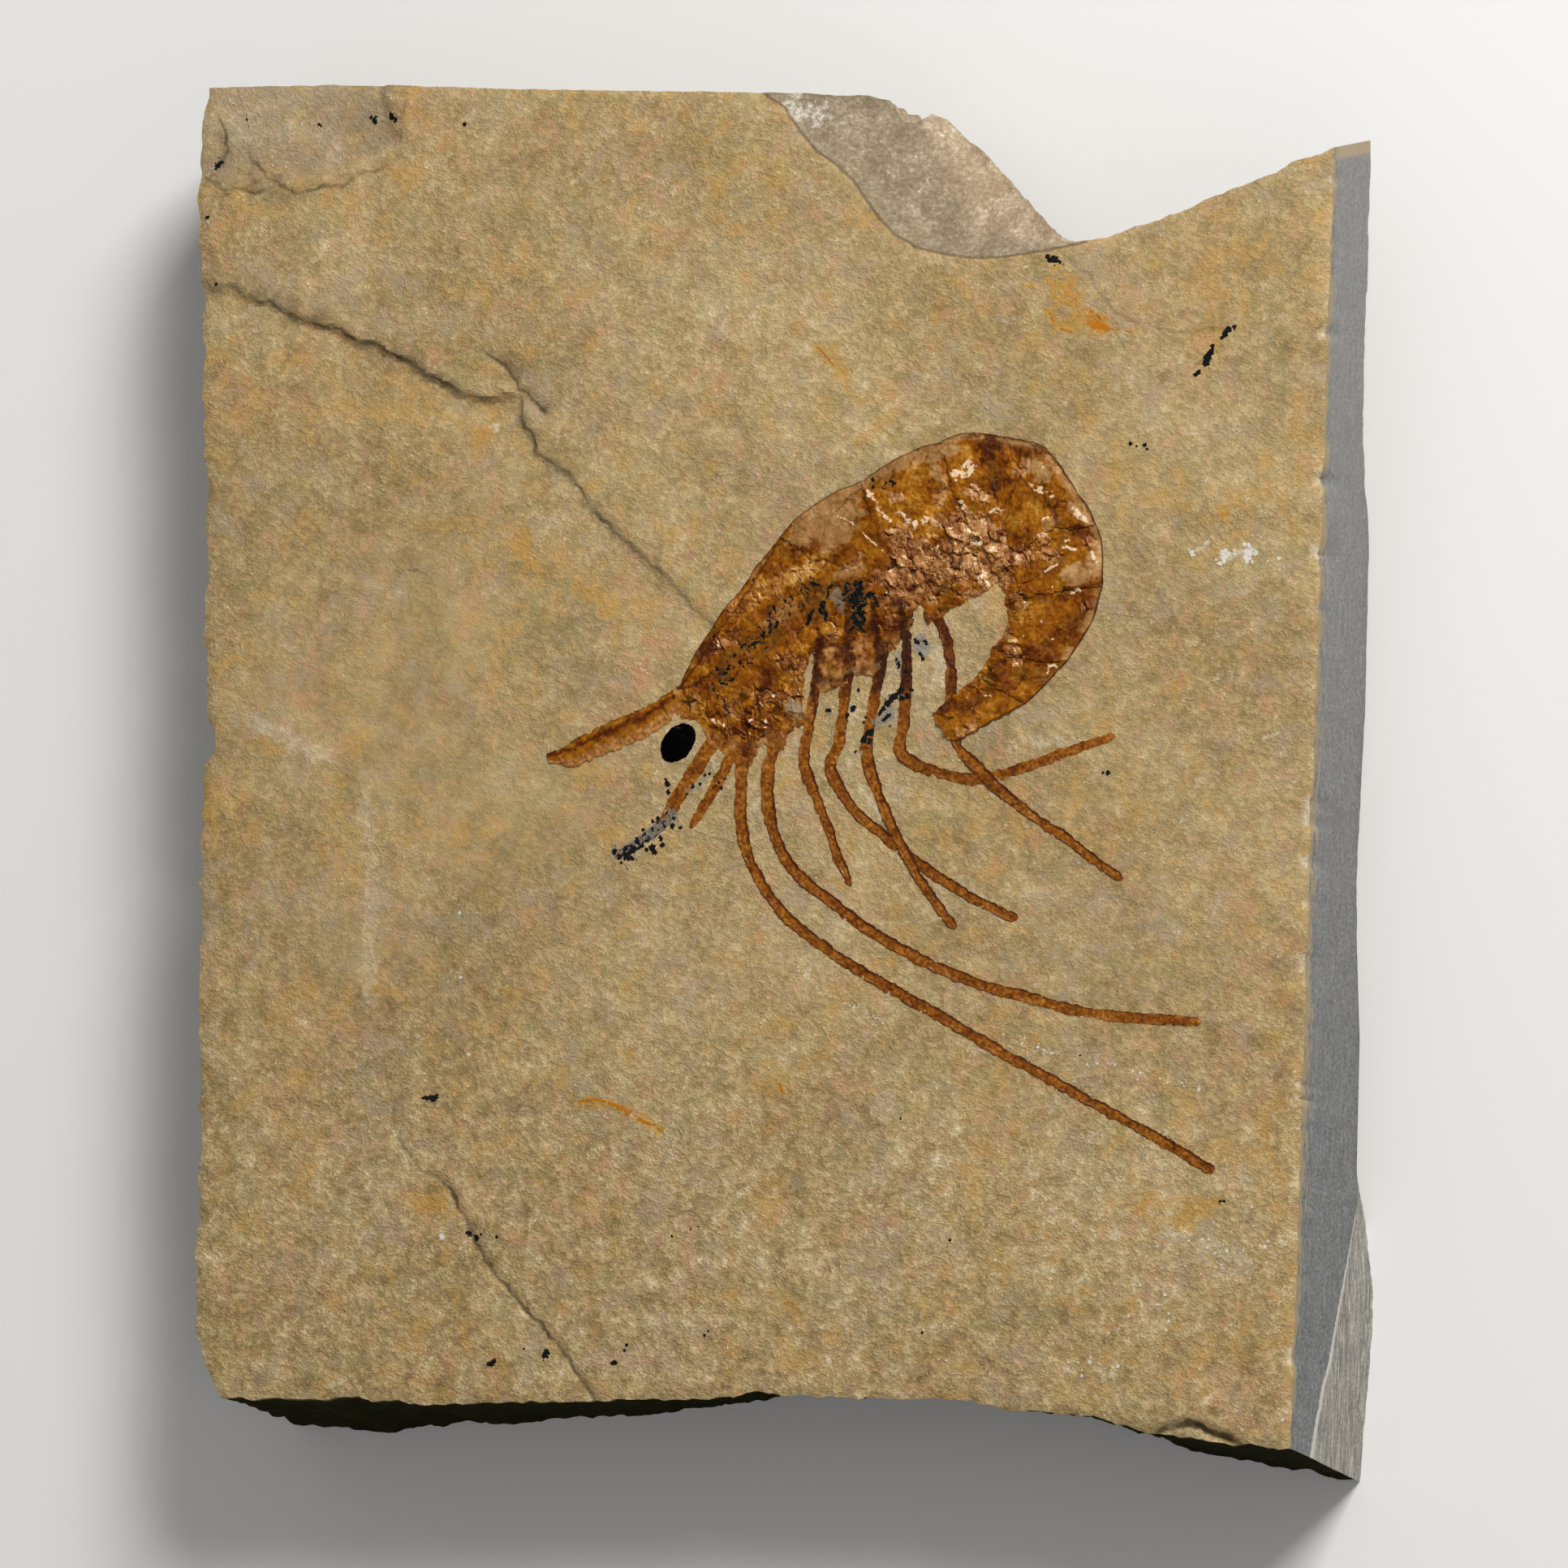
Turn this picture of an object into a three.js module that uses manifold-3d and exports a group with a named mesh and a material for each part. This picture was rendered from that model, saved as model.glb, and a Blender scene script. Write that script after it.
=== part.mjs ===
import * as THREE from "three";
import Module from "manifold-3d";

// A flat stone slab split along its bedding, with a flattened shrimp lying on the split face.
// Millimetres. +Z is out of the split face, +Y points to the end with the large chip,
// and the slab rests on Z = 0.

const wasm = await Module();
wasm.setup();

// ---------- sizes ----------

const face = 17; // height of the split face
const plateGap = 0.3; // clear line between neighbouring plates of the shell
const shellRim = 0.32; // thickness of a plate at its edge
const shellCrown = 0.5; // how far a plate swells above its edge
const faceCells = [34, 40]; // slab grid, across and along

// Slab outline on the split face. Left edge as [y, x], the others as [x, y].
const leftEdge = [
  [-54.5, -44.9], [-52.8, -46.0], [-51.2, -47.0], [-49.0, -47.5], [-44.8, -47.7], [-32.3, -47.9],
  [-25.3, -48.2], [-11.4, -48.8], [-1.0, -49.1], [1.4, -48.1], [3.4, -48.9], [6.8, -49.2],
  [16.7, -49.4], [25.1, -49.9], [32.9, -50.5], [36.8, -51.0], [42.1, -51.2], [47.8, -51.9],
  [54.4, -52.3], [56.6, -52.0], [58.8, -51.7],
];
const rightEdge = 50.7;
const bottomEdge = [
  [-44.9, -54.5], [-40.6, -54.7], [-32.4, -54.4], [-26.5, -54.9], [-20.6, -54.6], [-8.9, -54.2],
  [-3.0, -54.0], [1.3, -53.7], [4.2, -53.3], [8.5, -53.6], [14.3, -53.6], [20.1, -53.5],
  [22.9, -53.8], [25.8, -54.3], [31.5, -54.6], [34.4, -55.0], [37.2, -55.7], [41.5, -56.4],
  [47.2, -57.0], [50.7, -57.1],
];
const topEdge = [
  [-51.7, 58.8], [-40.4, 58.8], [-22.4, 57.9], [-1.7, 57.2], [6.8, 57.0], [10.1, 56.7],
  [11.1, 55.5], [13.5, 55.7], [14.9, 55.1], [16.8, 53.5], [18.0, 52.4], [19.9, 50.6],
  [21.5, 48.9], [22.9, 48.0], [24.4, 46.5], [26.2, 44.8], [28.3, 43.8], [30.8, 44.2],
  [33.6, 45.0], [36.5, 46.0], [39.3, 47.1], [42.1, 48.1], [44.9, 49.2], [47.7, 50.4], [50.7, 51.5],
];

// How far each side stands out at its foot, and the height of its lower edge. [position, mm]
const bottomFlare = [[-45, 1.4], [-36, 2], [-28, 0.8], [-10, 0.1], [0, -0.8], [8, -1.6], [20, -1.6], [28, -0.4], [36, 0.9], [45, 1.2], [50.7, 1.8]];
const bottomFoot = [[-45, 0], [-6, 0], [2, 3], [10, 6], [20, 6], [27, 3], [34, 0], [50.7, 0]];
const rightFlare = [[-57.1, 0.9], [-51.6, 1.3], [-46, 1.55], [-43.4, 1.5], [-40.7, 1.2], [-38, 0.75], [-35.5, 0.7], [51.5, 0.7]];
const rightFoot = [
  [-57.1, 0], [-37.6, 0], [-35.5, 1.5], [-32.9, 3.4], [-22, 3.7], [-14, 5.2], [-8.6, 5.9], [-3, 5.6], [5.2, 5.1],
  [18.9, 5.5], [21.6, 6], [24.2, 7.2], [29.5, 8.3], [35, 8.7], [40.5, 8.4], [51.5, 8.7],
];
const topFlare = [[38, 0.1], [47, 0.8], [50.7, 1.9]];
const topFoot = [[-51.7, 0], [0, 0], [12, 2], [28, 6], [50.7, 8.7]];
// height where the smooth cut meets the rougher facet, and how narrow the rough rim is beyond it
const sawLine = [[-57.1, 12.6], [-51.9, 10.6], [-48.7, 9], [-43.8, 7], [-35.5, 3.6], [-32.9, 4.1]];
const sawRim = 0.7;
const footSlope = 2.2; // how far the underside runs in for each mm that its edge is raised

// Places where the face must stay flat, because the shrimp lies there: [x, y, radius].
const flatSpots = [
  [-13, 2, 6], [-4, 3, 10], [4, 12, 14], [14, 16, 14], [24, 16, 15], [2, -6, 11], [10, -8, 14],
  [20, -8, 14], [28, -6, 13], [34, -4, 10], [18, -20, 9], [28, -24, 10], [36, -27, 10], [42, -30, 8],
  [38, -20, 9], [-9, -6, 7],
];

// ---------- small helpers ----------

const lerp = (a, b, t) => a + (b - a) * t;
const ease = (t) => { const c = Math.min(1, Math.max(0, t)); return c * c * (3 - 2 * c); };

function level(table, value) {
  if (value <= table[0][0]) return table[0][1];
  for (let i = 1; i < table.length; i++) {
    const [a, p] = table[i - 1], [b, q] = table[i];
    if (value <= b) return lerp(p, q, (value - a) / (b - a));
  }
  return table[table.length - 1][1];
}

function hash(i, j, seed) {
  let h = (i * 374761393 + j * 668265263 + seed * 974634777) | 0;
  h = Math.imul(h ^ (h >>> 13), 1274126177);
  return (((h ^ (h >>> 16)) >>> 0) / 4294967295) * 2 - 1;
}

function rough(x, y, size, seed) {
  const px = x / size, py = y / size, i = Math.floor(px), j = Math.floor(py);
  const s = ease(px - i), t = ease(py - j);
  return lerp(lerp(hash(i, j, seed), hash(i + 1, j, seed), s), lerp(hash(i, j + 1, seed), hash(i + 1, j + 1, seed), s), t);
}

// A point at a fraction of the length of a line of points.
function along(points, fraction) {
  const steps = points.slice(1).map((p, i) => Math.hypot(p[0] - points[i][0], p[1] - points[i][1]));
  let left = fraction * steps.reduce((a, b) => a + b, 0);
  for (let i = 0; i < steps.length; i++) {
    if (left <= steps[i] || i === steps.length - 1) {
      const t = Math.min(1, left / steps[i]);
      return [lerp(points[i][0], points[i + 1][0], t), lerp(points[i][1], points[i + 1][1], t)];
    }
    left -= steps[i];
  }
  return points[0];
}

function smoothLine(points, count) {
  const curve = new THREE.SplineCurve(points.map(([x, y]) => new THREE.Vector2(x, y)));
  return curve.getSpacedPoints(count).map((p) => [p.x, p.y]);
}

function geometryOf(positions, triangles) {
  let volume = 0;
  for (const [a, b, c] of triangles) {
    const p = positions[a], q = positions[b], r = positions[c];
    volume += p[0] * (q[1] * r[2] - q[2] * r[1]) + p[1] * (q[2] * r[0] - q[0] * r[2]) + p[2] * (q[0] * r[1] - q[1] * r[0]);
  }
  const geometry = new THREE.BufferGeometry();
  geometry.setAttribute("position", new THREE.Float32BufferAttribute(positions.flat(), 3));
  geometry.setIndex((volume < 0 ? triangles.map(([a, b, c]) => [a, c, b]) : triangles).flat());
  return geometry;
}

function toSolid(geometry) {
  return new wasm.Manifold(new wasm.Mesh({
    numProp: 3,
    vertProperties: Float32Array.from(geometry.attributes.position.array),
    triVerts: Uint32Array.from(geometry.index.array),
  }));
}

// Flat runs of triangles are merged: what is left is within the tolerance of the solid.
function fromSolid(solid, tolerance) {
  const mesh = solid.simplify(tolerance).getMesh();
  const geometry = new THREE.BufferGeometry();
  const xyz = [];
  for (let i = 0; i < mesh.vertProperties.length; i += mesh.numProp) xyz.push(...mesh.vertProperties.slice(i, i + 3));
  geometry.setAttribute("position", new THREE.Float32BufferAttribute(xyz, 3));
  geometry.setIndex(Array.from(mesh.triVerts));
  return geometry;
}

// A closed body between two grids of the same size, one over the other.
function betweenSheets(upper, lower) {
  const rows = upper.length, columns = upper[0].length, half = rows * columns;
  const id = (i, j) => i * columns + j;
  const triangles = [];
  for (let i = 0; i < rows - 1; i++) {
    for (let j = 0; j < columns - 1; j++) {
      const a = id(i, j), b = id(i + 1, j), c = id(i + 1, j + 1), d = id(i, j + 1);
      triangles.push([a, b, c], [a, c, d], [half + a, half + c, half + b], [half + a, half + d, half + c]);
    }
  }
  const loop = [];
  for (let i = 0; i < rows - 1; i++) loop.push(id(i, 0));
  for (let j = 0; j < columns - 1; j++) loop.push(id(rows - 1, j));
  for (let i = rows - 1; i > 0; i--) loop.push(id(i, columns - 1));
  for (let j = columns - 1; j > 0; j--) loop.push(id(0, j));
  loop.forEach((a, k) => {
    const b = loop[(k + 1) % loop.length];
    triangles.push([b, a, half + a], [b, half + a, half + b]);
  });
  return geometryOf([...upper.flat(), ...lower.flat()], triangles);
}

// ---------- slab ----------

function faceRelief(x, y) {
  let free = 1;
  for (const [cx, cy, r] of flatSpots) free = Math.min(free, ease((Math.hypot(x - cx, y - cy) - r) / 7));
  const hollows = 0.26 + 0.24 * rough(x, y, 14, 3) + 0.12 * rough(x, y, 6, 8);
  return face - free * Math.max(0, hollows); // never above the ground under the shrimp
}

function slabBody() {
  const corners = topEdge.filter(([x]) => x > 6 && x < 30).map(([x]) => (x - topEdge[0][0]) / (rightEdge - topEdge[0][0]));
  const even = Array.from({ length: faceCells[0] + 1 }, (_, i) => i / faceCells[0]);
  const across = [...even.filter((u) => corners.every((c) => Math.abs(c - u) > 0.011)), ...corners].sort((a, b) => a - b);
  const up = Array.from({ length: faceCells[1] + 1 }, (_, j) => j / faceCells[1]);
  const low = bottomEdge[0][1], high = topEdge[0][1];
  const positions = [];
  for (const v of up) {
    for (const u of across) {
      const left = level(leftEdge, lerp(low, high, v));
      const x = lerp(left, rightEdge, u);
      const bottom = level(bottomEdge, lerp(bottomEdge[0][0], rightEdge, u));
      const top = level(topEdge, lerp(topEdge[0][0], rightEdge, u));
      const y = lerp(bottom, top, v);
      positions.push([x, y, faceRelief(x, y)]);
    }
  }
  const nu = across.length, nv = up.length, triangles = [];
  for (let j = 0; j < nv - 1; j++) {
    for (let i = 0; i < nu - 1; i++) {
      const a = j * nu + i, b = a + 1, c = a + nu + 1, d = a + nu;
      triangles.push([a, b, c], [a, c, d]);
    }
  }
  const loop = [];
  for (let i = 0; i < nu; i++) loop.push([i, i === 0 ? "corner" : "bottom"]);
  for (let j = 1; j < nv; j++) loop.push([j * nu + nu - 1, "right"]);
  for (let i = nu - 2; i >= 0; i--) loop.push([(nv - 1) * nu + i, "top"]);
  for (let j = nv - 2; j > 0; j--) loop.push([j * nu, "left"]);

  const foot = loop.map(([id, side]) => {
    const [x, y] = positions[id];
    const last = x > rightEdge - 0.01;
    let out = [0, 0], rise = 0, middle = 0.5, outMiddle = null, wear = 0.3;
    if (side === "bottom" || side === "corner") {
      out = [side === "corner" ? -0.4 : last ? level(rightFlare, y) : 0, -level(bottomFlare, x)];
      rise = level(bottomFoot, x);
    }
    if (side === "right" || last) {
      out = [level(rightFlare, y), y < -57 ? -level(bottomFlare, x) : topFlare[2][1] * ease((y - 46) / 5.2)];
      rise = level(rightFoot, y);
      const line = y < -32.9 ? level(sawLine, y) : rise + sawRim;
      middle = (face - line) / (face - rise);
      outMiddle = [0.075 * (face - line), out[1] * middle];
      wear = 0.05;
    }
    if (side === "top" && !last) { out = [0, level(topFlare, x)]; rise = level(topFoot, x); }
    if (side === "left") out = [-0.05, 0];
    return { out, rise, middle, outMiddle: outMiddle ?? out.map((o) => o * middle), wear };
  });
  const rowAt = [0.25, 0.5, 0.75, 1];
  const rings = [loop.map(([id]) => id)];
  rowAt.forEach((row, k) => {
    rings.push(loop.map(([id], i) => {
      const [x, y, z] = positions[id], f = foot[i];
      const depth = row <= 0.5 ? f.middle * row * 2 : lerp(f.middle, 1, row * 2 - 1);
      const reach = row <= 0.5
        ? f.outMiddle.map((o) => o * row * 2)
        : f.out.map((o, n) => lerp(f.outMiddle[n], o, row * 2 - 1));
      const inward = f.wear * (0.5 + 0.5 * rough(x + y, k * 9, 4, 21)) * (row < 1 ? 1 : 0.3);
      const length = Math.hypot(x, y);
      positions.push([x + reach[0] - (inward * x) / length, y + reach[1] - (inward * y) / length, lerp(z, f.rise, depth)]);
      return positions.length - 1;
    }));
  });
  rings.push(rings[rings.length - 1].map((id, i) => {
    const [x, y] = positions[id];
    const scale = 1 - (1 + footSlope * foot[i].rise) / Math.hypot(x, y);
    positions.push([x * scale, y * scale, 0]);
    return positions.length - 1;
  }));
  const around = loop.length;
  for (let r = 0; r < rings.length - 1; r++) {
    for (let i = 0; i < around; i++) {
      const n = (i + 1) % around;
      triangles.push([rings[r][i], rings[r + 1][i], rings[r + 1][n]], [rings[r][i], rings[r + 1][n], rings[r][n]]);
    }
  }
  const base = rings[rings.length - 1];
  const flat = base.map((id) => new THREE.Vector2(positions[id][0], positions[id][1]));
  for (const [a, b, c] of THREE.ShapeUtils.triangulateShape(flat, [])) triangles.push([base[a], base[c], base[b]]);
  // edges that have sunk to the table share its height
  for (const p of positions) if (p[2] < 0.02) p[2] = 0;
  return toSolid(geometryOf(positions, triangles));
}

// A scar taken out of the face. It starts at the near line and runs to the far one;
// each pair in the profile is [share of the way, depth below the face].
function scar(near, far, profile, steps, wobble = 0) {
  const lower = [], upper = [];
  for (let i = 0; i <= steps; i++) {
    const a = along(near, i / steps), b = along(far, i / steps);
    lower.push(profile.map(([t, depth], k) => {
      const x = lerp(a[0], b[0], t), y = lerp(a[1], b[1], t);
      const inside = k > 0 && k < profile.length - 1 ? wobble * rough(x, y, 3, 40) : 0;
      return [x, y, face - depth + inside];
    }));
    upper.push(lower[i].map(([x, y]) => [x, y, face + 4]));
  }
  return toSolid(betweenSheets(upper, lower));
}

function groove(path, width, depth) {
  const sides = [[], []];
  path.forEach(([x, y], i) => {
    const a = path[Math.max(0, i - 1)], b = path[Math.min(path.length - 1, i + 1)];
    const dx = b[0] - a[0], dy = b[1] - a[1], length = Math.hypot(dx, dy);
    const half = (width / 2) * (i === 0 || i === path.length - 1 ? 0.3 : 1);
    sides[0].push([x - (dy / length) * half, y + (dx / length) * half]);
    sides[1].push([x + (dy / length) * half, y - (dx / length) * half]);
  });
  return scar(sides[0], sides[1], [[0, -0.5], [0.5, depth], [1, -0.5]], path.length * 2);
}

function bite(x, y, z, size) {
  const blob = new THREE.IcosahedronGeometry(1, 1);
  const spots = new Map(), positions = [], triangles = [];
  const p = blob.attributes.position;
  for (let i = 0; i < p.count; i += 3) {
    triangles.push([0, 1, 2].map((n) => {
      const v = [p.getX(i + n), p.getY(i + n), p.getZ(i + n)], key = v.map((c) => c.toFixed(4)).join();
      if (!spots.has(key)) {
        spots.set(key, positions.length);
        positions.push([x + v[0] * size[0], y + v[1] * size[1], z + v[2] * size[2]]);
      }
      return spots.get(key);
    }));
  }
  return toSolid(geometryOf(positions, triangles));
}

// The large chip at the top right: a steep fresh step, then a long shallow run to the side.
const chipStart = [
  [-1.4, 58.2], [0.1, 56.8], [1.7, 55.9], [3.2, 53.8], [4.8, 52.0], [6.6, 50.8], [8.2, 49.4], [9.3, 47.9],
  [10.5, 46.4], [12.0, 44.8], [14.2, 43.6], [16.4, 43.0], [19.3, 42.6], [22.2, 42.7], [25.8, 43.2], [28.4, 43.2],
];
const chipEnd = [
  [-1.2, 60.5], [3.1, 60.5], [6.8, 60.5], [10.4, 60.3], [12.5, 59.0], [14.5, 58.6], [16.5, 57.8], [18.8, 56.0],
  [20.2, 54.6], [22.2, 52.6], [23.8, 51.0], [25.2, 50.0], [26.6, 48.6], [28.2, 47.0], [29.0, 45.4], [29.2, 43.4],
];
const chipRun = [[0, -0.3], [0.03, 0.1], [0.13, 2.1], [0.3, 2.9], [0.5, 3.9], [0.75, 5.6], [1, 7.2]];

// The step in the bedding that runs from the left edge down to the head, and its side branch.
const stepLine = [
  [-53, 40.2], [-50.4, 40.1], [-47.3, 40.6], [-44.2, 39.3], [-39.6, 37.7], [-35.8, 35.9], [-32.0, 34.8],
  [-28.9, 33.0], [-25.1, 31.2], [-22.5, 31.0], [-21.3, 29.8], [-20.5, 27.3], [-17.3, 24.1], [-15.0, 21.7],
];
const stepFoot = [
  [-53, 36.6], [-50.4, 36.6], [-48.4, 36.9], [-45.6, 35.6], [-41.4, 34.0], [-37.6, 32.4], [-33.8, 31.0],
  [-30.6, 29.4], [-27.0, 28.0], [-25.0, 27.2], [-24.0, 26.2], [-22.7, 24.6], [-19.2, 22.2], [-16.2, 20.8],
];
const stepTail = [[-16, 22.8], [-15.0, 21.7], [-12.0, 19.1], [-8.9, 16.9], [-6.8, 15.1]];
const branchLine = [[-25.3, 35.4], [-22.6, 33.3], [-20.6, 31.9], [-19.1, 30.1]];
const lowerCrack = [
  [-30.5, -30.7], [-28.9, -33.5], [-25.9, -35.5], [-24.3, -37.6], [-22.0, -40.3], [-20.4, -42.4],
  [-18.0, -45.4], [-15.0, -48.5], [-12.7, -51.2], [-11.1, -53.3], [-10.2, -55.6],
];
const cornerStart = [
  [-54, 50.0], [-50.6, 49.9], [-47.7, 49.5], [-44.6, 49.2], [-41.6, 49.7], [-37.9, 51.1], [-34.2, 52.1],
  [-32.8, 53.4], [-33.6, 55.2], [-34.5, 57.4], [-34.8, 60.5],
];
const cornerEnd = [
  [-54, 52.5], [-53.6, 54], [-53.4, 55.4], [-53.0, 57], [-52.0, 59], [-50, 60], [-47, 60.4],
  [-44, 60.5], [-41, 60.6], [-38, 60.7], [-36, 60.8],
];

const bites = [
  // small flakes off the sawn edge, from the top down
  [51.2, 23.6, 17.2, [1.0, 1.7, 0.9]], [51.1, 17.4, 17.2, [0.9, 1.2, 1.1]], [51.1, -3.6, 17.2, [0.9, 1.9, 0.8]],
  [51.1, -8.4, 17.3, [0.8, 1.1, 1.0]], [51.1, -16.8, 17.2, [0.9, 1.6, 1.0]], [51.1, -49.2, 17.2, [0.8, 1.5, 0.9]],
  // flakes along the broken lower edge, and the hollow under its lip at the right
  [-40.0, -54.9, 17.5, [2.6, 1.0, 1.1]], [-16.0, -54.7, 17.5, [2.2, 0.8, 0.9]], [6.0, -53.8, 17.6, [2.4, 0.9, 1.2]],
  [26.0, -54.5, 17.5, [1.9, 0.8, 1.0]], [37.5, -56.9, 13.2, [6.5, 1.1, 1.3]],
  // pits in the chip and on the corner
  [15.5, 47.5, 14.6, [1.6, 1.1, 0.9]], [21.5, 45.6, 14.9, [1.3, 0.9, 0.8]], [50.9, 51.7, 17.3, [1.4, 1.3, 1.0]],
];

function slab() {
  let solid = slabBody();
  const cuts = [
    scar(chipStart, chipEnd, chipRun, 20, 0.35),
    scar(stepLine, stepFoot, [[0, -0.5], [0.06, 0.85], [0.3, 0.7], [1, 0]], 18),
    groove(stepTail, 0.7, 0.5),
    groove(branchLine, 0.7, 0.8),
    groove(lowerCrack, 0.7, 0.9),
    scar(cornerStart, cornerEnd, [[0, -0.5], [0.1, 0.8], [0.5, 1], [1, 1.4]], 12, 0.2),
    ...bites.map(([x, y, z, size]) => bite(x, y, z, size)),
  ];
  for (const cut of cuts) solid = solid.subtract(cut);
  return fromSolid(solid, 0.035);
}

// ---------- shrimp ----------

// A thin plate of shell between four lines: from one joint to the next, and from the back
// line to the belly line. The plate keeps half of the gap from each joint it shares.
function plate({ first, last, back, belly, cells, shared = [true, true], crown = shellCrown, swell }) {
  const [nu, nv] = cells;
  const upper = [], lower = [];
  for (let i = 0; i <= nu; i++) {
    upper.push([]); lower.push([]);
    for (let j = 0; j <= nv; j++) {
      const v = j / nv, a = along(first, v), b = along(last, v);
      const trim = plateGap / 2 / Math.max(1, Math.hypot(b[0] - a[0], b[1] - a[1]));
      const u = lerp(shared[0] ? trim : 0, shared[1] ? 1 - trim : 1, i / nu);
      const c = along(back, u), d = along(belly, u);
      const point = [0, 1].map((n) => lerp(a[n], b[n], u) + lerp(c[n], d[n], v)
        - lerp(lerp(first[0][n], last[0][n], u), lerp(first[first.length - 1][n], last[last.length - 1][n], u), v));
      const edge = i === 0 || i === nu || j === 0 || j === nv;
      const dome = Math.sqrt(Math.sin(Math.PI * v)) * (0.55 + 0.45 * Math.sqrt(Math.sin(Math.PI * u)));
      const height = shellRim + (edge ? 0 : crown * dome) + (edge ? 0 : swell(u, v, point[0], point[1]));
      upper[i].push([...point, face + Math.max(0.15, height)]);
      lower[i].push([...point, face]);
    }
  }
  return betweenSheets(upper, lower);
}

// A flattened limb or feeler: a low arch along a line. A raised spot lets it cross another one.
function limb({ line, half, height, samples, over, thin }) {
  const path = smoothLine(line, samples);
  const rings = path.map(([x, y], i) => {
    const a = path[Math.max(0, i - 1)], b = path[Math.min(path.length - 1, i + 1)];
    const dx = b[0] - a[0], dy = b[1] - a[1], length = Math.hypot(dx, dy);
    const side = [-dy / length, dx / length];
    const w = level(half, i / samples);
    const lift = over ? over.lift * (1 - ease((Math.hypot(x - over.at[0], y - over.at[1]) - over.reach) / over.ramp)) : 0;
    const h = thin ? lerp(thin.height, height, ease((Math.hypot(x - thin.at[0], y - thin.at[1]) - thin.reach) / 1)) : height;
    return [[-1, 0], [-0.6, 0.8], [0, 1], [0.6, 0.8], [1, 0]]
      .map(([s, t]) => [x + side[0] * w * s, y + side[1] * w * s, face + lift + h * t]);
  });
  const triangles = [], n = 5;
  for (let i = 0; i < rings.length - 1; i++) {
    for (let k = 0; k < n; k++) {
      const a = i * n + k, b = i * n + ((k + 1) % n);
      triangles.push([a, b, b + n], [a, b + n, a + n]);
    }
  }
  const end = (rings.length - 1) * n;
  for (let k = 1; k < n - 1; k++) triangles.push([0, k + 1, k], [end, end + k, end + k + 1]);
  return geometryOf(rings.flat(), triangles);
}

function button({ at, half, turn, height }) {
  const around = 18, positions = [], triangles = [];
  for (const [r, h] of [[1, 0], [0.93, 0.5], [0.7, 0.85], [0.35, 1]]) {
    for (let k = 0; k < around; k++) {
      const a = (k / around) * 2 * Math.PI, p = Math.cos(a) * half[0] * r, q = Math.sin(a) * half[1] * r;
      positions.push([at[0] + p * Math.cos(turn) - q * Math.sin(turn), at[1] + p * Math.sin(turn) + q * Math.cos(turn), face + h * height]);
    }
  }
  const top = positions.push([at[0], at[1], face + height]) - 1;
  const under = positions.push([at[0], at[1], face]) - 1;
  for (let k = 0; k < around; k++) {
    const n = (k + 1) % around;
    for (let r = 0; r < 3; r++) {
      const a = r * around + k, b = r * around + n;
      triangles.push([a, b, b + around], [a, b + around, a + around]);
    }
    triangles.push([3 * around + k, 3 * around + n, top], [n, k, under]);
  }
  return geometryOf(positions, triangles);
}

// Joints of the shell from the carapace to the tail, each from the back line to the belly line.
const joints = [
  [[10.2, 23.8], [11.4, 22.0], [12.5, 20.4], [13.3, 18.7], [13.9, 17.0], [14.7, 15.0], [15.7, 13.1]],
  [[16.8, 26.9], [17.6, 24.5], [18.8, 21.8], [19.0, 19.3], [18.9, 16.3], [19.4, 13.4]],
  [[24.2, 27.1], [23.8, 24.5], [23.4, 22.1], [22.9, 19.7], [22.2, 16.9], [21.3, 14.2]],
  [[31.0, 19.9], [29.2, 19.5], [27.4, 19.6], [25.6, 18.6], [24.1, 16.9], [22.5, 15.1]],
  [[31.8, 14.7], [30.1, 14.5], [28.0, 14.3], [25.6, 13.9], [23.3, 13.2]],
  [[29.0, 8.5], [27.5, 8.3], [25.7, 8.5], [23.8, 9.0], [22.2, 9.5]],
  [[25.4, 4.8], [24.0, 5.5], [22.5, 6.3], [21.0, 7.2]],
];
const backs = [
  [[10.2, 23.8], [11.7, 24.8], [13.5, 25.8], [15.2, 26.5], [16.8, 26.9]],
  [[16.8, 26.9], [17.9, 27.4], [19.2, 27.7], [20.6, 27.7], [22.4, 27.4], [24.2, 27.1]],
  [[24.2, 27.1], [25.8, 26.7], [27.0, 25.7], [28.1, 24.3], [29.4, 22.4], [30.4, 21.1], [31.0, 19.9]],
  [[31.0, 19.9], [31.5, 18.6], [31.7, 16.9], [31.8, 14.7]],
  [[31.8, 14.7], [31.4, 13.3], [31.0, 11.7], [30.1, 10.2], [29.0, 8.5]],
  [[29.0, 8.5], [27.7, 7.1], [26.6, 5.9], [25.4, 4.8]],
];
const bellies = [
  [[15.7, 13.1], [16.4, 11.6], [17.6, 12.3], [19.4, 13.4]],
  [[19.4, 13.4], [20.4, 13.8], [21.3, 14.2]],
  [[21.3, 14.2], [22.0, 14.7], [22.5, 15.1]],
  [[22.5, 15.1], [23.1, 14.2], [23.3, 13.2]],
  [[23.3, 13.2], [23.5, 11.8], [23.1, 10.4], [22.2, 9.5]],
  [[22.2, 9.5], [21.7, 8.3], [21.0, 7.2]],
];
const carapaceBack = [
  [-5.8, 6.2], [-4.9, 8.0], [-4.0, 9.8], [-2.7, 11.7], [-1.6, 13.3], [-0.4, 14.6], [0.6, 16.2], [1.7, 17.5],
  [2.8, 18.9], [3.9, 20.3], [5.1, 21.2], [6.5, 22.1], [7.9, 22.9], [9.3, 23.4], [10.2, 23.8],
];
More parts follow.
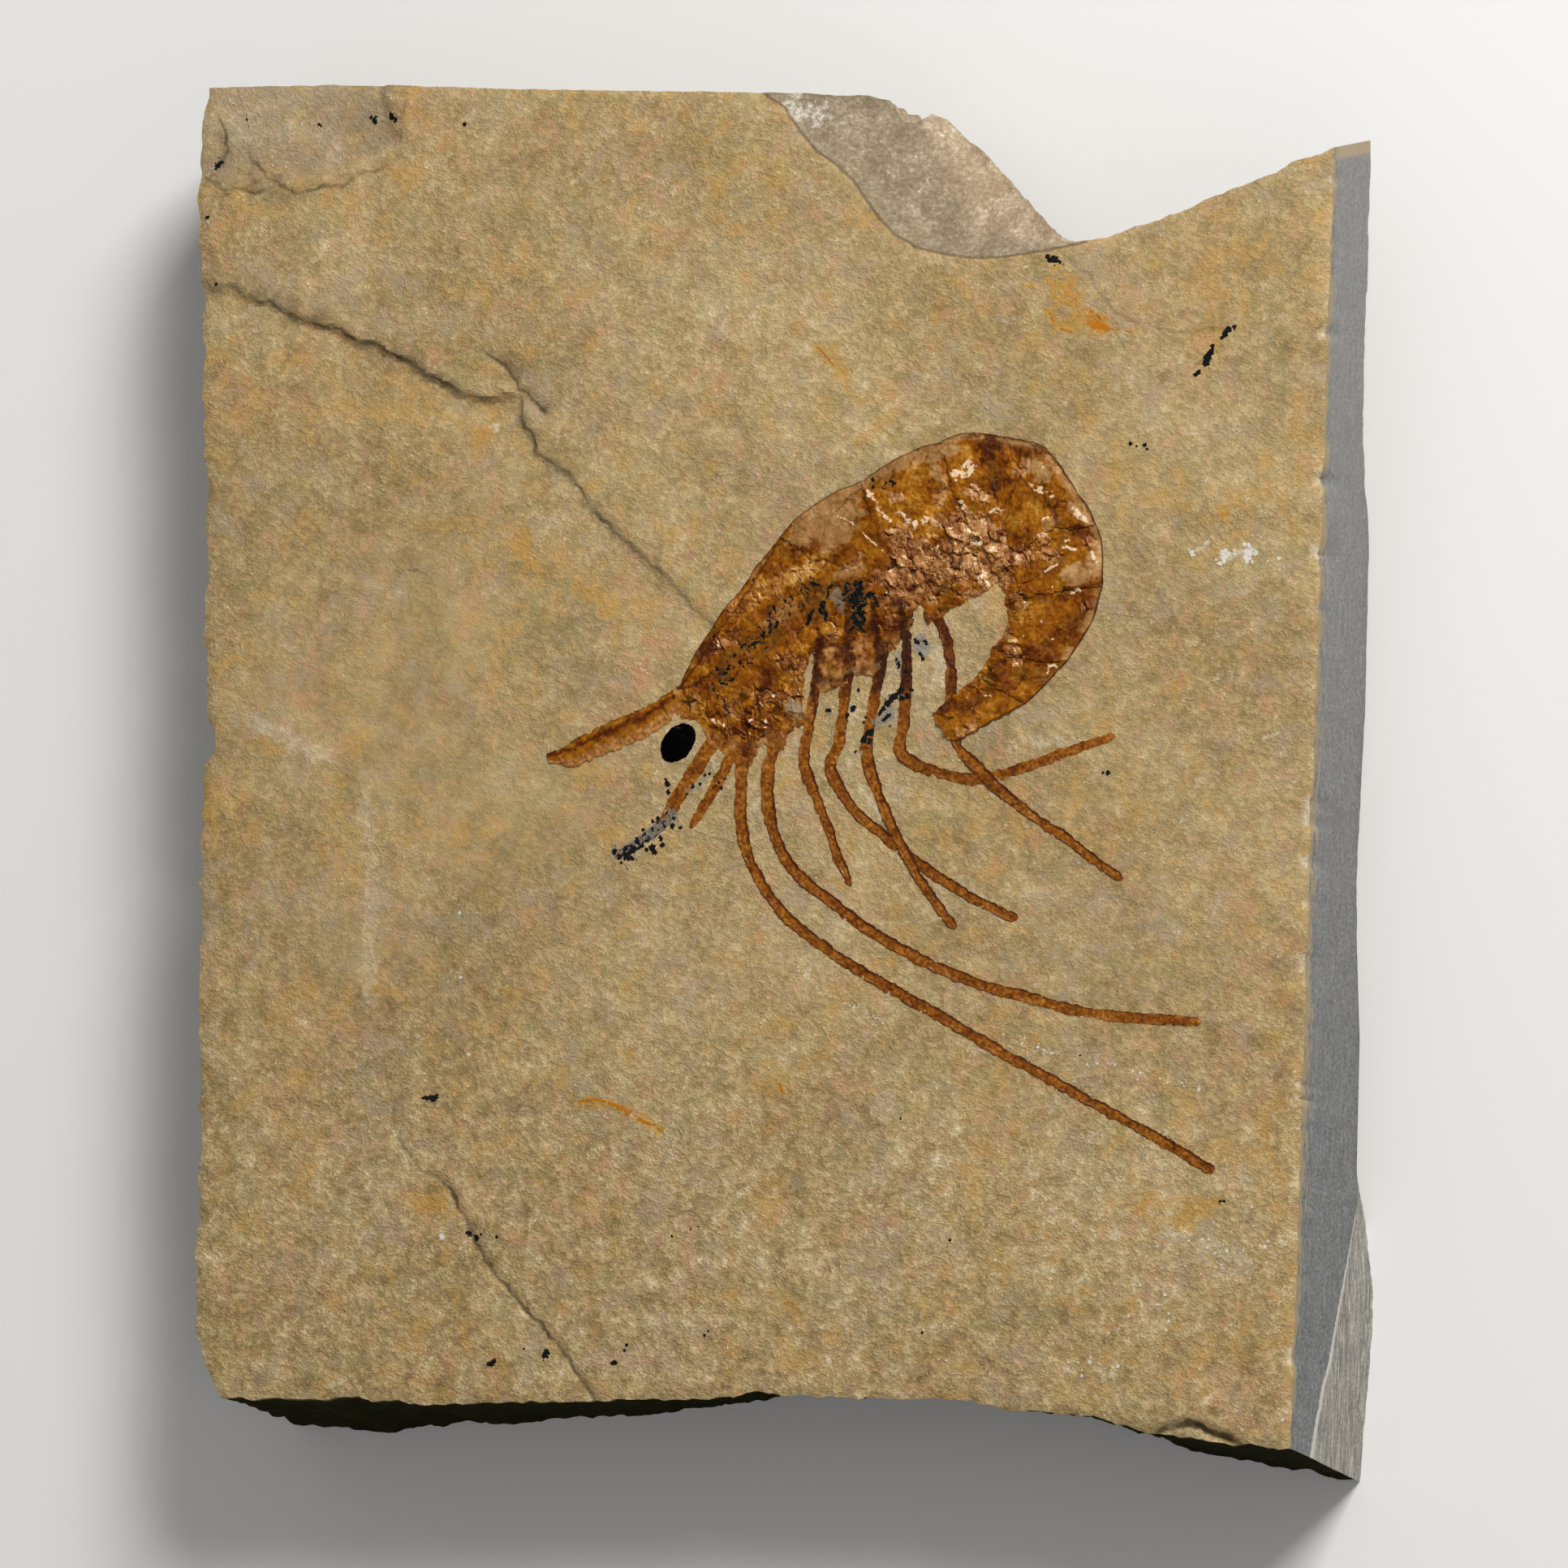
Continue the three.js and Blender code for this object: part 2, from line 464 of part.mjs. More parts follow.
const carapaceBelly = [
  [-5.2, 4.8], [-4.2, 3.9], [-3.3, 3.2], [-2.0, 2.2], [-0.5, 1.7], [1.0, 1.5], [2.4, 2.2], [4.0, 3.0],
  [5.2, 3.9], [5.5, 6.0], [5.7, 8.1], [6.5, 9.4], [8.3, 9.8], [10.4, 10.4], [12.6, 11.1], [14.4, 12.0], [15.7, 13.1],
];

// Crumbled ground near the belly of each segment; a lip where a plate laps over the next one.
const crumble = (u, v, x, y) => (v > 0.5 ? 0.16 : 0.05) * rough(x, y, 1.1, 57) + (u > 0.75 ? 0.08 : 0);

const shellPlates = {
  carapace: {
    first: [[-5.8, 6.2], [-5.4, 5.4], [-5.2, 4.8]], last: joints[0], back: carapaceBack, belly: carapaceBelly,
    cells: [18, 12], shared: [false, true],
    // two low ridges that run back from the head, and a rough belly
    swell: (u, v, x, y) => 0.12 * Math.exp(-(((v - 0.3) / 0.06) ** 2)) * (u > 0.35 ? 1 : 0)
      - 0.14 * Math.exp(-(((v - 0.52) / 0.05) ** 2)) + (v > 0.6 ? 0.14 : 0.04) * rough(x, y, 1.2, 31),
  },
  abdomen_1: { first: joints[0], last: joints[1], back: backs[0], belly: bellies[0], cells: [7, 10], swell: crumble },
  abdomen_2: { first: joints[1], last: joints[2], back: backs[1], belly: bellies[1], cells: [7, 10], swell: crumble },
  abdomen_3: { first: joints[2], last: joints[3], back: backs[2], belly: bellies[2], cells: [8, 9], swell: crumble },
  abdomen_4: { first: joints[3], last: joints[4], back: backs[3], belly: bellies[3], cells: [5, 8], swell: crumble },
  abdomen_5: { first: joints[4], last: joints[5], back: backs[4], belly: bellies[4], cells: [7, 7], swell: (u, v, x, y) => 0.05 * rough(x, y, 1.3, 12) },
  abdomen_6: { first: joints[5], last: joints[6], back: backs[5], belly: bellies[5], cells: [5, 6], swell: (u, v, x, y) => 0.12 * rough(x, y, 0.9, 71) },
  tail_fan: {
    first: joints[6], last: [[19.1, 1.6], [18.2, 2.3], [17.8, 3.1], [17.1, 3.8]],
    back: [[25.4, 4.8], [23.7, 3.9], [22.4, 3.3], [21.2, 2.6], [20.2, 2.0], [19.1, 1.6]],
    belly: [[21.0, 7.2], [19.4, 5.9], [18.2, 4.9], [17.1, 3.8]],
    cells: [9, 8], shared: [true, false], crown: 0.3,
    // blades of the fan
    swell: (u, v) => 0.1 * Math.cos(v * 6 * Math.PI),
  },
  rostrum: {
    first: [[-6.2, 5.9], [-5.9, 5.2], [-5.6, 4.5]], last: [[-17.5, 0.5], [-17.45, 0.15], [-17.3, -0.1]],
    back: [[-6.2, 5.9], [-7.5, 5.3], [-9.0, 4.4], [-10.6, 3.7], [-12.3, 3.1], [-14.1, 2.2], [-15.5, 1.4], [-16.8, 0.7], [-17.5, 0.5]],
    belly: [[-5.6, 4.5], [-6.2, 3.7], [-7.1, 3.0], [-8.8, 1.9], [-10.5, 1.1], [-12.2, 0.6], [-13.9, -0.1], [-15.3, -0.5], [-17.3, -0.1]],
    cells: [14, 4], shared: [false, false], crown: 0.2,
    swell: (u, v) => (v < 0.4 ? 0.06 : 0),
  },
};

const limbs = {
  antennule_1: {
    line: [[-2.4, 1.7], [-3.6, -0.2], [-4.7, -2.0], [-5.8, -3.8], [-7.1, -5.7], [-8.9, -7.0], [-10.9, -8.2]],
    half: [[0, 0.7], [0.5, 0.65], [0.7, 0.5], [1, 0.25]], height: 0.35, samples: 14,
  },
  antennule_2: {
    line: [[-0.6, 0.9], [-1.6, -1.2], [-2.8, -3.5], [-4.2, -5.7]],
    half: [[0, 0.55], [0.6, 0.5], [1, 0.25]], height: 0.3, samples: 8,
  },
  antenna_1: {
    line: [[0.4, 0.8], [0.2, -0.9], [0.2, -4.3], [0.5, -6.4], [1.4, -8.8], [2.9, -11.2], [4.8, -13.3], [7.1, -15.0], [10.1, -17.0],
      [14.5, -19.4], [18.9, -21.6], [23.3, -24.0], [28.4, -26.6], [33.5, -29.2], [37.9, -31.4], [43.3, -34.3]],
    half: [[0, 0.6], [0.2, 0.5], [0.7, 0.42], [1, 0.36]], height: 0.3, samples: 34,
  },
  antenna_2: {
    line: [[3.0, 1.0], [2.6, -1.2], [2.7, -3.7], [3.3, -6.1], [4.5, -8.5], [6.2, -10.2], [8.8, -12.0], [11.4, -13.9], [14.4, -15.6],
      [18.0, -17.3], [22.4, -18.9], [26.7, -20.0], [31.1, -21.0], [36.1, -21.6], [41.7, -21.9]],
    half: [[0, 0.6], [0.2, 0.5], [0.7, 0.42], [1, 0.36]], height: 0.3, samples: 32,
  },
  leg_1: {
    line: [[6.6, 8.3], [6.5, 6.6], [6.3, 3.9], [5.8, 1.5], [5.9, -0.6], [7.0, -3.1], [8.2, -5.8], [9.1, -8.1], [10.4, -10.6]],
    half: [[0, 0.42], [0.35, 0.5], [0.48, 0.58], [0.6, 0.48], [0.9, 0.42], [1, 0.3]], height: 0.38, samples: 20,
  },
  leg_2: {
    line: [[9.7, 9.4], [9.5, 8.0], [9.2, 5.3], [8.8, 1.6], [8.2, -0.4], [8.9, -2.1], [10.6, -4.3], [12.8, -6.1], [14.8, -7.6],
      [16.8, -9.0], [19.6, -10.7], [22.5, -12.2], [25.3, -13.3]],
    half: [[0, 0.5], [0.28, 0.52], [0.34, 0.6], [0.5, 0.48], [0.9, 0.45], [1, 0.36]], height: 0.36, samples: 30,
  },
  leg_3: {
    line: [[12.3, 10.2], [12.4, 9.1], [12.1, 6.6], [11.5, 2.6], [11.4, 0.5], [12.1, -1.8], [13.0, -3.8], [14.1, -6.0], [15.2, -8.0],
      [16.5, -10.1], [18.3, -12.4], [19.8, -14.2]],
    half: [[0, 0.5], [0.32, 0.52], [0.38, 0.6], [0.5, 0.48], [0.9, 0.45], [1, 0.36]], height: 0.36, samples: 36,
    over: { at: [15.0, -7.6], reach: 2.9, ramp: 1.6, lift: 0.42 },
  },
  leg_4: {
    line: [[14.5, 11.0], [14.6, 9.3], [14.6, 5.9], [14.5, 3.2], [14.4, 0.9], [15.7, -0.3], [18.6, -1.2], [21.0, -1.6], [22.9, -1.3],
      [25.9, -0.4], [29.7, 0.9], [33.3, 2.1]],
    half: [[0, 0.5], [0.3, 0.55], [0.36, 0.62], [0.5, 0.48], [0.9, 0.45], [1, 0.36]], height: 0.36, samples: 34,
  },
  leg_5: {
    line: [[17.6, 11.4], [18.1, 10.2], [18.5, 8.4], [18.7, 6.0], [18.8, 3.6], [19.5, 1.2], [21.0, -0.4], [22.8, -2.1], [25.0, -3.8],
      [27.5, -5.4], [30.0, -7.0], [32.1, -8.5], [34.4, -10.0]],
    half: [[0, 0.48], [0.2, 0.5], [0.4, 0.48], [0.46, 0.56], [0.6, 0.46], [0.9, 0.45], [1, 0.36]], height: 0.36, samples: 44,
    over: { at: [21.9, -1.3], reach: 1.6, ramp: 1.5, lift: 0.42 },
    thin: { at: [18.9, 3.2], reach: 2.4, height: 0.2 },
  },
};

const eye = { at: [-5.6, 1.5], half: [1.85, 1.32], turn: 0.86, height: 0.5 };

// ---------- the part ----------

const slots = {
  limestone: { color: 0xae966a, roughness: 0.95 },
  shell: { color: 0x7d4a17, roughness: 0.45 },
  tail: { color: 0x6b3a1c, roughness: 0.6 },
  limb: { color: 0x84592f, roughness: 0.65 },
  eye: { color: 0x0b0908, roughness: 0.35 },
};

const group = new THREE.Group();
group.name = "fossil_shrimp";

function add(name, slot, geometry) {
  geometry.computeVertexNormals();
  const mesh = new THREE.Mesh(geometry, new THREE.MeshStandardMaterial({ ...slots[slot] }));
  mesh.material.name = slot;
  mesh.name = name;
  group.add(mesh);
}

add("slab", "limestone", slab());

for (const [name, shape] of Object.entries(shellPlates)) {
  let solid = toSolid(plate(shape));
  if (name === "tail_fan") {
    // a shallow channel under the fan, for the leg that runs beneath it
    const channel = { ...limbs.leg_5, over: null, thin: null, height: 0.3, half: [[0, 0.62], [1, 0.62]] };
    solid = solid.subtract(toSolid(limb(channel)).translate([0, 0, -0.02]));
  }
  add(name, name === "tail_fan" || name === "abdomen_6" ? "tail" : "shell", fromSolid(solid, 0.004));
}
for (const [name, shape] of Object.entries(limbs)) add(name, "limb", fromSolid(toSolid(limb(shape)), 0.004));
add("eye", "eye", button(eye));

export default group;
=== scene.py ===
import math

import bpy
import numpy as np
from mathutils import Matrix, Vector


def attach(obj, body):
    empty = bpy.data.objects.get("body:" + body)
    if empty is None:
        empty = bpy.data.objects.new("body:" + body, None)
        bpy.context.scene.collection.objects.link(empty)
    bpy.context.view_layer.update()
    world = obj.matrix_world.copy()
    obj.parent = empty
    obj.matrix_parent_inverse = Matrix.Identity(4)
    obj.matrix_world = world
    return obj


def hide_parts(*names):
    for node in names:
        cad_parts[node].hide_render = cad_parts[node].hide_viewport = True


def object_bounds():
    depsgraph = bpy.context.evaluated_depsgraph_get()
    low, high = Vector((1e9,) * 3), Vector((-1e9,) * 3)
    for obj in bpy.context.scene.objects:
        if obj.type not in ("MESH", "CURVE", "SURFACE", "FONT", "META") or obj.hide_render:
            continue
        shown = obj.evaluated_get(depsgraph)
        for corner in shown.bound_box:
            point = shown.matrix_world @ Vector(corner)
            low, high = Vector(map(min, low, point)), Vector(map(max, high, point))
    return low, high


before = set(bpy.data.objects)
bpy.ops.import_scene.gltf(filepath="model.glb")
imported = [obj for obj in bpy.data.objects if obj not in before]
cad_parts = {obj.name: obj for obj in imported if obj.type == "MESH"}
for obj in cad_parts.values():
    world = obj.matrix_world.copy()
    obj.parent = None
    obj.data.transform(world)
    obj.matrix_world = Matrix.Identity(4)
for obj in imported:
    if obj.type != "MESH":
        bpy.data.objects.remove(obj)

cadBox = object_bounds()
mm = 0.001
print("frame loaded")

# All plan sizes are in millimetres in the part's own frame: x to the sawn side, y to the chipped end, z up.

# The main view. The camera stands in it, and the marks and the shell are laid out in it.
mainView = {
    "target": (4.1, -2.0, 17.0),  # the middle of the view, on the split face
    "leanAcross": 20,  # degrees off straight down, toward the sawn side
    "leanAlong": 6,  # degrees toward the lower end
    "distance": 1000,
    "middle": 966,  # the same point in view units, across and down from the upper left corner
    "unit": 0.0684,  # a view unit at the target
}
cameraSetup = {"frameWidth": 132.15, "sensor": 36, "farthest": 20}


def viewAxes(view):  # toward the eye, to the right and up; the slab's x direction comes out level
    across, down = math.radians(view["leanAcross"]), math.radians(view["leanAlong"])
    back = np.array([math.sin(across), -math.sin(down), 0])
    back[2] = math.sqrt(1 - back @ back)
    right = np.cross([0, 1, 0], back)
    right = right / np.linalg.norm(right)
    up = np.cross(back, right)
    roll = math.atan2(up[0], right[0])
    return back, math.cos(roll) * right + math.sin(roll) * up, math.cos(roll) * up - math.sin(roll) * right


def placeCamera(view, setup):
    back, side, top = viewAxes(view)
    place = (np.array(view["target"]) + view["distance"] * back) * mm
    cameraData = bpy.data.cameras.new("camera")
    cameraData.sensor_width = setup["sensor"]
    cameraData.lens = setup["sensor"] * view["distance"] / setup["frameWidth"]
    cameraData.clip_end = setup["farthest"]
    camera = bpy.data.objects.new("camera", cameraData)
    camera.matrix_world = Matrix([*zip(side.tolist(), top.tolist(), back.tolist(), place.tolist()),
        (0, 0, 0, 1)])
    bpy.context.scene.collection.objects.link(camera)
    bpy.context.scene.camera = camera


placeCamera(mainView, cameraSetup)


class Wire:
    def __init__(self, bench, socket):
        self.bench = bench
        self.socket = socket

    def maths(self, operation, first, second):
        return self.bench.add("ShaderNodeMath", {"operation": operation}, {0: first, 1: second})

    def __add__(self, other): return self.maths("ADD", self, other)
    def __radd__(self, other): return self.maths("ADD", other, self)
    def __sub__(self, other): return self.maths("SUBTRACT", self, other)
    def __rsub__(self, other): return self.maths("SUBTRACT", other, self)
    def __mul__(self, other): return self.maths("MULTIPLY", self, other)
    def __rmul__(self, other): return self.maths("MULTIPLY", other, self)
    def high(self, other): return self.maths("MAXIMUM", self, other)
    def low(self, other): return self.maths("MINIMUM", self, other)
    def size(self): return self.high(0 - self)


class Bench:  # one material being made
    def __init__(self, name):
        self.material = bpy.data.materials.new(name)
        self.material.use_nodes = True
        self.tree = self.material.node_tree
        self.tree.nodes.clear()
        self.output = self.tree.nodes.new("ShaderNodeOutputMaterial")

    def add(self, kind, settings=None, sockets=None, out=0):
        node = self.tree.nodes.new(kind)
        for key, value in (settings or {}).items():
            if key == "stops":
                stops = node.color_ramp.elements
                while len(stops) < len(value):
                    stops.new(0.5)
                for stop, (place, colour) in zip(stops, value):
                    stop.position, stop.color = place, tint(colour)
            else:
                setattr(node, key, value)
        for key, value in (sockets or {}).items():
            if isinstance(value, Wire):
                self.tree.links.new(value.socket, node.inputs[key])
            else:
                node.inputs[key].default_value = value
        return Wire(self, node.outputs[out])

    def place(self):  # the point on the part, in millimetres
        spot = self.add("ShaderNodeTexCoord", {}, {}, "Object")
        return self.add("ShaderNodeVectorMath", {"operation": "SCALE"}, {0: spot, "Scale": 1000.0})

    def stretch(self, spot, factors, turn=0):
        return self.add("ShaderNodeMapping", {},
            {"Vector": spot, "Scale": factors, "Rotation": (0, 0, turn)})

    def grain(self, spot, size, detail=2.0, roughness=0.55, warp=0.0):
        return self.add("ShaderNodeTexNoise", {},
            {"Vector": spot, "Scale": 1 / size, "Detail": detail, "Roughness": roughness,
            "Distortion": warp})

    def band(self, value, low, high):  # 0 below low, 1 above high
        return self.add("ShaderNodeMapRange", {"interpolation_type": "SMOOTHSTEP"},
            {"Value": value, "From Min": low, "From Max": high})

    def mask(self, name):
        return self.add("ShaderNodeAttribute", {"attribute_name": name}, {}, "Fac")

    def blend(self, share, first, second, way="MIX"):
        ends = [tint(c) if isinstance(c, (tuple, list)) else c for c in (first, second)]
        return self.add("ShaderNodeMix", {"data_type": "RGBA", "blend_type": way},
            {0: share, 6: ends[0], 7: ends[1]}, 2)

    def ramp(self, value, stops):
        return self.add("ShaderNodeValToRGB", {"stops": stops}, {0: value})

    def stains(self, colour, uneven, layers):  # (mask, from, to, share, colour), each over the one before
        for mask, low, high, share, stain in layers:
            colour = self.blend(self.band(self.mask(mask) + uneven, low, high) * share, colour, stain)
        return colour

    def finish(self, colour, roughness, height=None, depth=0.1, specular=0.5):
        sockets = {"Base Color": colour, "Roughness": roughness, "Specular IOR Level": specular}
        if height is not None:
            sockets["Normal"] = self.add("ShaderNodeBump", {}, {"Height": height, "Distance": depth * mm})
        surface = self.add("ShaderNodeBsdfPrincipled", {}, sockets)
        self.tree.links.new(surface.socket, self.output.inputs["Surface"])
        return self.material


def tint(colour):  # 0-255 values as seen on screen to linear ones
    linear = [((c / 255 + 0.055) / 1.055) ** 2.4 if c > 10 else c / 255 / 12.92 for c in colour[:3]]
    return (*linear, 1.0)


# number helpers, all on arrays

def ease(t):
    t = np.clip(t, 0, 1)
    return t * t * (3 - 2 * t)


def level(table, value):
    table = np.array(table, float)
    return np.interp(value, table[:, 0], table[:, 1])


slopes = {}
noiseGrid = 256  # cells before the noise repeats
flakeGrid = 128


def noise(x, y, size, seed):  # smooth random ground, about -1 to 1
    if seed not in slopes:
        turn = np.random.default_rng(seed).uniform(0, 2 * math.pi, (noiseGrid, noiseGrid))
        slopes[seed] = np.cos(turn), np.sin(turn)
    across, up = slopes[seed]
    px, py = x / size + 400, y / size + 400
    i, j = np.floor(px).astype(int), np.floor(py).astype(int)
    fx, fy = px - i, py - j
    s, t = (f * f * f * (f * (6 * f - 15) + 10) for f in (fx, fy))

    def corner(di, dj):
        a, b = (i + di) % noiseGrid, (j + dj) % noiseGrid
        return across[a, b] * (fx - di) + up[a, b] * (fy - dj)

    low = corner(0, 0) * (1 - s) + corner(1, 0) * s
    high = corner(0, 1) * (1 - s) + corner(1, 1) * s
    return 1.7 * (low * (1 - t) + high * t)


def crumbs(x, y, size, seed, octaves=3, fall=0.5):
    total, gain = 0, 1.0
    for k in range(octaves):
        total = total + gain * noise(x, y, size, seed + k)
        x, y = 0.8 * x + 0.6 * y, 0.8 * y - 0.6 * x
        size, gain = size * 0.49, gain * fall
    return total


# broken bits: the tilt and a random value of each, and how far off the nearest crack is
def flakes(x, y, size, seed):
    rng = np.random.default_rng(seed)
    jitter = rng.uniform(0.1, 0.9, (2, flakeGrid, flakeGrid))
    values = rng.uniform(-1, 1, (3, flakeGrid, flakeGrid))
    px, py = x / size + 400, y / size + 400
    i, j = np.floor(px).astype(int), np.floor(py).astype(int)
    best, second = np.full(x.shape, 9.0), np.full(x.shape, 9.0)
    kept = np.zeros((5,) + x.shape)
    for di in (-1, 0, 1):
        for dj in (-1, 0, 1):
            a, b = (i + di) % flakeGrid, (j + dj) % flakeGrid
            dx, dy = px - i - di - jitter[0, a, b], py - j - dj - jitter[1, a, b]
            far = np.hypot(dx, dy)
            closer = far < best
            second = np.where(closer, best, np.minimum(second, far))
            kept = np.where(closer, np.stack([dx, dy, values[0, a, b], values[1, a, b], values[2, a, b]]),
                kept)
            best = np.where(closer, far, best)
    dx, dy, tiltX, tiltY, value = kept
    return (tiltX * dx + tiltY * dy) * size, value, (second - best) * size


def crumple(x, y):  # the height of crumpled, flaking shell
    bx = x + 0.45 * noise(x, y, 1.1, 661) + 0.1 * noise(x, y, 0.4, 663)
    by = y + 0.45 * noise(x, y, 1.1, 665) + 0.1 * noise(x, y, 0.4, 667)
    large, largeValue, largeCrack = flakes(bx * 0.85 + by * 0.3, by, 1.25, 671)
    small, smallValue, smallCrack = flakes(bx, by * 0.8 - bx * 0.3, 0.55, 681)
    height = (
        0.42 * large + 0.34 * small - 0.10 * (1 - ease(largeCrack / 0.16))
        - 0.05 * (1 - ease(smallCrack / 0.1))
    )
    cracks = np.maximum(1 - ease(largeCrack / 0.13), 0.7 * (1 - ease(smallCrack / 0.08)))
    return height, 0.6 * largeValue + 0.5 * smallValue, cracks


def nearLine(x, y, line):  # distance to a line of points, side (+ is left of its run), share along it
    line = np.array(line, float)
    if len(line) == 1:
        return np.hypot(x - line[0, 0], y - line[0, 1]), np.ones(np.shape(x)), np.zeros(np.shape(x))
    best = np.full(np.shape(x), 1e9)
    side, share = np.zeros(np.shape(x)), np.zeros(np.shape(x))
    lengths = np.hypot(*(line[1:] - line[:-1]).T)
    start = np.concatenate([[0], np.cumsum(lengths)]) / lengths.sum()
    for k in range(len(line) - 1):
        (ax, ay), (bx, by) = line[k], line[k + 1]
        dx, dy = bx - ax, by - ay
        t = np.clip(((x - ax) * dx + (y - ay) * dy) / (dx * dx + dy * dy), 0, 1)
        far = np.hypot(x - ax - t * dx, y - ay - t * dy)
        closer = far < best
        best = np.where(closer, far, best)
        side = np.where(closer, np.sign(dx * (y - ay) - dy * (x - ax)), side)
        share = np.where(closer, start[k] + t * (start[k + 1] - start[k]), share)
    return best, side, share


def lineLength(line):
    return np.hypot(*(line[1:] - line[:-1]).T).sum()


def along(line, share):  # points at shares of a line's length
    line = np.array(line, float)
    lengths = np.hypot(*(line[1:] - line[:-1]).T)
    reach = np.concatenate([[0], np.cumsum(lengths)]) / lengths.sum()
    return np.stack([np.interp(share, reach, line[:, 0]), np.interp(share, reach, line[:, 1])], -1)


def smooth(line, steps=8):  # a curve through the points
    p = np.array(line, float)
    if len(p) < 3:
        return p
    q = np.concatenate([[2 * p[0] - p[1]], p, [2 * p[-1] - p[-2]]])
    t = np.linspace(0, 1, steps, endpoint=False)[:, None]
    runs = []
    for a, b, c, d in zip(q[:-3], q[1:-2], q[2:-1], q[3:]):
        runs.append(0.5 * (2 * b + (c - a) * t + (2 * a - 5 * b + 4 * c - d) * t * t
            + (3 * b - a - 3 * c + d) * t ** 3))
    return np.concatenate(runs + [p[-1:]])


# dabs of (half width, strength, line), with uneven rims
def paint(x, y, marks, seed, ragged=0.55, soft=0.5):
    shape = x.shape
    x, y = x.reshape(-1), y.reshape(-1)
    shiftX, shiftY = crumbs(x, y, 1.1, seed, 3, 0.7), crumbs(x, y, 1.1, seed + 5, 3, 0.7)
    total = np.zeros(len(x))
    for half, strength, line in marks:
        points, reach = np.array(line, float), half * 2 + 0.4
        (left, low), (right, high) = points.min(0) - reach, points.max(0) + reach
        near = (x > left) & (x < right) & (y > low) & (y < high)
        if near.any():
            far = nearLine(x[near] + half * ragged * shiftX[near], y[near] + half * ragged * shiftY[near],
                points)[0]
            dab = strength * (1 - ease((far / half - (1.15 - soft)) / soft))
            total[near] = 1 - (1 - total[near]) * (1 - dab)
    return total.reshape(shape)


def onFace(across, down, height, digits=1):  # a point of the main view, brought down to a height on the part
    back, side, top = viewAxes(mainView)
    target = np.array(mainView["target"])
    eye = target + mainView["distance"] * back
    middle, unit = mainView["middle"], mainView["unit"]
    ray = target + (across - middle) * unit * side + (middle - down) * unit * top - eye
    x, y = (eye + (height - eye[2]) / ray[2] * ray)[:2].tolist()
    return round(x, digits), round(y, digits)


dabUnit = mainView["unit"] * 1.02  # of a half width: the view looks down aslant


def layLines(lines, height):  # a view point, or lists of them, to millimetres
    if isinstance(lines, tuple):
        return onFace(*lines, height)
    return [layLines(line, height) for line in lines]


def layDabs(dabs, height, unit=1):  # (half width, strength, line of view points) to millimetres
    return [(round(half * unit, 2), strength, layLines(line, height)) for half, strength, line in dabs]


def laySpots(spots, height):  # (across, down, radius) in view units to millimetres
    return [(*onFace(across, down, height, 2), round(radius * dabUnit, 2)) for across, down, radius in spots]


def meshPiece(name, points, faces, masks, materials, sharp=None, pick=None):
    mesh = bpy.data.meshes.new(name)
    mesh.from_pydata((np.asarray(points) * mm).tolist(), [], faces)
    mesh.update()
    for key, values in masks.items():
        mesh.attributes.new(key, "FLOAT", "POINT").data.foreach_set("value", np.asarray(values, np.float32))
    mesh.shade_smooth()
    if sharp:
        mesh.set_sharp_from_angle(angle=math.radians(sharp))
    for material in materials:
        mesh.materials.append(material)
    if pick is not None:
        mesh.polygons.foreach_set("material_index", np.asarray(pick, np.int32))
    piece = bpy.data.objects.new(name, mesh)
    bpy.context.scene.collection.objects.link(piece)
    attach(piece, "root")
    return piece


def quads(rows, columns, first=0, flip=False):
    i, j = np.meshgrid(np.arange(rows - 1), np.arange(columns - 1), indexing="ij")
    a = first + i * columns + j
    order = (a, a + columns, a + columns + 1, a + 1) if flip else (a, a + 1, a + columns + 1, a + columns)
    return np.stack(order, -1).reshape(-1, 4).tolist()


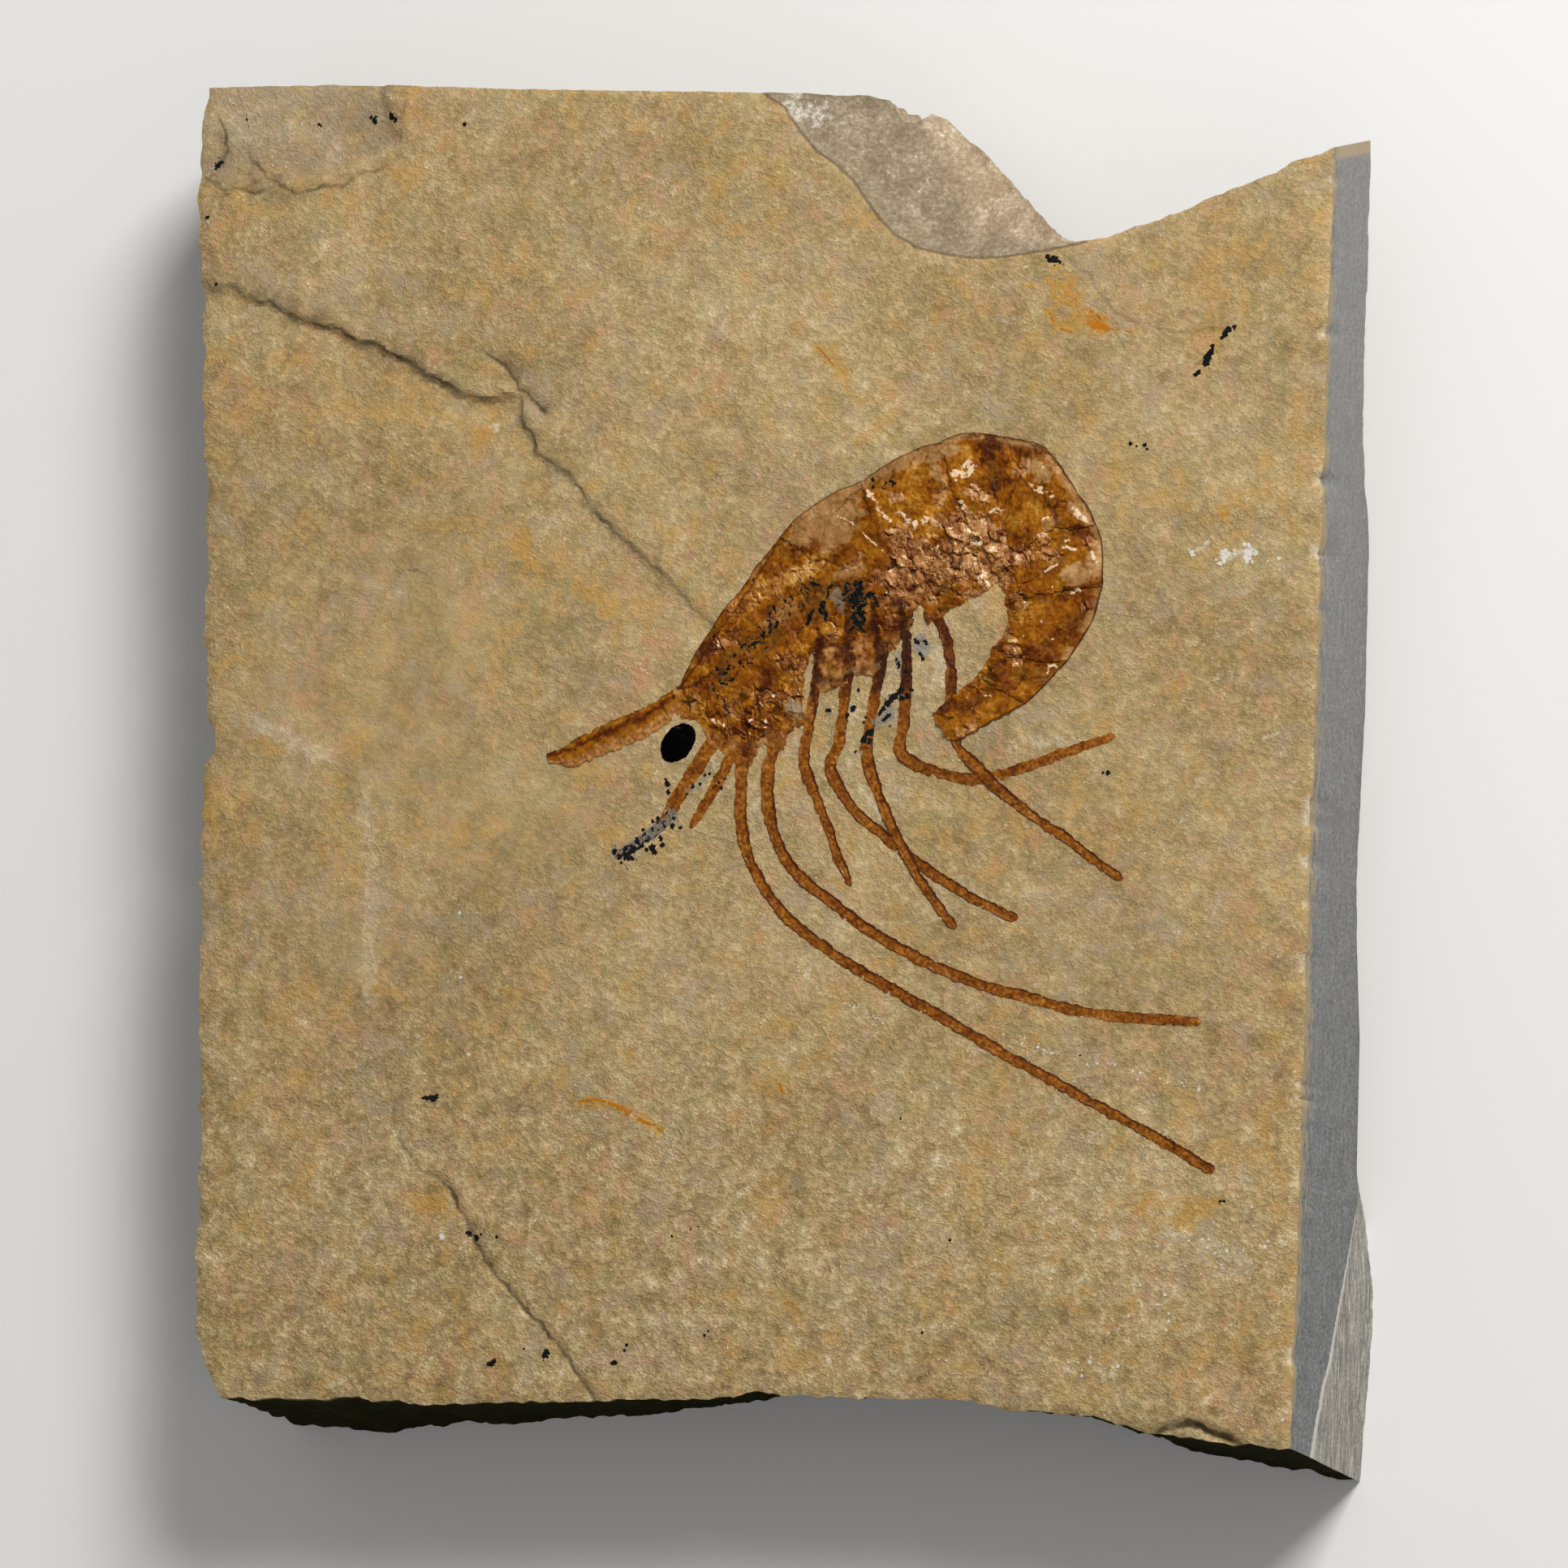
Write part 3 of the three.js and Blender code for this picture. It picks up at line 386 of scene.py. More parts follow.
slabShape = {
    "face": 17.0,
    "cell": 0.42,
    "size": (101, 112),  # across and along, for widths near the edges
    "wallRows": 16,
    "leftEdge": [  # y, x
        (-54.5, -44.9), (-52.8, -46.0), (-51.2, -47.0), (-49.0, -47.5), (-44.8, -47.7), (-32.3, -47.9),
        (-25.3, -48.2),
        (-19.8, -48.6), (-11.4, -48.8), (-5.8, -48.9), (-2.0, -49.2), (-0.2, -49.0), (0.8, -48.2),
        (2.6, -48.4), (3.6, -48.9),
        (6.8, -49.2), (10.4, -49.5), (16.7, -49.4), (21.6, -49.9), (25.1, -49.9), (28.7, -50.5),
        (32.9, -50.5),
        (36.8, -51.0), (39.3, -50.9), (42.1, -51.2), (44.9, -51.5), (47.8, -51.9), (51.0, -52.0),
        (54.4, -52.3), (56.6, -52.15), (58.8, -51.9),
    ],
    "rightEdge": 50.7,
    "bottomEdge": [
        (-44.9, -54.5), (-42.8, -54.6), (-40.6, -54.7), (-36.9, -54.5), (-32.4, -54.4), (-26.5, -54.9),
        (-20.6, -54.6), (-13.2, -54.4), (-8.9, -54.2),
        (-3.0, -54.0), (1.3, -53.7), (4.2, -53.3), (6.0, -53.4), (8.5, -53.6), (14.3, -53.6), (17.2, -53.7),
        (20.1, -53.5), (22.9, -53.8),
        (25.8, -54.3), (28.7, -54.5), (31.5, -54.6), (34.4, -55.0), (37.2, -55.7), (39.4, -56.2),
        (41.5, -56.4), (44.3, -56.7), (47.2, -57.0), (50.7, -57.1),
    ],
    "topEdge": [
        (-51.3, 58.8), (-40.4, 58.8), (-22.4, 57.9), (-1.7, 57.2), (6.8, 57.0), (9.4, 57.0), (10.2, 56.8),
        (11.3, 54.9), (12.2, 54.9),
        (13.6, 55.7), (14.9, 55.3), (16.8, 53.5), (18.0, 52.5), (19.9, 50.6), (21.5, 48.9), (22.9, 47.9),
        (24.4, 46.5), (26.2, 44.9),
        (28.3, 43.8), (30.8, 44.2), (33.6, 45.0), (36.5, 46.0), (39.3, 47.1), (42.1, 48.1), (44.9, 49.2),
        (47.7, 50.4), (50.7, 51.5),
    ],
    # how far each side stands out at its foot, and the height of its lower edge
    "bottomFlare": [(-45, 1.4), (-36, 2), (-28, 0.8), (-10, 0.1), (0, -0.8), (8, -1.6), (20, -1.6),
        (28, -0.4), (36, 0.9), (45, 1.2), (50.7, 1.8)],
    "bottomFoot": [(-45, 0), (-6, 0), (2, 3), (10, 6), (20, 6), (27, 3), (34, 0), (50.7, 0)],
    "rightFlare": [(-57.1, 0.9), (-51.6, 1.3), (-46, 1.55), (-43.4, 1.5), (-40.7, 1.2), (-38, 0.75),
        (-35.5, 0.7), (51.5, 0.7)],
    "rightFoot": [
        (-57.1, 0), (-37.6, 0), (-35.5, 1.5), (-32.9, 3.4), (-22, 3.7), (-14, 5.2), (-8.6, 5.9), (-3, 5.6),
        (5.2, 5.1),
        (18.9, 5.5), (21.6, 6), (24.2, 7.2), (29.5, 8.3), (35, 8.7), (40.5, 8.4), (51.5, 8.7),
    ],
    "topFlare": [(11, 0), (13.5, -1.4), (25, -1.5), (28, -0.2), (30, 0.1), (38, 0.1), (47, 0.8),
        (50.7, 1.9)],
    "topFoot": [(-51.7, 0), (0, 0), (12, 2), (28, 6), (50.7, 8.7)],
    "sawLine": [(-57.1, 12.6), (-51.9, 10.6), (-48.7, 9), (-43.8, 7), (-35.5, 3.6), (-32.9, 4.1)],
    "sawEnd": -32.9,  # the facet lies below this y
    "sawRim": 0.7,
    "footSlope": 2.2,
    # the large chip: its fresh edge on the face, and how deep it is at a distance from that edge
    "chipStart": [
        (-1.4, 58.2), (0.1, 56.8), (1.7, 55.9), (3.2, 53.8), (4.8, 52.0), (6.6, 50.8), (8.2, 49.4),
        (9.3, 47.9),
        (10.5, 46.4), (12.0, 44.8), (14.2, 43.6), (16.4, 43.0), (19.3, 42.6), (22.2, 42.7), (25.8, 43.2),
        (28.4, 43.7), (33, 44.6),
    ],
    "chipDepth": [(0, 0), (0.5, 0.6), (1.5, 1.6), (3.2, 2.5), (5, 3.4), (7, 4.7), (9, 6.2), (14, 7)],
    # the pale part starts here
    "chipRidge": [(12.3, 55.9), (13.8, 53.6), (15.4, 50.8), (17.3, 47.3), (19.2, 45.2), (25.8, 43.7)],
    # along the fresh edge
    "chipFade": [(0, 0.3), (0.2, 0.62), (0.42, 1.0), (0.75, 1.0), (0.93, 0.7), (1, 0.3)],
    "chipReach": {"left": -2, "right": 29.5, "low": 42},
    "chipSide": (10, 28),  # where the fresh break goes down the end of the slab
    "chipHollow": [(11.2, 56.2), (10.2, 54.2), (8.8, 52.6), (8.6, 50.6)],
    # the step in the bedding from the left edge to the head; the ground left of its run is higher
    "step": [
        (-53, 41.6), (-50.4, 41.2), (-47.3, 40.6), (-45.2, 39.8), (-41.7, 38.4), (-38, 37.1), (-35.8, 36.2),
        (-32.3, 34.7), (-29.8, 33.4), (-28.1, 32.4),
        (-26.4, 31.6), (-24.2, 31), (-22.6, 31.5), (-21.4, 31.2), (-20.9, 30.4), (-20.7, 28.9),
        (-19.6, 26.7), (-16.8, 24.6), (-15.2, 22.8),
        (-13.1, 20.5), (-10.9, 18.8), (-8.8, 16.9), (-6.6, 15.0), (-4.7, 12.9), (-2.9, 11.7),
    ],
    "stepDrop": [(0, 0.2), (0.08, 0.3), (0.18, 0.5), (0.5, 0.55), (0.62, 0.4), (0.8, 0.22), (1, 0.1)],
    "stepRun": [(0, 1), (0.4, 1), (1.4, 0.72), (3, 0.35), (6, 0)],
    # how dark the step line is along its run: a stain, with painted shade of the step's wall
    "stepDark": [(0, 0.2), (0.08, 0.3), (0.16, 0.85), (0.3, 1), (0.6, 0.9), (0.85, 0.75), (1, 0.5)],
    "lowerDark": [(0, 0.5), (0.15, 0.6), (0.25, 0.35), (0.32, 0.9), (0.6, 0.85), (0.8, 1), (1, 0.9)],
    "branch": [(-25.1, 35.5), (-23.2, 34.3), (-22.2, 33.4), (-21.2, 32.0), (-19.6, 30.5), (-18.9, 29.8)],
    "lowerCrack": [
        (-30.6, -27.5), (-30.2, -30.1), (-29.4, -32.6), (-27.9, -34.5), (-25.6, -35.8), (-24.5, -36.9),
        (-22.9, -39.2), (-22.1, -41.3),
        (-19.8, -44.1), (-17.2, -46.8), (-15.4, -48.5), (-13.8, -50), (-12.2, -52.3), (-10.9, -54.2),
        (-10.2, -55.6),
    ],
    "flake": [(38.7, -56.1), (40.1, -55.5), (41.5, -55.2), (43.0, -55.5), (44.6, -56.2), (46.0, -56.7)],
    # thin dark lines: strength, points; the first five follow the corner scar's edges, partly cracks and
    # partly painted shadow
    "seams": [
        (0.75, [(-51.7, 50.7), (-50.5, 50.4), (-49.2, 49.7), (-47.6, 49.6), (-45.5, 49.3)]),
        (0.8, [(-50.8, 56.3), (-49.7, 54.5), (-49.5, 53), (-50.4, 51.6)]),
        (0.75, [(-47.7, 53), (-46.3, 51.4), (-44.9, 50.3), (-43.7, 49.6), (-42.3, 49)]),
        (0.6, [(-42.3, 49), (-40.8, 49.6), (-38.9, 49.8), (-37.1, 50.7), (-34.8, 51.2)]),
        (0.5, [(-33, 57.3), (-33.1, 55.2), (-33.3, 53.5)]),
        (0.5, [(-5.0, -38.7), (-3.4, -38.2), (-2.1, -38.6)]), (0.5, [(0.6, -36.4), (2.4, -35.4)]),
        (0.55, [(-31, 16.4), (-29.4, 16.1)]),
        (0.4, [(27.5, 42.8), (29.8, 40.9), (32, 37.7), (36.1, 36.3), (39, 36), (42.4, 36.3)]),
    ],
    "cornerScar": [
        (-54, 50.0), (-50.6, 49.9), (-47.7, 49.5), (-44.6, 49.2), (-41.6, 49.7), (-37.9, 51.1),
        (-34.2, 52.1),
        (-32.8, 53.4), (-33.6, 55.2), (-34.5, 57.4), (-34.8, 60.5),
    ],
    # y, size
    "nicks": [(23.6, 1.1), (17.4, 0.8), (-3.6, 0.9), (-5.0, 0.6), (-8.4, 0.7), (-16.8, 1.0), (-49.2, 1.0),
        (36, 0.5), (-27, 0.5)],
}

# Marks on the stone and the shell. View points are places across and down in the main view.

# stains on the stone: half width in millimetres, strength, view points
stoneStains = {
    "rust": [
        (0.9, 0.7, [(1290, 345), (1325, 375), (1345, 400)]), (0.55, 0.95, [(1350, 392), (1368, 405)]),
        (0.22, 0.7, [(1403, 407)]), (0.4, 0.55, [(1506, 635)]),
        (0.24, 0.7, [(713, 1357), (768, 1364), (795, 1383), (816, 1392)]),
        (1.2, 0.35, [(600, 500), (640, 550)]), (0.8, 0.5, [(595, 535)]),
        (0.9, 0.5, [(635, 650), (655, 700)]), (0.9, 0.5, [(715, 730), (760, 755)]),
        (1.9, 0.3, [(560, 640), (700, 700), (800, 760)]), (1.5, 0.35, [(1400, 1480), (1480, 1490)]),
        (2, 0.3, [(410, 960), (430, 1080)]), (1, 0.45, [(520, 1480), (550, 1495)]),
        (0.5, 0.45, [(1025, 420), (1055, 500)]), (0.4, 0.4, [(1195, 210), (1215, 228)]),
        (1.2, 0.3, [(500, 470), (560, 520)]), (1.4, 0.25, [(1180, 1340), (1300, 1420)]),
        (1.6, 0.25, [(640, 1130), (720, 1150)]),
    ],
    "chalk": [
        (0.25, 0.7, [(1475, 679), (1489, 668)]), (0.45, 0.85, [(1508, 685), (1537, 681)]),
        (0.25, 0.6, [(1553, 907), (1578, 905)]), (0.9, 0.5, [(310, 885), (345, 905), (400, 930)]),
        (0.9, 0.4, [(452, 980), (458, 1080), (452, 1230)]), (0.4, 0.5, [(975, 875), (990, 885)]),
        (0.6, 0.45, [(935, 900), (955, 920)]), (0.5, 0.4, [(932, 990), (945, 1022)]),
        (0.6, 0.5, [(1262, 912), (1300, 914), (1338, 918)]), (0.5, 0.4, [(1350, 1680), (1370, 1695)]),
        (0.7, 0.35, [(800, 1090), (850, 1120)]), (1.1, 0.4, [(975, 130), (1005, 140)]),
        (0.6, 0.35, [(1500, 830), (1560, 850)]), (0.7, 0.35, [(1480, 1530), (1550, 1560)]),
        (0.6, 0.4, [(1260, 1140), (1215, 1120)]), (0.5, 0.45, [(1175, 1075), (1220, 1120)]),
        (0.5, 0.35, [(1150, 790), (1155, 830)]),
    ],
    "blush": [
        (1.1, 0.6, [(785, 845), (800, 805), (830, 795)]), (0.9, 0.55, [(800, 790), (835, 765), (868, 745)]),
        (0.5, 0.6, [(1012, 805), (1035, 850)]), (0.45, 0.5, [(1062, 785), (1062, 820)]),
        (0.5, 0.55, [(1092, 795), (1104, 765)]), (0.7, 0.6, [(1132, 905), (1168, 920)]),
        (0.8, 0.5, [(1240, 755), (1225, 790)]), (1.2, 0.35, [(1420, 1690), (1500, 1720)]),
        (1.5, 0.3, [(440, 1180), (460, 1260)]), (1.6, 0.3, [(280, 840), (400, 830)]),
        (2.5, 0.3, [(1150, 1230), (1300, 1290)]), (2.2, 0.3, [(950, 1180), (1060, 1230)]),
    ],
    "dusk": [
        (0.35, 0.55, [(1138, 1650), (1172, 1657)]), (0.9, 0.4, [(490, 1220)]), (0.7, 0.35, [(437, 1230)]),
        (1, 0.45, [(620, 1035), (600, 1050)]), (0.8, 0.4, [(605, 1110), (615, 1140)]),
        (0.5, 0.6, [(522, 1350), (532, 1352)]), (0.6, 0.5, [(668, 1660)]), (0.55, 0.5, [(752, 1668)]),
        (0.35, 0.6, [(1478, 450), (1492, 430)]), (0.3, 0.4, [(1508, 405), (1515, 400)]),
        (0.5, 0.35, [(1405, 545), (1418, 550)]), (0.9, 0.3, [(540, 595), (565, 605)]),
        (0.8, 0.35, [(850, 1500), (880, 1495)]), (0.7, 0.3, [(1170, 1440), (1185, 1450)]),
        (0.8, 0.3, [(900, 1610), (930, 1620)]), (1.3, 0.3, [(460, 150), (480, 170)]),
        (0.8, 0.45, [(300, 225), (345, 250)]), (0.5, 0.5, [(263, 355), (275, 360)]),
        (0.6, 0.3, [(790, 1080), (820, 1070), (850, 1075)]), (0.4, 0.4, [(905, 1100), (990, 1090)]),
    ],
}
# crumbs of ink: a view point and a radius in view units; the first of them lie among the legs
inkSpots = [
    (1043, 881, 2.6), (1050, 874, 2.4), (1021, 875, 2.2), (982, 891, 1.8), (977, 888, 1.5),
    (1054, 926, 1.6), (1057, 850, 1.7), (1060, 828, 2.2), (1064, 890, 1.6), (1066, 884, 1.4),
    (1124, 850, 1.4), (822, 966, 2.8), (823, 976, 2.4), (820, 960, 1.6), (868, 955, 1.6), (874, 953, 1.6),
    (880, 957, 1.5), (886, 963, 2.2), (882, 968, 2), (888, 970, 2), (878, 971, 1.6), (893, 960, 1.6),
    (853, 969, 2.2), (862, 966, 1.6), (846, 978, 1.6), (757, 1050, 3), (763, 1056, 2.4), (770, 1046, 2.4),
    (776, 1050, 2), (781, 1043, 2.4), (785, 1035, 3.4), (790, 1041, 2.8), (797, 1034, 3), (803, 1044, 3.6),
    (806, 1050, 2.6), (813, 1033, 2.4), (792, 1022, 1.8), (810, 1008, 2.2), (803, 1012, 2),
    (828, 1018, 2.8), (822, 1003, 2), (830, 1008, 1.8), (765, 1063, 1.5), (772, 1056, 1.6),
    (796, 1047, 1.8), (818, 1012, 1.5), (1297, 317, 2.6), (1291, 315, 1.6), (1521, 403, 2.2),
    (1516, 408, 1.4), (1511, 413, 1.4), (1492, 436, 3.2), (1487, 443, 3), (1476, 458, 1.8),
    (1392, 546, 1.8), (1400, 549, 1.2), (1410, 548, 2.2), (1413, 553, 1.4), (572, 153, 2.2),
    (480, 143, 1.6), (460, 143, 1.6), (388, 151, 1.6), (474, 150, 1.3), (265, 200, 1.6), (254, 268, 1.5),
    (266, 350, 1.5), (529, 1351, 2.4), (521, 1353, 1.6), (586, 1525, 2.6), (592, 1521, 1.5),
    (612, 1524, 1.6), (601, 1680, 1.8), (671, 1667, 2), (674, 1672, 1.4), (756, 1679, 2.2),
    (772, 1657, 1.6), (769, 1664, 1.4), (867, 1645, 1.6), (872, 1640, 1.3), (860, 1513, 1.8),
    (850, 1515, 1.3), (827, 1523, 1.3), (1503, 1480, 1.5), (1365, 952, 2.2), (1359, 952, 1.4),
    (1330, 1300, 1.2), (1109, 1378, 1.2), (645, 1662, 1.2), (1136, 1642, 1.4), (1170, 1528, 1.4),
]
# grey film: half width in view units, strength, view points
ashFilm = [
    (9, 0.75, [(1136, 788), (1136, 802)]), (7, 0.6, [(1088, 884), (1098, 874)]), (5, 0.5, [(1048, 872)]),
    (4, 0.5, [(1018, 868)]), (7, 0.8, [(762, 1050), (790, 1035), (815, 1016), (828, 1005)]),
    (5, 0.5, [(848, 975), (868, 962)]),
]

stoneMarks = {key: layDabs(dabs, slabShape["face"]) for key, dabs in stoneStains.items()}
stoneMarks["specks"] = laySpots(inkSpots, slabShape["face"])
stoneMarks["ash"] = layDabs(ashFilm, slabShape["face"], dabUnit)
# finer marks, placed in millimetres: half width, strength, line
stoneMarks["rust"] += [
    (0.5, 0.6, [(8.5, -10), (9.8, -10.9)]), (0.5, 0.45, [(-13.3, -29), (-10.9, -29), (-8.7, -29.9)]),
    (0.5, 0.45, [(-7.7, -30.5), (-5.8, -31.3)]),
    (0.7, 0.9, [(29.6, 37), (31.2, 36.6)]), (1.7, 0.6, [(26.6, 40.2), (28.0, 38.6), (28.8, 37.4)]),
    (0.5, 0.6, [(26.1, 37.9), (26.8, 36.8), (28.2, 36.2)]),
    (0.3, 0.6, [(32.6, 36.4), (33.6, 36.1)]), (0.9, 0.7, [(-25.2, 28.6), (-24.6, 27.2)]),
    (0.6, 0.5, [(5.5, 35.4), (7.3, 33.6), (8.1, 32.2)]),
    (1.5, 0.45, [(-26.8, -37.2), (-25, -38.4)]), (0.3, 0.6, [(4.7, -27.3), (5.1, -28.3)]),
    (1.2, 0.4, [(-15, -26.5), (-14.6, -28)]),
    (0.8, 0.6, [(40.3, -38.8), (41.6, -37.9), (43.2, -37.3)]), (0.7, 0.5, [(37.1, -37.5), (38, -36.4)]),
    (0.5, 1.1, [(42.05, 21), (42.2, 20.4)]),
    (0.5, 0.4, [(40, 16.2), (40.5, 15.7)]), (0.5, 0.4, [(43.2, 13.2), (43.8, 12.8)]),
]
stoneMarks["chalk"] += [
    (0.4, 0.6, [(11.1, -2.3), (12.9, -4.9)]), (0.9, 0.35, [(13, 8.6), (13.1, 6)]),
    (0.6, 0.4, [(-3, 0.1), (-1.3, -0.8)]),
    (1.2, 0.3, [(16.8, 4.3), (16.7, 9)]), (0.9, 0.35, [(5.3, 2.2), (4.4, 0.5), (4.7, -2.6)]),
    (0.8, 0.3, [(7.6, 3.5), (7.4, -0.5)]), (0.9, 0.3, [(10.2, 4.5), (10, -1)]),
    (0.7, 0.3, [(1.4, -1.5), (1.3, -6)]), (0.4, 0.9, [(-23.3, 28.7)]), (0.35, 0.8, [(41.2, 35)]),
    (1.6, 0.4, [(-48.5, 55.5), (-45, 54)]), (1.0, 0.35, [(-41, 54), (-39, 52.5)]),
    (2.0, 0.3, [(21.5, 12.5), (19.5, 10), (18.5, 7.5)]),
]
stoneMarks["ash"] += [
    (0.45, 0.8, [(15.4, 10.1), (16, 10.1)]), (0.5, 0.8, [(15.7, 9.4), (15.9, 9)]),
    (0.55, 0.8, [(13.2, 4), (12.3, 3.1)]), (0.4, 0.6, [(13.8, 9.1), (13.8, 7.5)]),
    (0.55, 0.7, [(-5.6, -4.9), (-6.8, -5.3), (-7.9, -6.4), (-8.9, -7.1), (-10.1, -7.9)]),
]
# most of these dark marks paint shadow along the corner scar's edges and beside the step and its branch
stoneMarks["dusk"] += [
    (0.8, 0.5, [(-51, 50.6), (-47.6, 50), (-44, 49.6)]), (0.8, 0.45, [(-50.2, 55), (-49.9, 52)]),
    (0.6, 0.4, [(-46, 51), (-43.5, 49.5), (-40, 50)]),
    (0.8, 0.5, [(-48, 41.4), (-43.5, 40.2), (-39, 38.4)]), (0.8, 0.35, [(-29.4, 24.3), (-26.3, 23)]),
    (0.9, 0.45, [(-21.6, 34.4), (-20.4, 33)]),
]
stoneMarks["blush"] += [(0.9, 1.0, [(-9.3, 7.8), (-8.6, 6.8), (-8.3, 6.2)])]
rustStrokes = [
    (0.11, [(-13.3, -29), (-12, -28.8), (-10.9, -29), (-10, -29.3), (-9.5, -29.5)]),
    (0.19, [(-9.8, -29.4), (-8.7, -29.9)]),
    (0.17, [(-7.9, -30.4), (-6.8, -30.9), (-5.8, -31.3)]),
    (0.28, [(29.7, 36.9), (30.5, 36.8), (31.2, 36.4)]), (0.07, [(31.6, 36.4), (32.4, 36.3)]),
    (0.06, [(33, 36.2), (33.5, 36.1)]),
    (0.08, [(26.2, 37.8), (26.6, 37.1)]), (0.07, [(27.2, 36.5), (28.2, 36.2)]),
    (0.1, [(29.8, 38), (30.7, 37.4)]), (0.08, [(5.6, 35.2), (7.2, 33.5)]),
    (0.08, [(4.7, -27.3), (5.1, -28.3)]),
]
# ink that runs in strokes: half width and line
stoneStrokes = [
    (0.2, [(40.7, 34.8), (40.6, 34.4)]), (0.34, [(40.5, 34.2), (40.25, 33.8)]),
    (0.3, [(40.2, 33.7), (40, 33.35)]), (0.2, [(39.5, 32.7), (39.3, 32.5)]),
    (0.2, [(42.1, 36.3), (41.5, 35.5)]), (0.3, [(25.8, 42.5), (26.3, 42.3)]),
    (0.16, [(26.5, 42.3), (26.9, 42.1)]), (0.26, [(-34.3, 55.7), (-33.7, 55.4)]),
    (0.22, [(-36.2, 55.7), (-35.9, 55.5)]), (0.14, [(-35.8, 55.2)]), (0.2, [(-50.6, 51.6), (-50.1, 52.2)]),
    (0.24, [(-27.2, -28.8), (-26.3, -28.8)]),
    (0.18, [(-23, -40.2), (-22.3, -40.5)]), (0.13, [(-41.1, 55.2)]), (0.15, [(-50.8, 47.2)]),
    (0.16, [(-48, 55.9)]),
    (0.16, [(15.3, 10.2), (15.6, 9.9)]), (0.2, [(15.8, 9), (16, 8.6)]), (0.14, [(16.2, 10.1), (16.3, 9.9)]),
    (0.26, [(14.2, 6), (13.7, 5.4)]),
    (0.24, [(13.5, 5.3), (13, 4.7)]), (0.16, [(12.8, 4.5), (12.4, 3.9)]), (0.13, [(13.3, 3.9), (12.7, 3.4)]),
    (0.3, [(11.8, 2.5), (11.3, 2)]),
    (0.24, [(11.3, 2), (10.9, 1.6)]), (0.16, [(9.9, 4.5), (10.2, 4.6)]), (0.15, [(7.6, 4.3), (7.9, 4.1)]),
    (0.12, [(10, 7.4), (10.6, 7.3)]), (0.12, [(13.7, 8.6), (14, 7.9)]),
    (0.28, [(-9.7, -7.9), (-8.9, -7.2)]), (0.2, [(-9.9, -8.2), (-9.3, -8.3)]), (0.22, [(-6.6, -7.2)]),
    (0.2, [(-5.1, -5.6)]),
    (0.2, [(43.9, -36.9), (44.2, -36.8)]), (0.2, [(-15.5, -50.6), (-15.3, -50.2)]),
    (0.2, [(-20.5, -51.3), (-20.1, -51.1)]), (0.18, [(-9.4, -51.1), (-9, -51)]),
]


def torn(x, y):  # the wander of the torn edges
    return x + 0.3 * crumbs(x, y, 1.7, 71, 3, 0.6), y + 0.3 * crumbs(x, y, 1.7, 75, 3, 0.6)


def groundHeight(x, y):
    g = slabShape
    z = (
        0.11 * noise(x, y, 17, 3) + 0.05 * crumbs(x, y, 6, 11, 2) + 0.028 * crumbs(x, y, 2.3, 31, 3, 0.55)
        - 0.12
    )
    z = z + 0.035 * ease((-y - 6) / 25) * crumbs(x, y, 2.4, 35, 3, 0.7)
    # low flaked patches with a small lip, as thin bedding leaves them
    for size, seed, drop in ((9.0, 51, 0.07), (4.5, 61, 0.06), (2.2, 65, 0.045)):
        field = crumbs(x, y, size, seed, 4, 0.55)
        z = z - drop * ease((field - 0.28) / 0.09) + 0.3 * drop * ease((field + 0.35) / 0.08)
    far, side, share = nearLine(*torn(x, y), g["step"])
    drop = level(g["stepDrop"], share)
    low = ease((0.15 - far * side) / 0.5)
    z = z - drop * low * level(g["stepRun"], far) + 0.2 * drop * (1 - low) * np.exp(-(far / 1.2) ** 2)
    for line, deep, wide, fall in ((g["branch"], 0.30, 0.4, 0.15), (g["lowerCrack"], 0.2, 0.3, 0.05),
            (g["flake"], 0.3, 0.4, 0.35)):
        far, side, share = nearLine(*torn(x, y), line)
        fade = ease(share / 0.3) * ease((1 - share) / 0.1 + 0.4)
        z = z - deep * fade * np.exp(-(far / wide) ** 2) - fall * fade * (side < 0) * np.exp(-far / 1.6)
    far, side = nearLine(x, y, g["cornerScar"])[:2]
    z = (
        z
        - np.where(side > 0, 0.45 * ease(far / 1.1) + 0.09 * np.minimum(far, 8)
            + 0.10 * crumbs(x, y, 3, 81, 3), 0)
    )
    return np.minimum(g["face"] + z, g["face"] + 0.12)


def chipCut(x, y, z):
    far, side, share = nearLine(x, y, slabShape["chipStart"])
    reach = slabShape["chipReach"]
    inside = (side > 0) & (y > reach["low"]) & (x > reach["left"]) & (x < reach["right"])
    deep = level(slabShape["chipDepth"], far) * level(slabShape["chipFade"], share)
    ripple = 0.16 * noise(far * 1.6, share * 34, 1.6, 91) + 0.14 * crumbs(x, y, 2.2, 95, 3)
    hollow = nearLine(x, y, slabShape["chipHollow"])[0]
    cut = (
        slabShape["face"] - 0.1 - deep + ripple * ease(far / 1.5)
        - 0.5 * np.exp(-(hollow / 1.4) ** 2) * ease(far / 1.5)
    )
    return np.where(inside, np.minimum(z, cut), z), inside, far


def snapTo(x, y, line, reach):  # moves close points onto a line, so that its edge is crisp
    far, _, share = nearLine(x, y, line)
    spot = along(line, share)
    pull = far < reach
    return np.where(pull, spot[..., 0], x), np.where(pull, spot[..., 1], y)


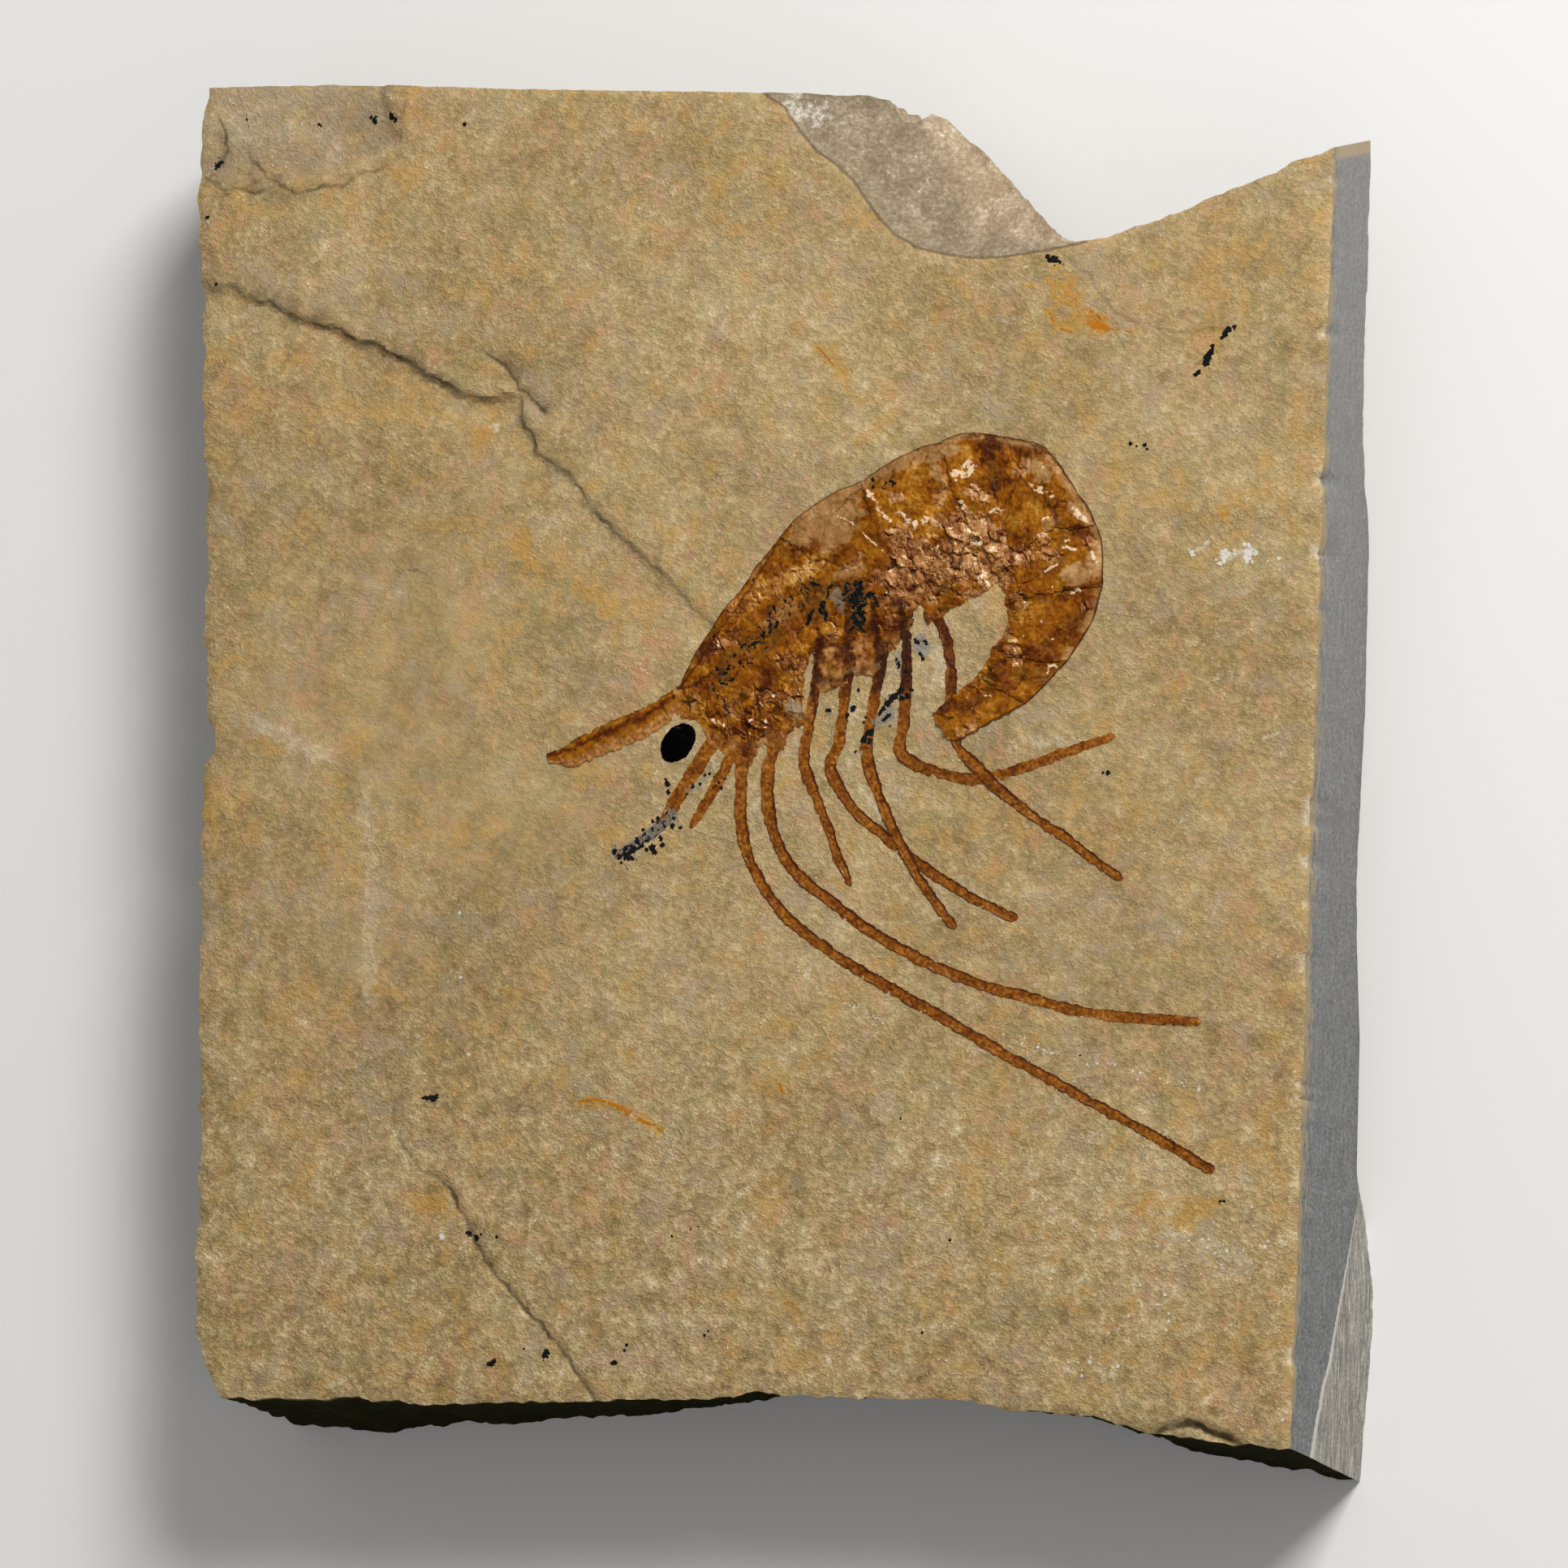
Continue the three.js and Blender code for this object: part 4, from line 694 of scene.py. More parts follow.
def buildSlab(materials):
    g = slabShape
    cell = g["cell"]
    xs = np.arange(g["topEdge"][0][0], g["rightEdge"] + cell / 2, cell)
    xs[-1] = g["rightEdge"]
    for corner in [p[0] for p in g["topEdge"][5:19]]:  # a grid line through each corner of the broken end
        xs[np.argmin(abs(xs - corner))] = corner
    u = (xs - xs[0]) / (xs[-1] - xs[0])
    low, high = g["bottomEdge"][0][1], g["topEdge"][0][1]
    nu, nv = len(u), int(round((high - low) / cell)) + 1
    uu, vv = np.meshgrid(u, np.linspace(0, 1, nv))
    left = level(g["leftEdge"], low + (high - low) * vv)
    x = left + (g["rightEdge"] - left) * uu
    bottom = level(g["bottomEdge"], g["bottomEdge"][0][0] + (g["rightEdge"] - g["bottomEdge"][0][0]) * uu)
    top = level(g["topEdge"], xs[0] + (xs[-1] - xs[0]) * uu)
    y = bottom + (top - bottom) * vv
    # ragged broken edges; the sawn one is straight with little nicks
    nearLeft = np.exp(-uu / 0.012)
    nearEnds = np.exp(-vv / 0.012) + np.exp(-(1 - vv) / 0.012) * (0.25 + 0.75 * ease((x - 6) / 3))
    x = x + 0.26 * crumbs(y, y * 0, 3.1, 201, 4, 0.6) * nearLeft * (uu < 1)
    y = y + 0.20 * crumbs(x, x * 0, 2.3, 211, 4, 0.6) * nearEnds
    nick = 0.6 * np.maximum(0, crumbs(y, y * 0, 1.1, 221, 3, 0.7) - 0.2)
    for spot, size in g["nicks"]:
        nick = nick + np.exp(-((y - spot) / size) ** 2) * (0.6 + 0.5 * noise(y, y * 0, 0.5, 231))
    nickIn = 0.5 * nick * np.exp(-(1 - uu) / 0.004)
    x = x - nickIn
    inner = (uu > 0) & (uu < 1) & (vv > 0) & (vv < 1)
    for line in (g["chipStart"], g["cornerScar"]):
        sx, sy = snapTo(x, y, line, cell * 0.5)
        x, y = np.where(inner, sx, x), np.where(inner, sy, y)
    z = groundHeight(x, y)
    # worn edges
    wide, tall = g["size"]
    rim = np.minimum(np.minimum(uu, 1 - uu) * wide, np.minimum(vv, 1 - vv) * tall)
    toSawn = (1 - uu) * wide
    z = (
        z - 0.22 * np.exp(-rim / 0.45) * (1 + 0.6 * noise(x, y, 2.0, 241))
        - 0.5 * nick * np.exp(-toSawn / 0.5)
    )
    z, chip, chipFar = chipCut(x, y, z)

    points = [np.stack([x, y, z], -1).reshape(-1, 3)]
    faces = quads(nv, nu)
    chipSide = nearLine(x, y, g["chipStart"])[1]
    chipAt = np.where(chip, 1, -1) * np.where(chip | (chipSide <= 0), chipFar, 2)
    nearChip = ((chipAt > 0) | (chipFar < 1.0)) & (y > g["chipReach"]["low"] - 1)
    inChip = nearChip[:-1, :-1] | nearChip[1:, 1:] | nearChip[1:, :-1] | nearChip[:-1, 1:]
    pick = [np.where(inChip, 1, 0).reshape(-1)]
    index = np.arange(nu * nv).reshape(nv, nu)
    loop = np.concatenate([index[0, :-1], index[:-1, -1], index[-1, :0:-1], index[:0:-1, 0]])
    side = np.concatenate([np.full(nu - 1, 0), np.full(nv - 1, 1), np.full(nu - 1, 2), np.full(nv - 1, 3)])
    side[len(loop) - (nu - 1) - (nv - 1)] = 1  # the corner at the top right belongs to the sawn side
    px, py, pz, nickDeep = (a.reshape(-1)[loop] for a in (x, y, z, nickIn))
    sawn = side == 1
    outX = np.select([sawn, side == 3], [level(g["rightFlare"], py), np.full(len(loop), -0.1)], 0.0)
    outY = np.select([side == 0, side == 2], [-level(g["bottomFlare"], px), level(g["topFlare"], px)], 0.0)
    feet = [level(g["bottomFoot"], px), level(g["rightFoot"], py), level(g["topFoot"], px)]
    rise = np.select([side == 0, sawn, side == 2], feet, 0.0)
    sawnY = np.where(py < -55, -1.8 * ease((-55 - py) / 2.1), 1.9 * ease((py - 46) / 5.2))
    outY = np.where(sawn, sawnY, outY)
    outX = np.where((side == 0) & (px > 48.5), 0.9 * ease((px - 48.5) / 2.2), outX)
    saw = np.where(py < g["sawEnd"], level(g["sawLine"], py), rise + g["sawRim"])
    middle = np.where(sawn, (g["face"] - saw) / (g["face"] - rise), 0.5)
    midX = np.where(sawn, 0.075 * (g["face"] - saw), outX * 0.5)
    midY = outY * middle
    broken = np.where(sawn, 0.0, 1.0)
    nickDeep = np.where(sawn, nickDeep, 0)
    px = px + nickDeep
    count = nu * nv
    rings, wall = [loop], []
    travel = np.cumsum(np.hypot(np.diff(px, prepend=px[-1]), np.diff(py, prepend=py[-1])))
    coarse = np.where(py < -34, 1.0, 0.5) * sawn  # the facet is coarser than the rim under the saw's cut
    nx = np.select([sawn, side == 3], [1.0, -1.0], 0.0)
    ny = np.select([side == 0, side == 2], [-1.0, 1.0], 0.0)
    nextSawn = sawn | np.roll(sawn, -1)
    for k in range(1, g["wallRows"] + 1):
        t = k / g["wallRows"]
        depth = np.where(t <= 0.5, middle * t * 2, middle + (1 - middle) * (t * 2 - 1))
        wx = np.where(t <= 0.5, midX * t * 2, midX + (outX - midX) * (t * 2 - 1))
        wy = np.where(t <= 0.5, midY * t * 2, midY + (outY - midY) * (t * 2 - 1))
        wz = pz + (rise - pz) * depth
        chew = broken * (0.34 * crumbs(travel, wz * 2.2, 4.0, 301, 4, 0.55) - 0.32)
        chew = chew * ease(t * 5) * (1 - 0.5 * ease(t * 8 - 7))
        # ledges of the bedding
        chew = chew + broken * 0.16 * noise(travel * 0.15, wz, 1.3, 311) * ease(t * 5)
        chew = chew + coarse * (t > 0.5) * (t < 1) * (0.06 * noise(travel * 0.35, wz, 0.8, 321) - 0.03)
        chew = chew - sawn * (t > 0.9) * 0.12 * np.maximum(0, crumbs(travel, wz, 2.0, 331, 3) + 0.2)
        chew = chew - nickDeep * np.exp(-((t - 1 / g["wallRows"]) * 9) ** 2) * 0.6
        points.append(np.stack([px + wx + nx * chew, py + wy + ny * chew, wz], -1))
        rings.append(np.arange(count, count + len(loop)))
        wall.append(np.full(len(loop), t))
        count += len(loop)
        lowFacet = (t > 0.5) & (py < g["sawEnd"])
        fresh = (side == 2) & (px > g["chipSide"][0]) & (px < g["chipSide"][1]) & (t < 0.7)
        pick.append(np.where(sawn & nextSawn, np.where(lowFacet | (t > 0.95), 3, 2), np.where(fresh, 1, 4)))
    lastRing = points[-1]
    scale = 1 - (1 + g["footSlope"] * rise) / np.hypot(lastRing[:, 0], lastRing[:, 1])
    for share in (0.5, 1.0):
        s = 1 + (scale - 1) * share
        points.append(np.stack([lastRing[:, 0] * s, lastRing[:, 1] * s,
            rise * (1 - share) * (1 - 0.15 * share)], -1))
        rings.append(np.arange(count, count + len(loop)))
        wall.append(np.full(len(loop), 1.0))
        pick.append(np.full(len(loop), 4))
        count += len(loop)
    for a, b in zip(rings[:-1], rings[1:]):
        faces += np.stack([a, b, np.roll(b, -1), np.roll(a, -1)], -1).tolist()
    faces.append(rings[-1][::-1].tolist())
    pick.append([4])
    points = np.clip(np.concatenate(points), np.array(cadBox[0]) / mm, np.array(cadBox[1]) / mm)

    # masks for the finish, on the top and carried down the sides
    tx, ty = torn(x, y)
    farStep, sideStep, shareStep = nearLine(tx, ty, g["step"])
    lineAt = np.clip(farStep * sideStep, -2, 2)
    gap = 1 - 0.9 * np.exp(-(np.hypot(x + 22.3, y - 31.2) / 1.2) ** 2)
    # the step line: a dark stain, with painted shade of the step's wall
    lineDark = level(g["stepDark"], shareStep) * (0.8 + 0.6 * noise(x, y, 1.4, 405))
    lineDark = lineDark * (1 - ease((farStep - 0.9) / 0.8)) * gap
    # painted shade: a soft darkening beside the step
    shade = 0.7 * np.exp(-((farStep - 0.3 * sideStep) / 0.8) ** 2)
    shade = shade * (0.75 + 0.5 * noise(x, y, 2.4, 407)) * gap
    # painted light: a pale band below the step, where its lower lip would catch the light
    paintedLitLip = np.where(sideStep < 0, np.exp(-((farStep - 1.6) / 0.9) ** 2), 0) * 0.6 * (shareStep < 0.75)
    crackAt, crackFar = np.full(x.shape, 2.0), np.full(x.shape, 2.0)
    crackDark = np.zeros(x.shape)
    cracks = [(g["lowerDark"], 1.1, g["lowerCrack"]), ([(0, 0.95)], 1, g["branch"]),
        ([(0, 1.2)], 1.9, g["flake"])]
    for darkness, thick, line in cracks + [([(0, strength)], 1, line) for strength, line in g["seams"]]:
        farLine, sideLine, shareLine = nearLine(tx, ty, line)
        near = farLine < crackFar
        strength = level(darkness, shareLine)
        dark = strength * (0.75 + 0.5 * noise(x, y, 1.8, 401)) * ease(shareLine * 8 + 0.3)
        dark = dark * ease((1 - shareLine) * 6 + 0.4) * (1 - ease((farLine - 0.9) / 0.8))
        crackAt = np.where(near, farLine * sideLine / thick, crackAt)
        crackDark = np.where(near, dark, crackDark)
        crackFar = np.minimum(crackFar, farLine)
        # painted shade beside each crack and seam
        soft = 0.55 * strength * np.exp(-((farLine - 0.2 * sideLine) / 0.6) ** 2)
        shade = np.maximum(shade, soft * (farLine < 3) * ease(shareLine * 8 + 0.2))
    farScar, sideScar = nearLine(x, y, g["cornerScar"])[:2]
    farRidge, sideRidge = nearLine(x, y, g["chipRidge"])[:2]
    tone = 0.495 + 0.08 * noise(x, y, 15, 421) + 0.08 * crumbs(x, y, 4.5, 425, 2, 0.8)
    tone = tone - 0.05 * ease((-5 - x) / 20) * ease((50 - y) / 15)
    tone = tone - 0.03 * ease((-5 - x) / 15) * ease((44 - y) / 12) * ease((y + 32) / 12)
    tone = tone + 0.02 * ease((-y - 24) / 14) + 0.015 * ease((y - 18) / 14)
    tone = (
        tone - 0.045 * ease((x - 10) / 12) * ease((y + 32) / 14)
        - 0.03 * ease((-12 - x) / 12) * ease((y - 32) / 8)
    )
    hue = 0.5 + 0.35 * noise(x, y, 9, 441) + 0.44 * crumbs(x, y, 2.6, 445, 3, 0.85)
    warmth = 0.5 + 0.3 * noise(x, y, 7, 491) + 0.42 * crumbs(x, y, 2.0, 495, 3, 0.85)
    # the smoother ground left of the head
    calm = 18 - np.hypot((x + 30) * 0.7, (y - 3) * 0.6) + 7 * noise(x, y, 11, 435)
    rough = 0.96 + 0.36 * ease((-y - 12) / 30) - 0.08 * ease((x - 15) / 15) - 0.45 * ease(calm / 18)
    tone = tone + (0.1 + 0.03 * ease((-y - 12) / 30)) * rough * crumbs(x, y, 1.5, 431, 2, 0.8)
    nickPale = 0.8 * np.clip(nick * 1.6, 0, 1) * np.exp(-toSawn ** 2)
    top = {
        "tone": tone, "hue": hue, "warmth": warmth, "rough": rough, "shade": shade,
        "dusk": paint(x, y, stoneMarks["dusk"], 411, 0.9, 0.9),
        "lineAt": lineAt, "lineDark": lineDark, "crackAt": crackAt, "crackDark": crackDark, "chipAt": chipAt,
        # chalk: pale marks and nicks, with the painted lit lip below the step
        "chalk": np.clip(paint(x, y, stoneMarks["chalk"], 451) + paintedLitLip * 0.3 + nickPale, 0, 1),
        "rust": paint(x, y, stoneMarks["rust"], 461, 0.9, 0.9),
        "blush": paint(x, y, stoneMarks["blush"], 471, 0.9, 0.9),
        "ash": paint(x, y, stoneMarks["ash"], 481),
        "scar": np.where(sideScar > 0, ease(farScar / 1.6),
            0) * np.clip(0.75 + 0.5 * crumbs(x, y, 2.2, 487, 2), 0, 1),
        "fresh": ease((farRidge * sideRidge + 1.2 + 0.6 * noise(x, y, 1.6, 485)) / 2.2) * chip,
    }
    masks = {}
    topOnly = ("shade", "dusk", "chalk", "rust", "blush", "lineDark", "crackDark")
    for key, values in top.items():
        rimValues = values.reshape(-1)[loop] * (0 if key in topOnly else 1)
        masks[key] = np.concatenate([values.reshape(-1)] + [rimValues] * len(wall))
    flat = np.zeros(nu * nv)
    masks["wall"] = np.concatenate([flat] + wall)
    # painted shade: the broken walls at the lower end made nearly black
    masks["damp"] = np.concatenate([flat] + [ease((-50 - py) / 2) * (~sawn)] * len(wall))
    masks["fresh"][nu * nv:] = np.tile(((side == 2) & (px > g["chipSide"][0])) * 0.9, len(wall))
    masks["chipAt"][nu * nv:] = 2
    # for painted shading: 0 at the lower end, 1 at the chipped end
    masks["high"] = np.concatenate([flat] + [ease((py + 52) / 104)] * len(wall))
    masks["tan"] = np.concatenate([flat] + [(py > 50.4) * (w < 0.85) * 1.0 for w in wall])
    return meshPiece("stoneSlab", points, faces, masks, materials, sharp=44, pick=np.concatenate(pick))


def splitColour(b, spot):  # colour and relief of the split face
    spot = b.stretch(b.stretch(spot, (1, 1, 1), 0.45), (0.94, 1.12, 1))
    fine = b.grain(spot, 0.6, 4.0, 0.7)
    tiny = b.grain(spot, 0.21, 2.0, 0.6)
    patchy = b.grain(spot, 2.1, 3.0, 0.62)
    rough = b.mask("rough")
    chips = b.band(fine, 0.42, 0.58) + b.band(tiny, 0.42, 0.58) * 0.5  # little flat bits with crisp rims
    grains = (fine - 0.5) * 0.55 + (tiny - 0.5) * 0.25 + (chips - 0.75) * 0.07 + (patchy - 0.5) * 0.3
    colour = b.ramp(b.mask("tone") + grains * rough, [
        (0.0, (108, 89, 58)), (0.3, (150, 126, 84)), (0.5, (175, 150, 105)), (0.7, (195, 171, 126)),
        (1.0, (230, 214, 181)),
    ])
    shift = b.mask("hue") + (fine - 0.5) * 0.3
    colour = b.blend(b.band(shift, 0.55, 1.15) * 0.55, colour, (190, 148, 80))
    colour = b.blend(b.band(1 - shift, 0.55, 1.15) * 0.48, colour, (168, 150, 126))
    shift = b.mask("warmth") + (fine - 0.5) * 0.3
    colour = b.blend(b.band(shift, 0.55, 1.15) * 0.4, colour, (194, 144, 110))
    colour = b.blend(b.band(1 - shift, 0.55, 1.15) * 0.34, colour, (150, 143, 94))
    uneven = (fine - 0.5) * 0.9
    colour = b.blend(b.mask("scar") * 0.6, colour, (161, 144, 119))
    colour = b.stains(colour, uneven, [
        ("blush", 0.1, 0.9, 0.7, (190, 140, 98)), ("rust", 0.05, 0.6, 0.65, (186, 142, 64)),
        ("rust", 0.6, 1.05, 0.65, (174, 108, 22)), ("ash", 0.1, 0.9, 0.8, (126, 126, 122)),
        ("chalk", 0.15, 0.9, 0.6, (212, 200, 176)),
    ])
    # pale crumbs, in groups; they also stand in for the grain's glints, as painted highlights
    paleCrumbsAndGlints = b.band(tiny + (patchy - 0.5) * 0.5 + (fine - 0.5) * 0.2, 0.69, 0.76)
    colour = b.blend(paleCrumbsAndGlints * rough * 0.5, colour, (236, 224, 206))
    pits = b.band(1 - tiny + (patchy - 0.5) * 0.4, 0.74, 0.8)
    colour = b.blend(pits * rough * 0.4, colour, (92, 76, 52))
    # dusk: dark smudges, some of them painted shadow along the corner scar and the step
    colour = b.stains(colour, uneven, [("dusk", 0.1, 1.0, 0.7, (86, 78, 60))])
    # painted shade beside the step, the cracks and the seams
    colour = b.blend(b.band(b.mask("shade") + uneven * 0.6, 0.1, 1.0) * 0.5, colour, (110, 98, 68))
    # the step line: a dark stain with painted shade of its wall
    step = b.band(1 - b.mask("lineAt").size() + uneven * 0.7, 0.72, 0.95) * b.mask("lineDark")
    # dark cracks and seams; along the corner scar's edges partly painted shadow
    crack = b.band(1 - b.mask("crackAt").size() + uneven * 0.4, 0.76, 0.92) * b.mask("crackDark")
    colour = b.blend(step * 0.8, colour, (72, 64, 46))
    colour = b.blend(crack.low(1) * 0.85, colour, (60, 50, 30))
    return colour, (fine * 0.5 + chips * 0.2 + tiny * 0.2 + patchy * 0.5) * rough


def splitFinish():
    b = Bench("splitLimestone")
    colour, height = splitColour(b, b.place())
    return b.finish(colour, 0.9, height, 0.17, 0.15)


def chipFinish():  # the fresh break of the large chip, with the split face up to its edge
    b = Bench("freshBreak")
    spot = b.place()
    split, height = splitColour(b, spot)
    broad = b.grain(spot, 2.4, 4.0, 0.6, 0.4)
    fine = b.grain(spot, 0.42, 3.0, 0.7)
    value = broad * 0.4 + fine * 0.6
    grey = b.ramp(value, [(0.32, (110, 97, 76)), (0.5, (140, 124, 100)), (0.66, (174, 160, 136))])
    pale = b.ramp(value, [(0.32, (132, 113, 88)), (0.5, (163, 142, 115)), (0.66, (200, 182, 155))])
    colour = b.blend(b.mask("fresh"), grey, pale)
    colour = b.blend(b.band(b.mask("rust") + (fine - 0.5), 0.1, 0.9) * 0.6, colour, (178, 120, 62))
    colour = b.blend(b.band(b.mask("chalk") + (fine - 0.5) * 1.2, 0.15, 0.7) * 0.8, colour, (216, 210, 198))
    colour = b.blend(b.band(fine + (broad - 0.5) * 0.4, 0.66, 0.74) * 0.5, colour, (230, 224, 210))
    colour = b.blend(b.mask("dusk") * 0.6, colour, (72, 62, 48))
    at = b.mask("chipAt") + (fine - 0.5) * 0.2
    colour = b.blend(b.band(at, -0.04, 0.04), split, colour)
    colour = b.blend(b.band(1 - at.size(), 0.8, 0.95) * 0.6, colour, (82, 68, 48))
    return b.finish(colour, 0.9, value * 1.3 + height * 0.3, 0.22, 0.15)


# one of the slab's sides
def sideFinish(name, stops, factors, size, depth, streaks=0.65, cutLine=0.0, worn=0.0, gloss=0.2):
    b = Bench(name)
    spot = b.place()
    lines = b.grain(b.stretch(spot, factors), size, 4.0, 0.65)
    fine = b.grain(spot, 0.3, 3.0, 0.7)
    value = lines * streaks + fine * (1 - streaks)
    colour = b.ramp(value, stops)
    # painted shade: the broken walls at the lower end nearly black
    colour = b.blend(b.mask("damp") * 0.97, colour, (22, 24, 4))
    if worn:
        # painted shading: the sawn side paler toward the chipped end, darker toward the lower end
        colour = b.blend(b.mask("high") * 0.3, colour, (162, 156, 150))
        colour = b.blend(b.band(1 - b.mask("wall") + (lines - 0.5) * 0.3, 0.93, 0.99) * worn, colour,
            (158, 138, 104))
        colour = b.blend(b.band(1 - fine, 0.68, 0.76) * 0.5, colour, (78, 76, 70))
        colour = b.blend(b.mask("tan") * 0.7, colour, (170, 150, 116))
    if cutLine:
        rim = b.band(b.mask("wall") + (fine - 0.5) * 0.05, 0.495, 0.51)
        rim = rim * b.band(1 - b.mask("wall"), 0.455, 0.475)
        colour = b.blend(rim * cutLine, colour, (206, 200, 188))
    return b.finish(colour, 0.85, value, depth, gloss)


sideFinishes = {
    "sawnStone": {"stops": [(0.34, (82, 84, 84)), (0.5, (110, 111, 110)), (0.66, (140, 139, 136))],
        "factors": (1, 0.4, 1.8), "size": 0.9, "depth": 0.04, "streaks": 0.3, "worn": 0.75},
    "sawnFacet": {"stops": [(0.34, (96, 91, 83)), (0.5, (143, 138, 129)), (0.66, (194, 190, 181))],
        "factors": (1.6, 0.16, 1.6), "size": 0.45, "depth": 0.12, "cutLine": 0.7},
    "brokenStone": {"stops": [(0.3, (82, 71, 50)), (0.5, (122, 107, 79)), (0.7, (160, 144, 114))],
        "factors": (1, 1, 2.4), "size": 2.0, "depth": 0.5, "gloss": 0.03},
}

slabFinishes = [splitFinish(), chipFinish()] + [sideFinish(name, **f) for name, f in sideFinishes.items()]
slab = buildSlab(slabFinishes)
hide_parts("slab")
print("slab:", len(slab.data.polygons), "faces")


def buildSpecks(name, spots, colour, seed, rise=0.03):  # tiny flat crumbs set into the face
    rng = np.random.default_rng(seed)
    around = 11
    points, faces = [], []
    for x, y, radius in spots:
        turn = np.arange(around) / around * 2 * math.pi
        reach = radius * (1 + 0.3 * rng.uniform(-1, 1, around))
        ring = np.stack([x + reach * np.cos(turn), y + reach * np.sin(turn)], -1)
        z = groundHeight(ring[:, 0], ring[:, 1])
        centre = groundHeight(np.array([x]), np.array([y]))[0]
        first = len(points)
        points += [(px, py, h - 0.4) for (px, py), h in zip(ring, z)]
        points += [(px, py, h + rise * 0.6) for (px, py), h in zip(ring, z)]
        points.append((x, y, centre + rise * 1.4))
        for k in range(around):
            a, b = first + k, first + (k + 1) % around
            faces += [(a, b, b + around, a + around), (a + around, b + around, first + 2 * around)]
        faces.append(tuple(range(first + around - 1, first - 1, -1)))
    b = Bench(name + "Finish")
    grain = b.grain(b.place(), 0.15, 2.0)
    lighter = tuple(c + 18 for c in colour)
    material = b.finish(b.ramp(grain, [(0.3, colour), (0.7, lighter)]), 0.8, specular=0.1)
    piece = meshPiece(name, points, faces, {}, [material], sharp=60)
    return piece


def scatter(line, count, spread, sizes, seed):
    rng = np.random.default_rng(seed)
    spots = along(line, rng.uniform(0, 1, count)) + rng.normal(0, spread, (count, 2))
    return [(x, y, r) for (x, y), r in zip(spots, rng.uniform(*sizes, count))]


def strokeSpots(strokes, seed):  # a stroke as a run of overlapping crumbs
    rng = np.random.default_rng(seed)
    spots = []
    for half, line in strokes:
        length = lineLength(np.array(line))
        for share in np.linspace(0, 1, int(length / (0.55 * half)) + 1):
            (x, y), = along(line, [share]) if length else line
            spots.append((x + rng.normal(0, 0.25 * half), y + rng.normal(0, 0.25 * half),
                half * rng.uniform(0.65, 1.1)))
            if rng.uniform() < 0.35:
                spots.append((x + rng.normal(0, 1.8 * half), y + rng.normal(0, 1.8 * half),
                    half * rng.uniform(0.15, 0.35)))
    return spots


chalkSpots = [(47.5, -40.4, 0.12), (48.1, -41.8, 0.12), (50.0, -54.8, 0.14), (-24.9, -13.0, 0.14),
    (-24.5, -18.5, 0.12), (-23.5, -25.1, 0.14), (33.1, -49.9, 0.12), (24.4, -41.9, 0.12)]
chalkSpots += scatter([(5.7, -17.4), (8.0, -19.4), (13.9, -22.1)], 46, 0.10, (0.04, 0.09), 11)
chalkSpots += scatter([(24.0, -23.4), (33, -25.6), (42.7, -27.3)], 34, 0.25, (0.05, 0.13), 12)
chalkSpots += scatter([(31, -52), (36.3, -46.4), (39.8, -46.8), (44, -41), (48.1, -41.8)], 44, 1.5,
    (0.05, 0.13), 13) + scatter([(16, 2), (30, -8), (46, -18)], 26, 3.5, (0.04, 0.09), 14)
chalkSpots += scatter([(42.1, 17.3), (42.3, 17)], 16, 0.3, (0.08, 0.2), 15)
chalkSpots += scatter([(44.0, 17.4), (44.6, 17.3)], 26, 0.36, (0.08, 0.22), 16)
chalkSpots += scatter([(39.4, 17.7), (39.5, 17.3), (39.9, 17.2)], 9, 0.09, (0.07, 0.13), 17)
chalkSpots += [(40.8, 18.3, 0.15), (40.6, 18.2, 0.1), (46.1, 16.7, 0.12), (47.1, 16.9, 0.13)]
chalkSpots += scatter([(-9.3, 8), (-8.8, 7), (-8.3, 6.3)], 14, 0.5, (0.04, 0.09), 18)
chalkSpots += [(43.6, -41.1, 0.15), (44.6, -40.9, 0.17), (36.3, -46.4, 0.16), (39.8, -46.8, 0.15),
    (33.0, -50.3, 0.17), (47.9, -40.5, 0.16), (-25.2, -40.6, 0.26)]

inkCrumbs = [(x, y, 1.3 * r) for x, y, r in stoneMarks["specks"]] + strokeSpots(stoneStrokes, 31)
buildSpecks("inkSpecks", inkCrumbs, (8, 8, 7), 21)
buildSpecks("rustSpecks", strokeSpots(rustStrokes, 41), (164, 96, 10), 23, 0.015)
buildSpecks("chalkSpecks", chalkSpots, (200, 193, 182), 22)
print("specks done")


# The shell's lines in view points. A joint runs from the back to the belly; the first is behind the carapace.

